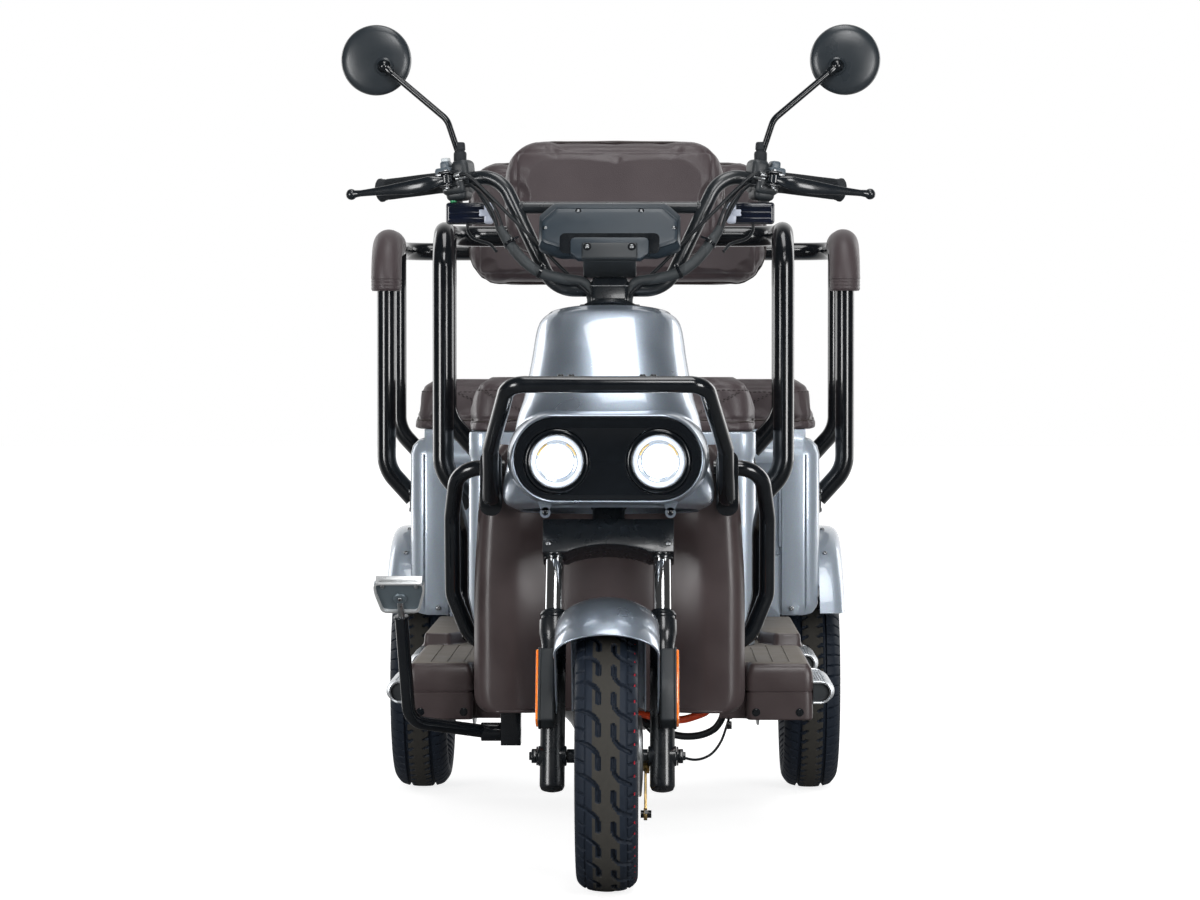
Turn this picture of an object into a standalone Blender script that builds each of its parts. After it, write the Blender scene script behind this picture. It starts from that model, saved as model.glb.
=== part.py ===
# Electric tricycle with a raked telescopic fork, two armrest frames and a differential rear axle.
#
# Metres, +Z up, nose towards -Y, the rider's left side towards +X.
# Every length along Y is measured back from the front axle, and heights from the ground.
# The vehicle_datum empty then sets the whole machine with its middle over the world's origin.

import math

import bmesh
import bpy
from mathutils import Matrix, Vector

# Clearances
GAP = 0.0003
RUNNING_GAP = 0.0008
SLOT_GAP = 0.0015
# How far a fused detail reaches into what carries it
BITE = 0.003

# Overall layout
WHEELBASE = 1.28
REAR_END = WHEELBASE + 0.340
SEAT_BOX_FRONT = WHEELBASE - 0.650
SEAT_BOX_BACK = WHEELBASE - 0.330
BODY_FRONT = WHEELBASE - 0.230
RAKE = math.radians(25.0)

# Wheels
WHEEL_STEPS = 24
FRONT_TYRE_RADIUS = 0.193
FRONT_TYRE_WIDTH = 0.088
REAR_TYRE_RADIUS = 0.195
REAR_TYRE_WIDTH = 0.097
REAR_WHEEL_X = 0.345
RIM_RADIUS = 0.127
RIM_WALL = 0.004
FLANGE_HEIGHT = 0.010
FRONT_BEAD_WIDTH = 0.056
REAR_BEAD_WIDTH = 0.066
RIM_DISC = 0.008
HUB_RADIUS = 0.030
DRUM_RADIUS = 0.062
FRONT_HUB_HALF = 0.045
REAR_HUB_HALF = 0.048

# Front axle and drum brake plate
AXLE_RADIUS = 0.006
AXLE_HALF = 0.112
AXLE_NUT_RADIUS = 0.011
AXLE_NUT_WIDTH = 0.009
AXLE_SPACER_RADIUS = 0.010
BRAKE_PLATE_RADIUS = 0.058
BRAKE_PLATE_WIDTH = 0.005
BRAKE_ARM_LENGTH = 0.085
BRAKE_ARM_WIDTH = 0.014
BRAKE_ARM_THICKNESS = 0.004
BRAKE_CAM_SET_BACK = 0.024
BRAKE_CAM_HEIGHT = -0.008
BRAKE_CAM_RADIUS = 0.0065

# Telescopic fork, lengths along the steering axis from the front axle
FORK_SPREAD = 0.0787
STANCHION_RADIUS = 0.01335
STANCHION_BOTTOM = 0.145
STANCHION_TOP = 0.362
LEG_RADIUS = 0.01785
LEG_BOTTOM = -0.051
LEG_TOP = 0.220
COLLAR_RADIUS = 0.0215
COLLAR_BOTTOM = 0.179
LEG_BORE_BOTTOM = 0.070
FENDER_BOSS_RADIUS = 0.008
FENDER_BOSS_HEIGHT = 0.200
REFLECTOR_LOW = 0.036
REFLECTOR_HIGH = 0.146
REFLECTOR_WIDTH = 0.0155
REFLECTOR_DEPTH = 0.034
CROWN_BOTTOM = 0.305
CROWN_TOP = 0.357
CROWN_WIDTH = 0.192
CROWN_DEPTH = 0.052
CROWN_ARCH = 0.012
STEM_RADIUS = 0.0145
HEAD_TUBE_BOTTOM = 0.385
HEAD_TUBE_TOP = 0.6915
HEAD_TUBE_RADIUS = 0.0265
HEAD_TUBE_BORE = 0.019
BEARING_RADIUS = 0.024
NECK_FLANGE_RADIUS = 0.050
NECK_FLANGE_LOW = 0.698
NECK_FLANGE_HIGH = 0.706
BAR_HEIGHT = 0.736

# Front fender, angles in degrees back from its highest point
FENDER_RADIUS = 0.228
FENDER_HALF_WIDTH = 0.0743
FENDER_REAR_HALF_WIDTH = 0.0550
FENDER_WALL = 0.0025
FENDER_DOME = 0.047
FENDER_SIDE = 0.042
FENDER_FRONT_ANGLE = -36.0
FENDER_REAR_ANGLE = 76.0
FENDER_SKIRT = 0.165
FENDER_SKIRT_ANGLE = -5.0

# Handlebar: half widths, set back and heights of its corners
BAR_RADIUS = 0.011
BAR_KNEE_LOW = (0.085, 0.3113, 0.868)
BAR_KNEE_HIGH = (0.168, 0.345, 1.043)
BAR_END = (0.357, 0.420, 1.024)
BAR_BEND = 0.050
BRACE_RADIUS = 0.009
BRACE_HEIGHT = 0.993
CLAMP_WIDTH = 0.056
CLAMP_DEPTH = 0.042
CLAMP_HEIGHT = 0.042
GRIP_LENGTH = 0.112
GRIP_RADIUS = 0.0165
GRIP_FLANGE = 0.0215
SWITCH_LENGTH = 0.044
SWITCH_RADIUS = 0.022
BAR_BORE = 0.0117
LEVER_PIVOT_OUT = 0.040
LEVER_PIVOT_FORWARD = 0.040
LEVER_LENGTH = 0.160
LEVER_RADIUS = 0.0065
LEVER_BALL = 0.0085
BUTTON_RADIUS = 0.006
BUTTON_LENGTH = 0.008
BUTTON_TRAVEL = 0.002

# Mirrors
MIRROR_RADIUS = 0.054
MIRROR_DEPTH = 0.020
MIRROR_CENTRE = (0.360, 0.388, 1.222)
MIRROR_BALL = (0.347, 0.366, 1.211)
MIRROR_BALL_RADIUS = 0.0085
MIRROR_SET_BACK = 0.0045
MIRROR_ELBOW = (0.249, 0.352, 1.128)
MIRROR_STEM_RADIUS = 0.005
MIRROR_BOOT_RADIUS = 0.010
MIRROR_BOOT_HEIGHT = 0.032

# Turn signals
SIGNAL_LENGTH = 0.073
SIGNAL_HEIGHT = 0.033
SIGNAL_DEPTH = 0.034
SIGNAL_CENTRE = (0.214, 0.346, 0.985)

# Instrument housing, in the fork's own frame
DASH_WIDTH = 0.2135
DASH_HEIGHT = 0.088
DASH_DEPTH = 0.030
DASH_CORNER = 0.027
DASH_CENTRE_HEIGHT = 0.816
DASH_SET_FORWARD = 0.060
DASH_BRACKET_WIDTH = 0.084
DASH_BRACKET_FLANGE = 0.118

# Looms and brake cables
LOOM_RADIUS = 0.0085
CABLE_RADIUS = 0.0028

# Front cowl
COWL_WALL = 0.003
COWL_POINTS = 20
COWL_SQUARENESS = 2.7
COWL_REAR = 0.245
PANEL_WIDTH = 0.268
PANEL_HEIGHT = 0.118
PANEL_CENTRE_Z = 0.618
PANEL_FRONT = 0.030
PANEL_BACK = 0.056
LAMP_SPREAD = 0.0735
LAMP_Z = 0.614
LAMP_RADIUS = 0.0472
LAMP_DEPTH = 0.055

# Leg shield and the rider's inner panel
SHIELD_BOTTOM = 0.233
SHIELD_TOP = 0.634
SHIELD_HALF_WIDTH = 0.203
SHIELD_CREST_Y = 0.226
SHIELD_WALL = 0.004
SHIELD_SLOT_HALF = 0.027
SHIELD_SLOT_LOW = 0.440
INNER_PANEL_HALF = 0.165
INNER_PANEL_FRONT = 0.262
INNER_PANEL_EDGES = ((0.200, 0.2334), (0.140, 0.2600), (0.075, 0.2735))
INNER_PANEL_BACK = 0.375
INNER_PANEL_LOW = 0.360
INNER_PANEL_HIGH = 0.606
PANEL_WALL = 0.003
KEY_X = 0.070
KEY_Z = 0.560
KEY_BARREL_RADIUS = 0.013

# Front guard
GUARD_RADIUS = 0.012
GUARD_BAR_Y = -0.070
GUARD_BAR_Z = 0.725
GUARD_BAR_HALF = 0.1395
GUARD_KNEE = (0.170, 0.070, 0.632)
GUARD_HEEL = (0.1745, 0.168, 0.556)
GUARD_BEND = 0.028
PLATE_HALF_WIDTH = 0.0165
PLATE_HEIGHT = 0.098
PLATE_THICKNESS = 0.005
PLATE_X = 0.1755
PLATE_Z = 0.578
BASKET_TAB_X = 0.058

# Crash bars
CRASH_RADIUS = 0.012
CRASH_HALF = 0.238
CRASH_TOP_Z = 0.600
CRASH_FOOT_Z = 0.332
CRASH_FOOT_Y = 0.300
CRASH_BEND = 0.040

# Frame
RAIL_X = 0.149
RAIL_WIDTH = 0.030
RAIL_TOP = 0.2977
RAIL_DEPTH = 0.040
RAIL_FRONT = 0.262
UPPER_RAIL_TOP = 0.4097
KICK_START = BODY_FRONT
KICK_END = BODY_FRONT + 0.060
RAIL_REAR = WHEELBASE + 0.280
DOWN_TUBE_RADIUS = 0.022
CROSS_DEPTH = 0.030
PEDAL_BRACKET_BOTTOM = 0.180
PEDAL_PIVOT_Y = 0.281
PEDAL_PIVOT_Z = 0.199
PEDAL_PIN_RADIUS = 0.007

# Floor board and side steps
FLOOR_TOP = 0.302
FLOOR_BOTTOM = 0.215
FLOOR_WALL = 0.004
FLOOR_HALF = 0.309
FLOOR_FRONT = 0.300
FLOOR_BACK = BODY_FRONT - 0.005
FLOOR_RAISE = 0.020
RAISE_CLEARANCE = 0.008
STEP_WIDTH = 0.034
STEP_LOW = 0.240
STEP_HIGH = 0.272
FRONT_STEP = (0.315, SEAT_BOX_FRONT - 0.080)
REAR_STEP = (BODY_FRONT - 0.220, BODY_FRONT - 0.010)

# Driver's seat
SEAT_BOX_HALF = 0.232
SEAT_BOX_TOP = 0.647
SEAT_BOX_WALL = 0.004
SEAT_FRONT = SEAT_BOX_FRONT - 0.002
SEAT_BACK = SEAT_BOX_BACK + 0.002
SEAT_TOP = 0.735
DRIVER_BACKREST_HALF = 0.1885
DRIVER_BACKREST_LOW = 0.939
DRIVER_BACKREST_HIGH = 1.140
DRIVER_BACKREST_FRONT = SEAT_BOX_BACK + 0.005

# Rear body and seat
BODY_HALF = 0.355
BODY_LOW = 0.3125
BODY_TOP = 0.631
BODY_CORNER = 0.030
TRUNK_HALF = 0.275
TRUNK_FLOOR = 0.420
NECK_HALF = 0.330
NECK_TOP = 0.6442
REAR_SEAT_HALF = 0.350
REAR_SEAT_FRONT = BODY_FRONT + 0.008
REAR_SEAT_BACK = WHEELBASE + 0.220
REAR_SEAT_TOP = 0.731
REAR_BACKREST_HALF = 0.280
REAR_BACKREST_LOW = 0.903
REAR_BACKREST_HIGH = 1.139
REAR_BACKREST_FRONT = REAR_SEAT_BACK + 0.006
BACKREST_DEPTH = 0.060
REAR_FENDER_X = 0.400
REAR_FENDER_RADIUS = 0.254
REAR_FENDER_WALL = 0.003
WHEEL_WELL_RADIUS = 0.247
WHEEL_WELL_X = 0.286
WHEEL_CENTRE_RISE = 0.020
SHELL_WALL = 0.012
PANEL_EDGE = 0.289
PANEL_SEAM_Z = 0.425

# Armrest frames
DRIVER_RAIL_RADIUS = 0.0175
DRIVER_RAIL_X = SEAT_BOX_HALF + 0.050
DRIVER_RAIL_TOP = 0.977
DRIVER_RAIL_FRONT = SEAT_BOX_BACK - 0.150
DRIVER_RAIL_FOOT = 0.525
DRIVER_REAR_LEG_Y = SEAT_BOX_BACK - 0.038
DRIVER_REAR_LEG_FOOT = 0.612
REAR_RAIL_RADIUS = 0.0165
REAR_RAIL_X = BODY_HALF + 0.0475
REAR_RAIL_TOP = 0.970
REAR_RAIL_FRONT = BODY_FRONT + 0.100
REAR_RAIL_FOOT = 0.522
REAR_REAR_LEG_Y = WHEELBASE + 0.160
REAR_REAR_LEG_FOOT = 0.587
RAIL_BEND = 0.062
MOUNT_RADIUS = 0.026
MOUNT_THICKNESS = 0.005
PAD_RADIUS = 0.027
PAD_BOTTOM = 0.886
PAD_REACH = 0.130

# Rear axle and its suspension
AXLE_TUBE_RADIUS = 0.024
AXLE_TUBE_HALF = 0.262
MOTOR_RADIUS = 0.094
MOTOR_HALF = 0.078
HALF_SHAFT_RADIUS = 0.0125
HALF_SHAFT_BORE = 0.01326
BACKING_PLATE_RADIUS = 0.085
DAMPER_X = 0.215
DAMPER_SET_BACK = 0.058
DAMPER_RADIUS = 0.014
DAMPER_BORE = 0.0085
DAMPER_TOP = 0.300
DAMPER_ROD_RADIUS = 0.0055
DAMPER_ROD_BOTTOM = 0.270
SPRING_SEAT = 0.230
SPRING_TOP = 0.385
SPRING_RADIUS = 0.0225
SPRING_WIRE = 0.0035
SPRING_TURNS = 5
SPRING_POINTS = 8

# Brake pedal
PEDAL_X = 0.308
PEDAL_WIDTH = 0.075
PEDAL_DEPTH = 0.062
PEDAL_THICKNESS = 0.009
PEDAL_TILT = math.radians(48.0)
PEDAL_Y = 0.150
PEDAL_Z = 0.412
PEDAL_ARM_RADIUS = 0.010

# Battery and motor controller
BATTERY_SIZE = (0.340, 0.210, 0.250)
CONTROLLER_SIZE = (0.180, 0.120, 0.052)
CONTROLLER_FINS = 6

FRONT_AXLE_Z = FRONT_TYRE_RADIUS
REAR_AXLE_Z = REAR_TYRE_RADIUS
FRONT_AXLE_WORLD_Y = (FRONT_TYRE_RADIUS - REAR_END) / 2

# Colours as sRGB hex values
SILVER = "8C97A3"
GLOSS_BLACK = "0E1114"
BLACK_PLASTIC = "1C2023"
BROWN_PLASTIC = "3B3231"
BROWN_LEATHER = "342B2B"
STEEL = "8A8C8E"
RUBBER = "1B1E22"
ALUMINIUM = "A9ACAE"


def srgb_to_linear(value):
    """Turn one sRGB channel from 0 to 1 into linear light."""
    if value <= 0.04045:
        return value / 12.92
    return ((value + 0.055) / 1.055) ** 2.4


def make_material(name, colour, roughness, metallic=0.0):
    """Make a Principled material of one colour, roughness and metallic value."""
    material = bpy.data.materials.new(name)
    material.use_nodes = True
    shader = material.node_tree.nodes["Principled BSDF"]
    channels = [srgb_to_linear(int(colour[i:i + 2], 16) / 255) for i in (0, 2, 4)]
    shader.inputs["Base Color"].default_value = (*channels, 1.0)
    shader.inputs["Roughness"].default_value = roughness
    shader.inputs["Metallic"].default_value = metallic
    material.diffuse_color = (*channels, 1.0)
    return material


def clear_scene():
    """Remove every object that the scene starts with."""
    for old in list(bpy.data.objects):
        bpy.data.objects.remove(old, do_unlink=True)


clear_scene()
PARTS = bpy.data.collections.new("electric_tricycle")
GUIDES = bpy.data.collections.new("guides")
bpy.context.scene.collection.children.link(PARTS)
bpy.context.scene.collection.children.link(GUIDES)


# Mesh helpers

def link_mesh(name, mesh):
    """Add a mesh to the guides collection as a working object."""
    working = bpy.data.objects.new(name, mesh)
    GUIDES.objects.link(working)
    return working


def evaluated_mesh(source):
    """Copy an object's finished shape into a plain mesh."""
    bpy.context.view_layer.update()
    graph = bpy.context.evaluated_depsgraph_get()
    return bpy.data.meshes.new_from_object(source.evaluated_get(graph))


def discard(*objects):
    """Remove working objects."""
    for old in objects:
        bpy.data.objects.remove(old, do_unlink=True)


def apply_modifiers(piece):
    """Make a working object's finished shape its own mesh."""
    mesh = evaluated_mesh(piece)
    piece.modifiers.clear()
    piece.data = mesh
    return piece


def close_mesh(mesh, merge=1e-6):
    """Weld a mesh's doubles and turn its faces outwards."""
    shape = bmesh.new()
    shape.from_mesh(mesh)
    bmesh.ops.remove_doubles(shape, verts=shape.verts, dist=merge)
    bmesh.ops.dissolve_degenerate(shape, edges=shape.edges, dist=merge)
    bmesh.ops.recalc_face_normals(shape, faces=shape.faces)
    shape.to_mesh(mesh)
    shape.free()


def transformed(piece, matrix):
    """Move a working object's mesh by a matrix."""
    piece.data.transform(matrix)
    close_mesh(piece.data)
    return piece


def shifted(piece, x, y, z):
    """Move a working object's mesh by an offset."""
    return transformed(piece, Matrix.Translation((x, y, z)))


def boolean(piece, others, operation):
    """Join, cut or intersect a working object with others, which are used up."""
    for other in others:
        step = piece.modifiers.new(operation.lower(), "BOOLEAN")
        step.operation = operation
        step.solver = "EXACT"
        step.object = other
        apply_modifiers(piece)
    discard(*others)
    close_mesh(piece.data)
    return piece


def fused(piece, *others):
    """Weld working objects into one solid."""
    return boolean(piece, others, "UNION")


def cut(piece, *others):
    """Cut working objects out of a solid."""
    return boolean(piece, others, "DIFFERENCE")


def block(low, high, bevel=0.0, segments=2):
    """A box between two corners, with rounded edges."""
    low = Vector(low)
    high = Vector(high)
    shape = bmesh.new()
    bmesh.ops.create_cube(shape, size=1.0)
    bmesh.ops.scale(shape, vec=high - low, verts=shape.verts)
    bmesh.ops.translate(shape, vec=(low + high) / 2, verts=shape.verts)
    mesh = bpy.data.meshes.new("block")
    shape.to_mesh(mesh)
    shape.free()
    piece = link_mesh("block", mesh)
    if bevel > 0:
        rounding = piece.modifiers.new("edges", "BEVEL")
        rounding.width = bevel
        rounding.segments = segments
        rounding.limit_method = "ANGLE"
        apply_modifiers(piece)
    close_mesh(piece.data)
    return piece


def centred_block(centre, size, bevel=0.0, segments=2):
    """A box given by its middle and its size."""
    half = Vector(size) / 2
    return block(Vector(centre) - half, Vector(centre) + half, bevel, segments)


def rod(start, end, radius, sides=12, end_radius=None):
    """A round bar or a cone between two points."""
    start = Vector(start)
    end = Vector(end)
    along = end - start
    shape = bmesh.new()
    bmesh.ops.create_cone(
        shape, cap_ends=True, segments=sides, radius1=radius,
        radius2=radius if end_radius is None else end_radius, depth=along.length)
    mesh = bpy.data.meshes.new("rod")
    shape.to_mesh(mesh)
    shape.free()
    turn = Vector((0, 0, 1)).rotation_difference(along.normalized()).to_matrix().to_4x4()
    mesh.transform(Matrix.Translation((start + end) / 2) @ turn)
    piece = link_mesh("rod", mesh)
    close_mesh(mesh)
    return piece


def ball(centre, radius, rings=8):
    """A round ball."""
    shape = bmesh.new()
    bmesh.ops.create_uvsphere(shape, u_segments=rings + 4, v_segments=rings, radius=radius)
    mesh = bpy.data.meshes.new("ball")
    shape.to_mesh(mesh)
    shape.free()
    mesh.transform(Matrix.Translation(centre))
    piece = link_mesh("ball", mesh)
    close_mesh(mesh)
    return piece


def turned(profile, steps, closed=False):
    """Turn a profile of (radius, height) points about Z, as a lathe does."""
    count = len(profile)
    edges = [(i, i + 1) for i in range(count - 1)]
    if closed:
        edges.append((count - 1, 0))
    mesh = bpy.data.meshes.new("profile")
    mesh.from_pydata([(radius, 0, height) for radius, height in profile], edges, [])
    piece = link_mesh("turned", mesh)
    lathe = piece.modifiers.new("turn", "SCREW")
    lathe.axis = "Z"
    lathe.steps = steps
    lathe.render_steps = steps
    lathe.use_merge_vertices = True
    lathe.merge_threshold = 0.00001
    apply_modifiers(piece)
    close_mesh(piece.data)
    return piece


def across(piece):
    """Lay a turned piece's axis along X, with a flat of its facets underneath."""
    half_step = Matrix.Rotation(math.pi / WHEEL_STEPS, 4, "Z")
    lay = Matrix.Rotation(math.radians(90), 4, "Y")
    return transformed(piece, lay @ half_step)


def bent_route(corners, bend_radius, arc_steps=4):
    """Straight runs joined by arcs, as a tube bender makes them."""
    corners = [Vector(corner) for corner in corners]
    route = [corners[0]]
    last = len(corners) - 2
    for i, (before, corner, after) in enumerate(zip(corners, corners[1:], corners[2:])):
        incoming = (corner - before).normalized()
        outgoing = (after - corner).normalized()
        angle = incoming.angle(outgoing)
        if angle < 0.02:
            route.append(corner)
            continue
        reach = bend_radius * math.tan(angle / 2)
        free_before = (corner - before).length * (0.98 if i == 0 else 0.49)
        free_after = (after - corner).length * (0.98 if i == last - 1 else 0.49)
        reach = min(reach, free_before, free_after)
        radius = reach / math.tan(angle / 2)
        inward = (outgoing - incoming * math.cos(angle)).normalized()
        start = corner - incoming * reach
        for step in range(arc_steps + 1):
            turn = angle * step / arc_steps
            route.append(start + incoming * radius * math.sin(turn) + inward * radius * (1 - math.cos(turn)))
    route.append(corners[-1])
    return route


def smooth_route(points, per_span=4):
    """A smooth curve through hand-chosen points, as a held cable takes."""
    points = [Vector(point) for point in points]
    padded = [2 * points[0] - points[1]] + points + [2 * points[-1] - points[-2]]
    route = []
    for a, b, c, d in zip(padded, padded[1:], padded[2:], padded[3:]):
        for i in range(per_span):
            t = i / per_span
            route.append(0.5 * (2 * b + (c - a) * t + (2 * a - 5 * b + 4 * c - d) * t * t
                                + (3 * b - a - 3 * c + d) * t ** 3))
    route.append(points[-1])
    return route


def tube(route, radius, sides=10, radii=None):
    """A round tube along a route, closed at both ends."""
    curve = bpy.data.curves.new("route", "CURVE")
    curve.dimensions = "3D"
    curve.bevel_depth = radius
    curve.bevel_resolution = (sides - 4) // 2
    curve.use_fill_caps = True
    spline = curve.splines.new("POLY")
    spline.points.add(len(route) - 1)
    for i, point in enumerate(route):
        spline.points[i].co = (*point, 1.0)
        spline.points[i].radius = 1.0 if radii is None else radii[i]
    holder = bpy.data.objects.new("route", curve)
    GUIDES.objects.link(holder)
    mesh = evaluated_mesh(holder)
    discard(holder)
    close_mesh(mesh, 1e-5)
    return link_mesh("tube", mesh)


def plate(outline, thickness, holes=()):
    """A flat plate from its outline and holes, lying level and centred on its own plane."""
    curve = bpy.data.curves.new("outline", "CURVE")
    curve.dimensions = "2D"
    curve.fill_mode = "BOTH"
    curve.extrude = thickness / 2
    for loop in (outline, *holes):
        spline = curve.splines.new("POLY")
        spline.points.add(len(loop) - 1)
        for i, (x, y) in enumerate(loop):
            spline.points[i].co = (x, y, 0, 1)
        spline.use_cyclic_u = True
    holder = bpy.data.objects.new("outline", curve)
    GUIDES.objects.link(holder)
    mesh = evaluated_mesh(holder)
    discard(holder)
    close_mesh(mesh, 1e-5)
    return link_mesh("plate", mesh)


def upright(piece, y_front):
    """Stand a plate up across the machine: its X and Y become X and Z, its front at y_front."""
    stand = Matrix.Rotation(math.radians(90), 4, "X")
    piece.data.transform(stand)
    front = min(vertex.co.y for vertex in piece.data.vertices)
    return shifted(piece, 0, y_front - front, 0)


def fore_and_aft(piece, x_middle):
    """Stand a plate up along the machine: its X and Y become Y and Z."""
    turn = Matrix(((0, 0, 1, x_middle), (1, 0, 0, 0), (0, 1, 0, 0), (0, 0, 0, 1)))
    return transformed(piece, turn)


def circle(radius, steps, centre=(0, 0)):
    """Points around a circle."""
    turn = 2 * math.pi / steps
    return [(centre[0] + radius * math.cos(turn * i), centre[1] + radius * math.sin(turn * i))
            for i in range(steps)]


def rounded_rectangle(width, height, radius, steps=4, centre=(0, 0)):
    """Points around a rectangle with rounded corners."""
    points = []
    for quarter, (sx, sy) in enumerate(((1, 1), (-1, 1), (-1, -1), (1, -1))):
        cx = centre[0] + sx * (width / 2 - radius)
        cy = centre[1] + sy * (height / 2 - radius)
        for i in range(steps + 1):
            turn = math.radians(90) * (quarter + i / steps)
            points.append((cx + radius * math.cos(turn), cy + radius * math.sin(turn)))
    return points


def loft(rings, caps=True):
    """A solid skinned over closed rings of points, or an open sleeve without its caps."""
    shape = bmesh.new()
    rows = [[shape.verts.new(point) for point in ring] for ring in rings]
    count = len(rings[0])
    for lower, upper in zip(rows, rows[1:]):
        for i in range(count):
            j = (i + 1) % count
            shape.faces.new((lower[i], lower[j], upper[j], upper[i]))
    if caps:
        shape.faces.new(rows[0][::-1])
        shape.faces.new(rows[-1])
    mesh = bpy.data.meshes.new("loft")
    shape.to_mesh(mesh)
    shape.free()
    piece = link_mesh("loft", mesh)
    close_mesh(mesh)
    return piece


def skin(rows):
    """An open sheet over rows of points."""
    shape = bmesh.new()
    grid = [[shape.verts.new(point) for point in row] for row in rows]
    for lower, upper in zip(grid, grid[1:]):
        for i in range(len(lower) - 1):
            shape.faces.new((lower[i], lower[i + 1], upper[i + 1], upper[i]))
    mesh = bpy.data.meshes.new("skin")
    shape.to_mesh(mesh)
    shape.free()
    return link_mesh("skin", mesh)


def walled(piece, thickness, offset):
    """Give an open sheet a wall; offset -1 puts it behind the faces, 1 in front."""
    wall = piece.modifiers.new("wall", "SOLIDIFY")
    wall.thickness = thickness
    wall.offset = offset
    wall.use_even_offset = True
    apply_modifiers(piece)
    close_mesh(piece.data)
    return piece


def flipped(piece):
    """Carry a working object across to the machine's other side."""
    return transformed(piece, Matrix.Scale(-1, 4, (1, 0, 0)))


def side_copy(piece):
    """A mirror image of a working object across the machine's middle."""
    return flipped(link_mesh("mirrored", piece.data.copy()))


def finished(name, piece, material, pivot):
    """Name a solid, give it its material and hang it on its pivot."""
    piece.name = name
    piece.data.name = name
    piece.data.materials.clear()
    piece.data.materials.append(material)
    piece.data.shade_smooth()
    piece.data.set_sharp_from_angle(angle=math.radians(32))
    GUIDES.objects.unlink(piece)
    PARTS.objects.link(piece)
    piece.parent = pivot
    piece.matrix_parent_inverse = pivot_rest(pivot).inverted()
    return piece


def pivot_rest(pivot):
    """Where a pivot empty stands in the datum's frame."""
    return Matrix(pivot["rest"]) if "rest" in pivot else Matrix.Identity(4)


def make_pivot(name, parent, location, turn=0.0):
    """An empty on a joint's axis, standing in the datum's frame."""
    pivot = bpy.data.objects.new(name, None)
    pivot.empty_display_size = 0.05
    GUIDES.objects.link(pivot)
    rest = Matrix.Translation(location) @ Matrix.Rotation(turn, 4, "X")
    pivot["rest"] = [list(row) for row in rest]
    pivot.parent = parent
    pivot.matrix_parent_inverse = pivot_rest(parent).inverted()
    pivot.matrix_basis = rest
    return pivot


def fork_frame():
    """The fork's own frame: its Z runs up the steering axis from the front axle."""
    return Matrix.Translation((0, 0, FRONT_AXLE_Z)) @ Matrix.Rotation(-RAKE, 4, "X")


def bar_frame():
    """The left bar end's frame: X outwards along the bar, Y rearwards, Z up."""
    along = (Vector(BAR_END) - Vector(BAR_KNEE_HIGH)).normalized()
    rear = Vector((0, 0, 1)).cross(along).normalized()
    top = along.cross(rear)
    frame = Matrix((along, rear, top)).transposed().to_4x4()
    return Matrix.Translation(BAR_END) @ frame


DATUM = bpy.data.objects.new("vehicle_datum", None)
DATUM.location = (0, FRONT_AXLE_WORLD_Y, 0)
GUIDES.objects.link(DATUM)
STEERING = make_pivot("steering_axis", DATUM, (0, 0, FRONT_AXLE_Z), -RAKE)
FORK_SLIDE = make_pivot("fork_slide", STEERING, (0, 0, FRONT_AXLE_Z), -RAKE)
FRONT_SPIN = make_pivot("front_wheel_axis", FORK_SLIDE, (0, 0, FRONT_AXLE_Z))
REAR_SLIDE = make_pivot("rear_axle_slide", DATUM, (0, WHEELBASE, REAR_AXLE_Z))
REAR_SPIN_LEFT = make_pivot("rear_left_wheel_axis", REAR_SLIDE, (REAR_WHEEL_X, WHEELBASE, REAR_AXLE_Z))
REAR_SPIN_RIGHT = make_pivot("rear_right_wheel_axis", REAR_SLIDE, (-REAR_WHEEL_X, WHEELBASE, REAR_AXLE_Z))
PEDAL_PIVOT = make_pivot("pedal_axis", DATUM, (-RAIL_X, PEDAL_PIVOT_Y, PEDAL_PIVOT_Z))
DRIVER_SEAT_HINGE = make_pivot("driver_seat_hinge", DATUM, (0, SEAT_FRONT, SEAT_BOX_TOP))
REAR_SEAT_HINGE = make_pivot("rear_seat_hinge", DATUM, (0, REAR_SEAT_FRONT, NECK_TOP))
KEY_AXIS = make_pivot("key_axis", DATUM, (KEY_X, INNER_PANEL_BACK, KEY_Z))
THROTTLE_AXIS = make_pivot("throttle_axis", STEERING, (-BAR_END[0], BAR_END[1], BAR_END[2]))
MIRROR_AXIS_LEFT = make_pivot("mirror_left_axis", STEERING, MIRROR_BALL)
MIRROR_AXIS_RIGHT = make_pivot("mirror_right_axis", STEERING, (-MIRROR_BALL[0], *MIRROR_BALL[1:]))

PAINT_SILVER = make_material("silver_paint", SILVER, 0.25, 0.6)
PAINT_BLACK = make_material("gloss_black_paint", GLOSS_BLACK, 0.2)
PLASTIC_BLACK = make_material("black_plastic", BLACK_PLASTIC, 0.5)
PLASTIC_BROWN = make_material("brown_plastic", BROWN_PLASTIC, 0.5)
LEATHER_BROWN = make_material("brown_leather", BROWN_LEATHER, 0.6)
METAL_STEEL = make_material("steel", STEEL, 0.4, 1.0)
TYRE_RUBBER = make_material("tyre_rubber", RUBBER, 0.85)
METAL_ALUMINIUM = make_material("aluminium", ALUMINIUM, 0.35, 1.0)
LAMP_GLASS = make_material("lamp_glass", "E8EEF4", 0.05)


# Wheels

def mirrored_profile(half):
    """Close a half profile of (radius, height) points by its mirror image."""
    return half + [(radius, -height) for radius, height in reversed(half) if height > 1e-6]


def tyre_solid(radius, width, bead_width, crown):
    """A tyre turned from its crown, shoulders, walls and beads."""
    section = radius - RIM_RADIUS
    facet = 1 / math.cos(math.pi / WHEEL_STEPS)
    half = [(RIM_RADIUS + section * rise, width / 2 * reach) for rise, reach in reversed(crown)]
    half = [(point_radius * facet, height) for point_radius, height in half]
    half.append((RIM_RADIUS + 0.15 * section, bead_width / 2 - GAP))
    half.append((RIM_RADIUS + GAP, bead_width / 2 - GAP))
    return across(turned(mirrored_profile(half), WHEEL_STEPS, closed=True))


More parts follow.
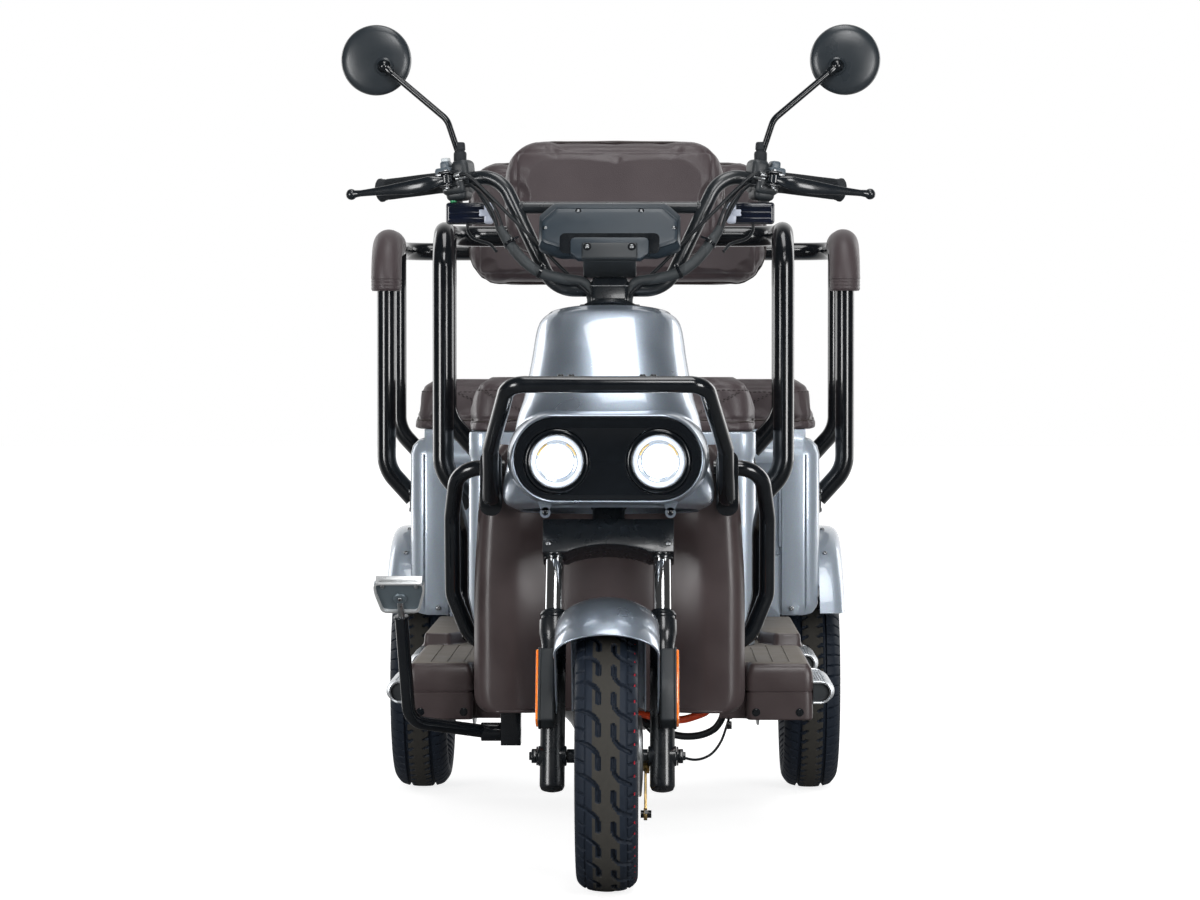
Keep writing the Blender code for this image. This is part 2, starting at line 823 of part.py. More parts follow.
def rim_solid(bead_width, hub_half, drum_side, drum_reach, stub=0.0):
    """A rim, disc, hub and drum in one turning, with a driving stub where one is asked for."""
    flange_radius = RIM_RADIUS + FLANGE_HEIGHT
    flange_in = bead_width / 2
    flange_out = flange_in + RIM_WALL
    barrel_in = RIM_RADIUS - RIM_WALL
    disc = RIM_DISC / 2
    bore = AXLE_RADIUS + RUNNING_GAP
    ridge = (flange_in + flange_out) / 2
    profile = [
        (RIM_RADIUS, -flange_in), (RIM_RADIUS, flange_in), (flange_radius, ridge),
        (barrel_in, flange_out), (barrel_in, disc), (DRUM_RADIUS, disc), (DRUM_RADIUS, drum_reach)]
    if stub > 0:
        profile += [(0, drum_reach), (0, -hub_half)]
    else:
        profile += [(bore, drum_reach), (bore, -hub_half)]
    profile += [(HUB_RADIUS, -hub_half), (HUB_RADIUS, -disc), (barrel_in, -disc),
                (barrel_in, -flange_out), (flange_radius, -ridge)]
    if stub > 0:
        start = profile.index((0, -hub_half))
        profile = profile[start:] + profile[:start]
        rim = turned(profile, WHEEL_STEPS)
    else:
        rim = turned(profile, WHEEL_STEPS, closed=True)
    if stub > 0:
        rim = fused(rim, rod((0, 0, drum_reach - 0.01), (0, 0, drum_reach + stub), HALF_SHAFT_RADIUS, 12))
    if drum_side < 0:
        transformed(rim, Matrix.Rotation(math.radians(180), 4, "X"))
    return across(rim)


FRONT_CROWN = ((0.42, 0.92), (0.62, 1.0), (0.81, 0.92), (0.95, 0.60), (1.0, 0.20))
REAR_CROWN = ((0.42, 0.95), (0.66, 1.0), (0.93, 0.62), (1.0, 0.36))


def build_wheels():
    """The three tyres and rims on their axles."""
    tyre = tyre_solid(FRONT_TYRE_RADIUS, FRONT_TYRE_WIDTH, FRONT_BEAD_WIDTH, FRONT_CROWN)
    finished("front_tyre", shifted(tyre, 0, 0, FRONT_AXLE_Z), TYRE_RUBBER, FRONT_SPIN)
    rim = rim_solid(FRONT_BEAD_WIDTH, FRONT_HUB_HALF, 1, FRONT_HUB_HALF)
    finished("front_rim", shifted(rim, 0, 0, FRONT_AXLE_Z), METAL_ALUMINIUM, FRONT_SPIN)
    stub = REAR_WHEEL_X - REAR_HUB_HALF - AXLE_TUBE_HALF + 0.040
    for side, word, pivot in ((1, "left", REAR_SPIN_LEFT), (-1, "right", REAR_SPIN_RIGHT)):
        tyre = tyre_solid(REAR_TYRE_RADIUS, REAR_TYRE_WIDTH, REAR_BEAD_WIDTH, REAR_CROWN)
        shifted(tyre, side * REAR_WHEEL_X, WHEELBASE, REAR_AXLE_Z)
        finished(f"rear_tyre_{word}", tyre, TYRE_RUBBER, pivot)
        rim = rim_solid(REAR_BEAD_WIDTH, REAR_HUB_HALF, -side, REAR_HUB_HALF, stub)
        shifted(rim, side * REAR_WHEEL_X, WHEELBASE, REAR_AXLE_Z)
        finished(f"rear_rim_{word}", rim, METAL_ALUMINIUM, pivot)


# Fork, front axle and front fender, made in the fork's own frame

def build_lower_legs():
    """The two sliding legs with their seal collars, fender bosses and reflector boxes."""
    edge = 0.003
    bore_radius = STANCHION_RADIUS + GAP * 2
    profile = [
        (0, LEG_BORE_BOTTOM), (bore_radius, LEG_BORE_BOTTOM), (bore_radius, LEG_TOP),
        (COLLAR_RADIUS - edge, LEG_TOP), (COLLAR_RADIUS, LEG_TOP - edge),
        (COLLAR_RADIUS, COLLAR_BOTTOM + edge),
        (LEG_RADIUS, COLLAR_BOTTOM - edge), (LEG_RADIUS, LEG_BOTTOM + edge), (LEG_RADIUS - edge, LEG_BOTTOM),
        (0, LEG_BOTTOM)]
    leg = shifted(turned(profile, 12), FORK_SPREAD, 0, 0)
    fender_face = FENDER_REAR_HALF_WIDTH + GAP
    boss = rod((fender_face, 0, FENDER_BOSS_HEIGHT),
               (FORK_SPREAD - LEG_RADIUS + BITE, 0, FENDER_BOSS_HEIGHT), FENDER_BOSS_RADIUS, 8)
    reflector = block(
        (FENDER_HALF_WIDTH + SLOT_GAP, -LEG_RADIUS - REFLECTOR_DEPTH, REFLECTOR_LOW),
        (FENDER_HALF_WIDTH + SLOT_GAP + REFLECTOR_WIDTH, -LEG_RADIUS + BITE, REFLECTOR_HIGH), 0.0025, 1)
    leg = fused(leg, boss, reflector)
    hole = rod((0, 0, 0), (FORK_SPREAD * 2, 0, 0), AXLE_RADIUS + GAP * 2, 10)
    cut(leg, hole)
    right = side_copy(leg)
    for piece, word in ((leg, "left"), (right, "right")):
        finished(f"fork_leg_{word}", transformed(piece, fork_frame()), PAINT_BLACK, FORK_SLIDE)


def build_front_axle():
    """The axle rod with its nuts and spacers, and the brake plate with its arm on the left."""
    leg_outer = FORK_SPREAD + LEG_RADIUS
    leg_inner = FORK_SPREAD - LEG_RADIUS
    plate_in = FRONT_HUB_HALF + GAP * 2
    axle = rod((-AXLE_HALF, 0, 0), (AXLE_HALF, 0, 0), AXLE_RADIUS, 8)
    extras = []
    for side in (1, -1):
        nut_in = side * (leg_outer + GAP)
        extras.append(rod((nut_in, 0, 0), (nut_in + side * AXLE_NUT_WIDTH, 0, 0), AXLE_NUT_RADIUS, 6))
    extras.append(rod((-leg_inner + GAP, 0, 0), (-plate_in, 0, 0), AXLE_SPACER_RADIUS, 8))
    extras.append(rod((plate_in, 0, 0), (leg_inner - GAP, 0, 0), AXLE_SPACER_RADIUS, 8))
    extras.append(rod((plate_in, 0, 0), (plate_in + BRAKE_PLATE_WIDTH, 0, 0), BRAKE_PLATE_RADIUS, 18))
    arm_x = plate_in + BRAKE_PLATE_WIDTH + BRAKE_ARM_THICKNESS
    cam_y = BRAKE_CAM_SET_BACK
    extras.append(centred_block((arm_x, cam_y, -BRAKE_ARM_LENGTH / 2),
                                (BRAKE_ARM_THICKNESS, BRAKE_ARM_WIDTH, BRAKE_ARM_LENGTH), 0.002, 1))
    extras.append(rod((plate_in, cam_y, BRAKE_CAM_HEIGHT), (arm_x + 0.006, cam_y, BRAKE_CAM_HEIGHT),
                      BRAKE_CAM_RADIUS, 8))
    fused(axle, *extras)
    transformed(axle, fork_frame())
    finished("front_axle", axle, METAL_STEEL, FORK_SLIDE)


def fender_half_width(angle):
    """Half width of the front fender: full ahead of the fork legs, narrow between them."""
    if angle <= 8:
        return FENDER_HALF_WIDTH
    if angle >= 22:
        return FENDER_REAR_HALF_WIDTH
    mix = (angle - 8) / 14
    mix = math.sin(mix * math.pi / 2)
    return FENDER_HALF_WIDTH + (FENDER_REAR_HALF_WIDTH - FENDER_HALF_WIDTH) * mix


def fender_side_depth(angle):
    """How far the fender's sides reach in towards the axle, deepest at the skirt's tip."""
    away = (angle - FENDER_SKIRT_ANGLE) / (13.0 if angle < FENDER_SKIRT_ANGLE else 8.0)
    side = FENDER_SIDE if angle < 10 else FENDER_SIDE * 0.8
    return side + (FENDER_SKIRT - side) * math.exp(-away * away)


def build_front_fender():
    """The arched front fender with its pointed side skirts."""
    angles = [FENDER_FRONT_ANGLE, -28, -20, -14, -9, -5, -1, 4, 10, 16, 23, 36, 50, 63, FENDER_REAR_ANGLE]
    dome_steps = 4
    rows = []
    for angle in angles:
        half = fender_half_width(angle)
        depth = fender_side_depth(angle)
        rise = min(FENDER_DOME * half / FENDER_HALF_WIDTH, 0.9 * depth)
        quarter = [math.radians(90) * i / dome_steps for i in range(dome_steps)]
        crown = [(half, depth)] + [(half * math.cos(lean), rise * (1 - math.sin(lean))) for lean in quarter]
        section = [(-x, d) for x, d in crown] + [(0.0, 0.0)] + [(x, d) for x, d in reversed(crown)]
        turn = math.radians(angle)
        rows.append([(x, (FENDER_RADIUS - d) * math.sin(turn),
                      FRONT_AXLE_Z + (FENDER_RADIUS - d) * math.cos(turn)) for x, d in section])
    sheet = skin(rows)
    shape_mesh = bmesh.new()
    shape_mesh.from_mesh(sheet.data)
    bmesh.ops.recalc_face_normals(shape_mesh, faces=shape_mesh.faces)
    middle = min(shape_mesh.faces, key=lambda face: (face.calc_center_median() - Vector((0, 0, 1))).length)
    if middle.normal.z < 0:
        bmesh.ops.reverse_faces(shape_mesh, faces=shape_mesh.faces)
    shape_mesh.to_mesh(sheet.data)
    shape_mesh.free()
    finished("front_fender", walled(sheet, FENDER_WALL, -1), PAINT_SILVER, FORK_SLIDE)


def bar_middle_route():
    """The straight run of the handlebar that its clamp grips."""
    return [BAR_KNEE_LOW, (-BAR_KNEE_LOW[0], *BAR_KNEE_LOW[1:])]


def build_upper_fork():
    """The crown with its two stanchions, its steering stem, its neck flange and the bar clamp."""
    half = CROWN_WIDTH / 2
    rim = FORK_SPREAD - STANCHION_RADIUS - 0.008
    outline = [(half, CROWN_TOP), (-half, CROWN_TOP), (-half, CROWN_BOTTOM), (-rim, CROWN_BOTTOM)]
    outline += [(rim * math.cos(turn) * -0.8, CROWN_BOTTOM + CROWN_ARCH * math.sin(turn))
                for turn in [math.pi * i / 4 for i in range(1, 4)]]
    outline += [(rim, CROWN_BOTTOM), (half, CROWN_BOTTOM)]
    crown = upright(plate(outline, CROWN_DEPTH), -CROWN_DEPTH / 2)
    rounding = crown.modifiers.new("edges", "BEVEL")
    rounding.width = 0.006
    rounding.segments = 2
    rounding.limit_method = "ANGLE"
    rounding.angle_limit = math.radians(60)
    apply_modifiers(crown)
    race = rod((0, 0, CROWN_TOP - 0.01), (0, 0, HEAD_TUBE_BOTTOM - GAP), BEARING_RADIUS, 12)
    stem = rod((0, 0, CROWN_TOP - 0.02), (0, 0, BAR_HEIGHT - CLAMP_HEIGHT / 2 + 0.004), STEM_RADIUS, 12)
    top_race = rod((0, 0, HEAD_TUBE_TOP + GAP), (0, 0, NECK_FLANGE_LOW + 0.002), BEARING_RADIUS, 12)
    flange = rod((0, 0, NECK_FLANGE_LOW), (0, 0, NECK_FLANGE_HIGH), NECK_FLANGE_RADIUS, 16)
    stem_clamp = centred_block((0, 0, BAR_HEIGHT), (CLAMP_WIDTH, CLAMP_DEPTH, CLAMP_HEIGHT), 0.004, 2)
    stanchions = [rod((side * FORK_SPREAD, 0, STANCHION_BOTTOM), (side * FORK_SPREAD, 0, STANCHION_TOP),
                      STANCHION_RADIUS, 12) for side in (1, -1)]
    fused(crown, race, stem, top_race, flange, stem_clamp, *stanchions)
    transformed(crown, fork_frame())
    cut(crown, tube(bar_middle_route(), BAR_BORE, 10))
    finished("steering_fork", crown, PAINT_BLACK, STEERING)


# Handlebar and what it carries

def bar_route():
    """The handlebar's centre line from one grip end to the other."""
    left = [BAR_END, BAR_KNEE_HIGH, BAR_KNEE_LOW]
    return bent_route(both_sides(left), BAR_BEND, 4)


def build_handlebar():
    """The bent bar with its cross brace."""
    bar = tube(bar_route(), BAR_RADIUS, 10)
    low = Vector(BAR_KNEE_LOW)
    high = Vector(BAR_KNEE_HIGH)
    brace_end = low + (high - low) * (BRACE_HEIGHT - low.z) / (high.z - low.z)
    brace = rod(brace_end, (-brace_end.x, brace_end.y, brace_end.z), BRACE_RADIUS, 8)
    finished("handlebar", fused(bar, brace), PAINT_BLACK, STEERING)


def build_grips():
    """The fixed left grip and the right throttle grip, hollow over the bar."""
    length = GRIP_LENGTH
    profile = [
        (BAR_BORE, 0.001), (GRIP_FLANGE, 0.001), (GRIP_FLANGE, -0.005), (GRIP_RADIUS, -0.009),
        (GRIP_RADIUS * 0.94, -0.045), (GRIP_RADIUS, -0.080), (GRIP_RADIUS, -length + 0.008),
        (GRIP_FLANGE * 0.95, -length + 0.005), (GRIP_FLANGE * 0.95, -length), (BAR_BORE, -length)]
    grip = turned(profile, 10, closed=True)
    lay = Matrix.Rotation(math.radians(90), 4, "Y")
    transformed(grip, bar_frame() @ lay)
    throttle = side_copy(grip)
    finished("left_grip", grip, PLASTIC_BLACK, STEERING)
    finished("throttle_grip", throttle, PLASTIC_BLACK, THROTTLE_AXIS)


def perch_solid():
    """A switch housing round the bar with the lever's fork and the mirror boot."""
    inner = -GRIP_LENGTH - GAP * 2
    outer = inner - SWITCH_LENGTH
    lay = bar_frame()
    housing = rod((outer, 0, 0), (inner, 0, 0), SWITCH_RADIUS, 12)
    body = block((outer + 0.004, -0.030, -0.020), (inner - 0.004, 0.014, 0.012), 0.004, 1)
    ear_x = inner - LEVER_PIVOT_OUT / 2
    ear = block((ear_x - 0.010, -LEVER_PIVOT_FORWARD - 0.009, -0.012), (ear_x + 0.010, -0.012, 0.012),
                0.003, 1)
    fused(housing, body, ear)
    lever_gap = block((ear_x - 0.02, -LEVER_PIVOT_FORWARD - 0.02, -LEVER_RADIUS - RUNNING_GAP),
                      (ear_x + 0.03, -0.024, LEVER_RADIUS + RUNNING_GAP))
    cut(housing, lever_gap)
    pin = rod((ear_x, -LEVER_PIVOT_FORWARD, -0.010), (ear_x, -LEVER_PIVOT_FORWARD, 0.010), 0.003, 8)
    fused(housing, pin)
    transformed(housing, lay)
    boot_base = lay @ Vector((outer + SWITCH_LENGTH * 0.3, -0.012, 0.010))
    boot_top = boot_base + Vector((0.0, 0.0, MIRROR_BOOT_HEIGHT))
    boot = rod(boot_base, boot_top, MIRROR_BOOT_RADIUS, 8, MIRROR_BOOT_RADIUS * 0.7)
    stem = tube(bent_route([boot_top - Vector((0, 0, 0.01)), MIRROR_ELBOW, MIRROR_BALL], 0.030, 3),
                MIRROR_STEM_RADIUS, 6)
    knob = ball(MIRROR_BALL, MIRROR_BALL_RADIUS, 6)
    fused(housing, boot, stem, knob)
    bore = rod(lay @ Vector((outer - 0.01, 0, 0)), lay @ Vector((inner + 0.01, 0, 0)), BAR_BORE, 10)
    return cut(housing, bore)


def lever_solid():
    """A curved brake lever with a ball end, bored for its pin."""
    inner = -GRIP_LENGTH - GAP * 2
    pivot_x = inner - LEVER_PIVOT_OUT / 2
    forward = -LEVER_PIVOT_FORWARD
    points = [(pivot_x, forward, 0), (pivot_x + 0.020, forward - 0.016, 0),
              (pivot_x + 0.050, forward - 0.020, -0.001), (pivot_x + 0.095, forward - 0.018, -0.003),
              (pivot_x + LEVER_LENGTH, forward - 0.012, -0.006)]
    blade = tube(smooth_route(points, 2), LEVER_RADIUS, 6, [1.0 - 0.03 * i for i in range(9)])
    eye = rod((pivot_x, forward, -LEVER_RADIUS * 0.9), (pivot_x, forward, LEVER_RADIUS * 0.9), 0.0085, 10)
    tip = ball(points[-1], LEVER_BALL, 5)
    fused(blade, eye, tip)
    pin_hole = rod((pivot_x, forward, -0.02), (pivot_x, forward, 0.02), 0.003 + GAP * 3, 8)
    cut(blade, pin_hole)
    return transformed(blade, bar_frame())


def lever_pivot(side):
    """Where a lever turns, in the datum's frame."""
    inner = -GRIP_LENGTH - GAP * 2
    spot = bar_frame() @ Vector((inner - LEVER_PIVOT_OUT / 2, -LEVER_PIVOT_FORWARD, 0))
    return (side * spot.x, spot.y, spot.z)


def mirror_solid():
    """A round mirror head with a domed back that takes the stem's ball."""
    rim = MIRROR_RADIUS
    profile = [(0, 0), (rim * 0.55, 0.001), (rim * 0.86, 0.005), (rim, 0.013),
               (rim, MIRROR_DEPTH), (rim - 0.003, MIRROR_DEPTH - 0.001), (0, MIRROR_DEPTH - 0.001)]
    head = turned(profile, 16)
    back = MIRROR_BALL[1] + MIRROR_SET_BACK
    transformed(head, Matrix.Translation((MIRROR_CENTRE[0], back, MIRROR_CENTRE[2]))
                @ Matrix.Rotation(math.radians(-90), 4, "X"))
    socket = ball(MIRROR_BALL, MIRROR_BALL_RADIUS + GAP * 3, 6)
    return cut(head, socket)


def signal_solid():
    """A slim turn signal with its stalk up to the switch housing."""
    lamp = centred_block(SIGNAL_CENTRE, (SIGNAL_LENGTH, SIGNAL_DEPTH, SIGNAL_HEIGHT), 0.005, 2)
    inner = -GRIP_LENGTH - GAP * 2 - SWITCH_LENGTH / 2
    under = bar_frame() @ Vector((inner, -0.010, -0.020))
    stalk = rod((under.x, under.y, SIGNAL_CENTRE[2]), (under.x, under.y, under.z - 0.0016), 0.006, 8)
    return fused(lamp, stalk)


def build_controls():
    """Both sides' perches, levers, mirrors and signals, and the start button on the right."""
    perch = perch_solid()
    lever = lever_solid()
    mirror = mirror_solid()
    signal = signal_solid()
    pieces = [("control_perch", perch, PLASTIC_BLACK), ("brake_lever", lever, PAINT_BLACK),
              ("mirror", mirror, PAINT_BLACK), ("turn_signal", signal, PLASTIC_BLACK)]
    inner = -GRIP_LENGTH - GAP * 2
    seat = Vector((inner - SWITCH_LENGTH * 0.55, SWITCH_RADIUS - 0.006, 0.004))
    pocket = rod(bar_frame() @ seat, bar_frame() @ (seat + Vector((0, 0.02, 0))), BUTTON_RADIUS + GAP * 2, 12)
    left_pivots = {"brake_lever": make_pivot("lever_left_axis", STEERING, lever_pivot(1)),
                   "mirror": MIRROR_AXIS_LEFT}
    right_pivots = {"brake_lever": make_pivot("lever_right_axis", STEERING, lever_pivot(-1)),
                    "mirror": MIRROR_AXIS_RIGHT}
    for name, piece, material in pieces:
        right = side_copy(piece)
        if name == "control_perch":
            cut(right, flipped(pocket))
        finished(f"{name}_left", piece, material, left_pivots.get(name, STEERING))
        finished(f"{name}_right", right, material, right_pivots.get(name, STEERING))
    press = Vector((0, GAP + BUTTON_TRAVEL, 0))
    button_in = bar_frame() @ (seat + press)
    button_out = bar_frame() @ (seat + press + Vector((0, BUTTON_LENGTH, 0)))
    button = flipped(rod(button_in, button_out, BUTTON_RADIUS, 12))
    button_axis = make_pivot("start_button_axis", STEERING, (-button_in.x, button_in.y, button_in.z))
    finished("start_button", button, PLASTIC_BLACK, button_axis)


def build_dash():
    """The octagonal instrument housing with the bracket that stands on the bar clamp."""
    half_w = DASH_WIDTH / 2
    half_h = DASH_HEIGHT / 2
    corner = DASH_CORNER
    outline = [(half_w, half_h - corner), (half_w - corner, half_h), (corner - half_w, half_h),
               (-half_w, half_h - corner), (-half_w, corner - half_h), (corner - half_w, -half_h),
               (half_w - corner, -half_h), (half_w, corner - half_h)]
    front = -DASH_SET_FORWARD - DASH_DEPTH / 2
    housing = shifted(upright(plate(outline, DASH_DEPTH), front), 0, 0, DASH_CENTRE_HEIGHT)
    rounding = housing.modifiers.new("edges", "BEVEL")
    rounding.width = 0.004
    rounding.segments = 2
    rounding.limit_method = "ANGLE"
    rounding.angle_limit = math.radians(60)
    apply_modifiers(housing)
    foot = BAR_HEIGHT + CLAMP_HEIGHT / 2 + GAP
    bottom = DASH_CENTRE_HEIGHT - half_h
    base = block((-0.026, -0.016, foot), (0.026, 0.008, foot + 0.006))
    web = block((-DASH_BRACKET_WIDTH / 2, front + 0.006, foot),
                (DASH_BRACKET_WIDTH / 2, -0.012, bottom + 0.012), 0.003, 1)
    flange = block((-DASH_BRACKET_FLANGE / 2, front - 0.003, bottom - 0.006),
                   (DASH_BRACKET_FLANGE / 2, front + 0.010, bottom + 0.022), 0.003, 1)
    fused(housing, web, base, flange)
    finished("dash_housing", transformed(housing, fork_frame()), PLASTIC_BLACK, STEERING)


# Points that each loom and cable follows on the left side
LOOM_POINTS = (
    (0.2220, 0.3475, 1.0280), (0.2073, 0.3400, 1.0265), (0.195, 0.3210, 1.008), (0.183, 0.3125, 0.980),
    (0.170, 0.303, 0.948), (0.150, 0.292, 0.915), (0.108, 0.286, 0.888), (0.070, 0.283, 0.872),
    (0.044, 0.284, 0.858), (0.038, 0.279, 0.838))
CABLE_POINTS = (
    (0.2376, 0.3360, 1.0413), (0.2179, 0.3259, 1.0423), (0.190, 0.318, 1.018), (0.150, 0.309, 0.978),
    (0.112, 0.306, 0.940), (0.078, 0.300, 0.905), (0.052, 0.291, 0.874), (0.038, 0.284, 0.856))


def build_looms():
    """The wrapped wiring loom and the brake cable on each side, joined at the neck's grommet."""
    loom = tube(smooth_route(LOOM_POINTS, 2), LOOM_RADIUS, 8)
    cable = tube(smooth_route(CABLE_POINTS, 2), CABLE_RADIUS, 6)
    perch_face = -GRIP_LENGTH - GAP * 2 - SWITCH_LENGTH - GAP
    cut(loom, transformed(block((perch_face, -0.1, -0.1), (0, 0.1, 0.1)), bar_frame()))
    below_flange = block((-0.1, -0.1, NECK_FLANGE_LOW - 0.1), (0.1, 0.1, NECK_FLANGE_HIGH + GAP))
    cut(fused(loom, cable), transformed(below_flange, fork_frame()))
    right = side_copy(loom)
    finished("wiring_loom_left", loom, PLASTIC_BLACK, STEERING)
    finished("wiring_loom_right", right, PLASTIC_BLACK, STEERING)


# Cowl, lamps, shield and inner panel

# Each cowl section: front and rear height, front and rear distance, half width
COWL_SECTIONS = (
    (0.540, 0.500, 0.058, COWL_REAR, 0.130),
    (0.556, 0.516, 0.042, COWL_REAR, 0.150),
    (0.585, 0.540, 0.038, COWL_REAR, 0.1555),
    (0.620, 0.572, 0.038, COWL_REAR, 0.1505),
    (0.662, 0.606, 0.043, COWL_REAR, 0.1415),
    (0.700, 0.644, 0.063, COWL_REAR + 0.010, 0.134),
    (0.734, 0.674, 0.090, COWL_REAR + 0.052, 0.125),
    (0.785, 0.715, 0.138, COWL_REAR + 0.096, 0.1135),
    (0.8335, 0.763, 0.194, COWL_REAR + 0.122, 0.0985),
    (0.8480, 0.787, 0.222, COWL_REAR + 0.122, 0.0780),
)


def superellipse(turn, squareness):
    """A point on a rounded square of half size 1."""
    power = 2 / squareness
    c = math.cos(turn)
    s = math.sin(turn)
    return math.copysign(abs(c) ** power, c), math.copysign(abs(s) ** power, s)


def cowl_ring(section):
    """One closed ring of the cowl, tilted from its front height to its rear height."""
    front_z, rear_z, front_y, rear_y, half = section
    ring = []
    for i in range(COWL_POINTS):
        u, v = superellipse(2 * math.pi * (i + 0.5) / COWL_POINTS, COWL_SQUARENESS)
        mix = (v + 1) / 2
        z = front_z + (rear_z - front_z) * mix
        ring.append((half * u, front_y + (rear_y - front_y) * mix, z))
    return ring


def neck_ring():
    """The ring that closes the cowl's top in against the head tube."""
    centre_height = HEAD_TUBE_TOP - 0.003
    radius = HEAD_TUBE_RADIUS - 0.004
    ring = []
    for i in range(COWL_POINTS):
        turn = 2 * math.pi * (i + 0.5) / COWL_POINTS
        spot = fork_frame() @ Vector((radius * math.cos(turn), radius * math.sin(turn), centre_height))
        ring.append(spot)
    return ring


def build_cowl():
    """The lofted front cowl with its lamp opening, its top hole and its rear slot."""
    rings = [cowl_ring(section) for section in COWL_SECTIONS] + [neck_ring()]
    shell = loft(rings, caps=False)
    orient = bmesh.new()
    orient.from_mesh(shell.data)
    nose = min(orient.faces, key=lambda face: face.calc_center_median().y)
    if nose.normal.y > 0:
        bmesh.ops.reverse_faces(orient, faces=orient.faces)
    orient.to_mesh(shell.data)
    orient.free()
    walled(shell, COWL_WALL, -1)
    opening = rounded_rectangle(PANEL_WIDTH + 2 * GAP, PANEL_HEIGHT + 2 * GAP,
                                PANEL_HEIGHT / 2 + GAP - 0.0001, 5, (0, PANEL_CENTRE_Z))
    lamp_cut = upright(plate(opening, 0.12), -0.02)
    slot = block((-SHIELD_SLOT_HALF, COWL_REAR - 0.03, SHIELD_SLOT_LOW),
                 (SHIELD_SLOT_HALF, COWL_REAR + 0.06, SHIELD_TOP))
    neck = rod((0, 0, HEAD_TUBE_TOP - 0.05), (0, 0, HEAD_TUBE_TOP + 0.05), HEAD_TUBE_RADIUS + GAP * 1.1, 12)
    cut(shell, lamp_cut, slot, transformed(neck, fork_frame()))
    finished("front_cowl", shell, PAINT_SILVER, DATUM)


def build_lamps():
    """The black lamp panel and the two round headlamps in it."""
    outline = rounded_rectangle(PANEL_WIDTH, PANEL_HEIGHT, PANEL_HEIGHT / 2 - 0.0001, 5, (0, PANEL_CENTRE_Z))
    holes = [circle(LAMP_RADIUS + GAP * 2.5, 20, (side * LAMP_SPREAD, LAMP_Z)) for side in (1, -1)]
    panel = upright(plate(outline, PANEL_BACK - PANEL_FRONT, holes), PANEL_FRONT)
    finished("lamp_panel", panel, PLASTIC_BLACK, DATUM)
    front = PANEL_FRONT - 0.004
    profile = [(0, 0.002), (0.030, 0.006), (0.038, 0.010), (0.0410, 0.0),
               (LAMP_RADIUS, 0.003), (LAMP_RADIUS, LAMP_DEPTH), (0, LAMP_DEPTH)]
    for side, word in ((1, "left"), (-1, "right")):
        lamp = turned(profile, 20)
        transformed(lamp, Matrix.Translation((side * LAMP_SPREAD, front, LAMP_Z))
                    @ Matrix.Rotation(math.radians(-90), 4, "X"))
        finished(f"headlamp_{word}", lamp, LAMP_GLASS, DATUM)


SHIELD_ROWS = ((SHIELD_BOTTOM, 0.87), (0.243, 0.945), (0.270, 1.0), (0.420, 1.0), (0.500, 0.98),
               (0.570, 0.955), (0.608, 0.92), (SHIELD_TOP, 0.82))
SHIELD_COLUMNS = ((0.0, 0.042), (0.30, 0.035), (0.50, 0.017), (0.68, 0.002), (0.85, 0.0), (0.945, 0.007),
                  (1.0, 0.026))


def shield_rows():
    """Rows of points over the leg shield's front face."""
    columns = [(-u, set_back) for u, set_back in reversed(SHIELD_COLUMNS[1:])] + list(SHIELD_COLUMNS)
    return [[(u * share * SHIELD_HALF_WIDTH, SHIELD_CREST_Y + set_back, z) for u, set_back in columns]
            for z, share in SHIELD_ROWS]


def build_shield():
    """The leg shield, hollow in its middle for the wheel and bulging before the rider's shins."""
    sheet = skin(shield_rows())
    wall = walled(sheet, SHIELD_WALL, 1 if sheet.data.polygons[0].normal.y > 0 else -1)
    slot = block((-SHIELD_SLOT_HALF, SHIELD_CREST_Y - 0.026, SHIELD_SLOT_LOW),
                 (SHIELD_SLOT_HALF, SHIELD_CREST_Y + 0.074, SHIELD_TOP + 0.02))
    finished("leg_shield", cut(wall, slot), PLASTIC_BROWN, DATUM)


def build_inner_panel():
    """The tray behind the shield that faces the rider, with the ignition barrel."""
    tray = block((-INNER_PANEL_HALF, INNER_PANEL_FRONT - 0.055, INNER_PANEL_LOW),
                 (INNER_PANEL_HALF, INNER_PANEL_BACK, INNER_PANEL_HIGH), 0.022, 2)
    inside = INNER_PANEL_HALF - PANEL_WALL
    hollow = block((-inside, INNER_PANEL_FRONT - 0.09, INNER_PANEL_LOW + PANEL_WALL),
                   (inside, INNER_PANEL_BACK - PANEL_WALL, INNER_PANEL_HIGH - PANEL_WALL), 0.018, 2)
    tube_slot = block((-SHIELD_SLOT_HALF, INNER_PANEL_FRONT - 0.03, INNER_PANEL_LOW - 0.01),
                      (SHIELD_SLOT_HALF, INNER_PANEL_BACK - 0.006, INNER_PANEL_LOW + PANEL_WALL + 0.005))
    trims = [block((-half, 0, 0), (half, edge, 1)) for half, edge in INNER_PANEL_EDGES]
    cut(tray, hollow, *trims, tube_slot)
    barrel = rod((KEY_X, INNER_PANEL_BACK - 0.02, KEY_Z), (KEY_X, INNER_PANEL_BACK + 0.006, KEY_Z),
                 KEY_BARREL_RADIUS, 12)
    fused(tray, barrel)
    hole = rod((KEY_X, INNER_PANEL_BACK - 0.012, KEY_Z), (KEY_X, INNER_PANEL_BACK + 0.02, KEY_Z), 0.0065, 12)
    finished("inner_panel", cut(tray, hole), PLASTIC_BROWN, DATUM)
    blade = block((KEY_X - 0.004, INNER_PANEL_BACK - 0.012 + GAP, KEY_Z - 0.001),
                  (KEY_X + 0.004, INNER_PANEL_BACK + 0.016, KEY_Z + 0.001))
    bow_y = INNER_PANEL_BACK + 0.028
    bow = rod((KEY_X, bow_y, KEY_Z - 0.0025), (KEY_X, bow_y, KEY_Z + 0.0025), 0.014, 14)
    finished("ignition_key", fused(blade, bow), METAL_STEEL, KEY_AXIS)


# Tube guards and armrest frames

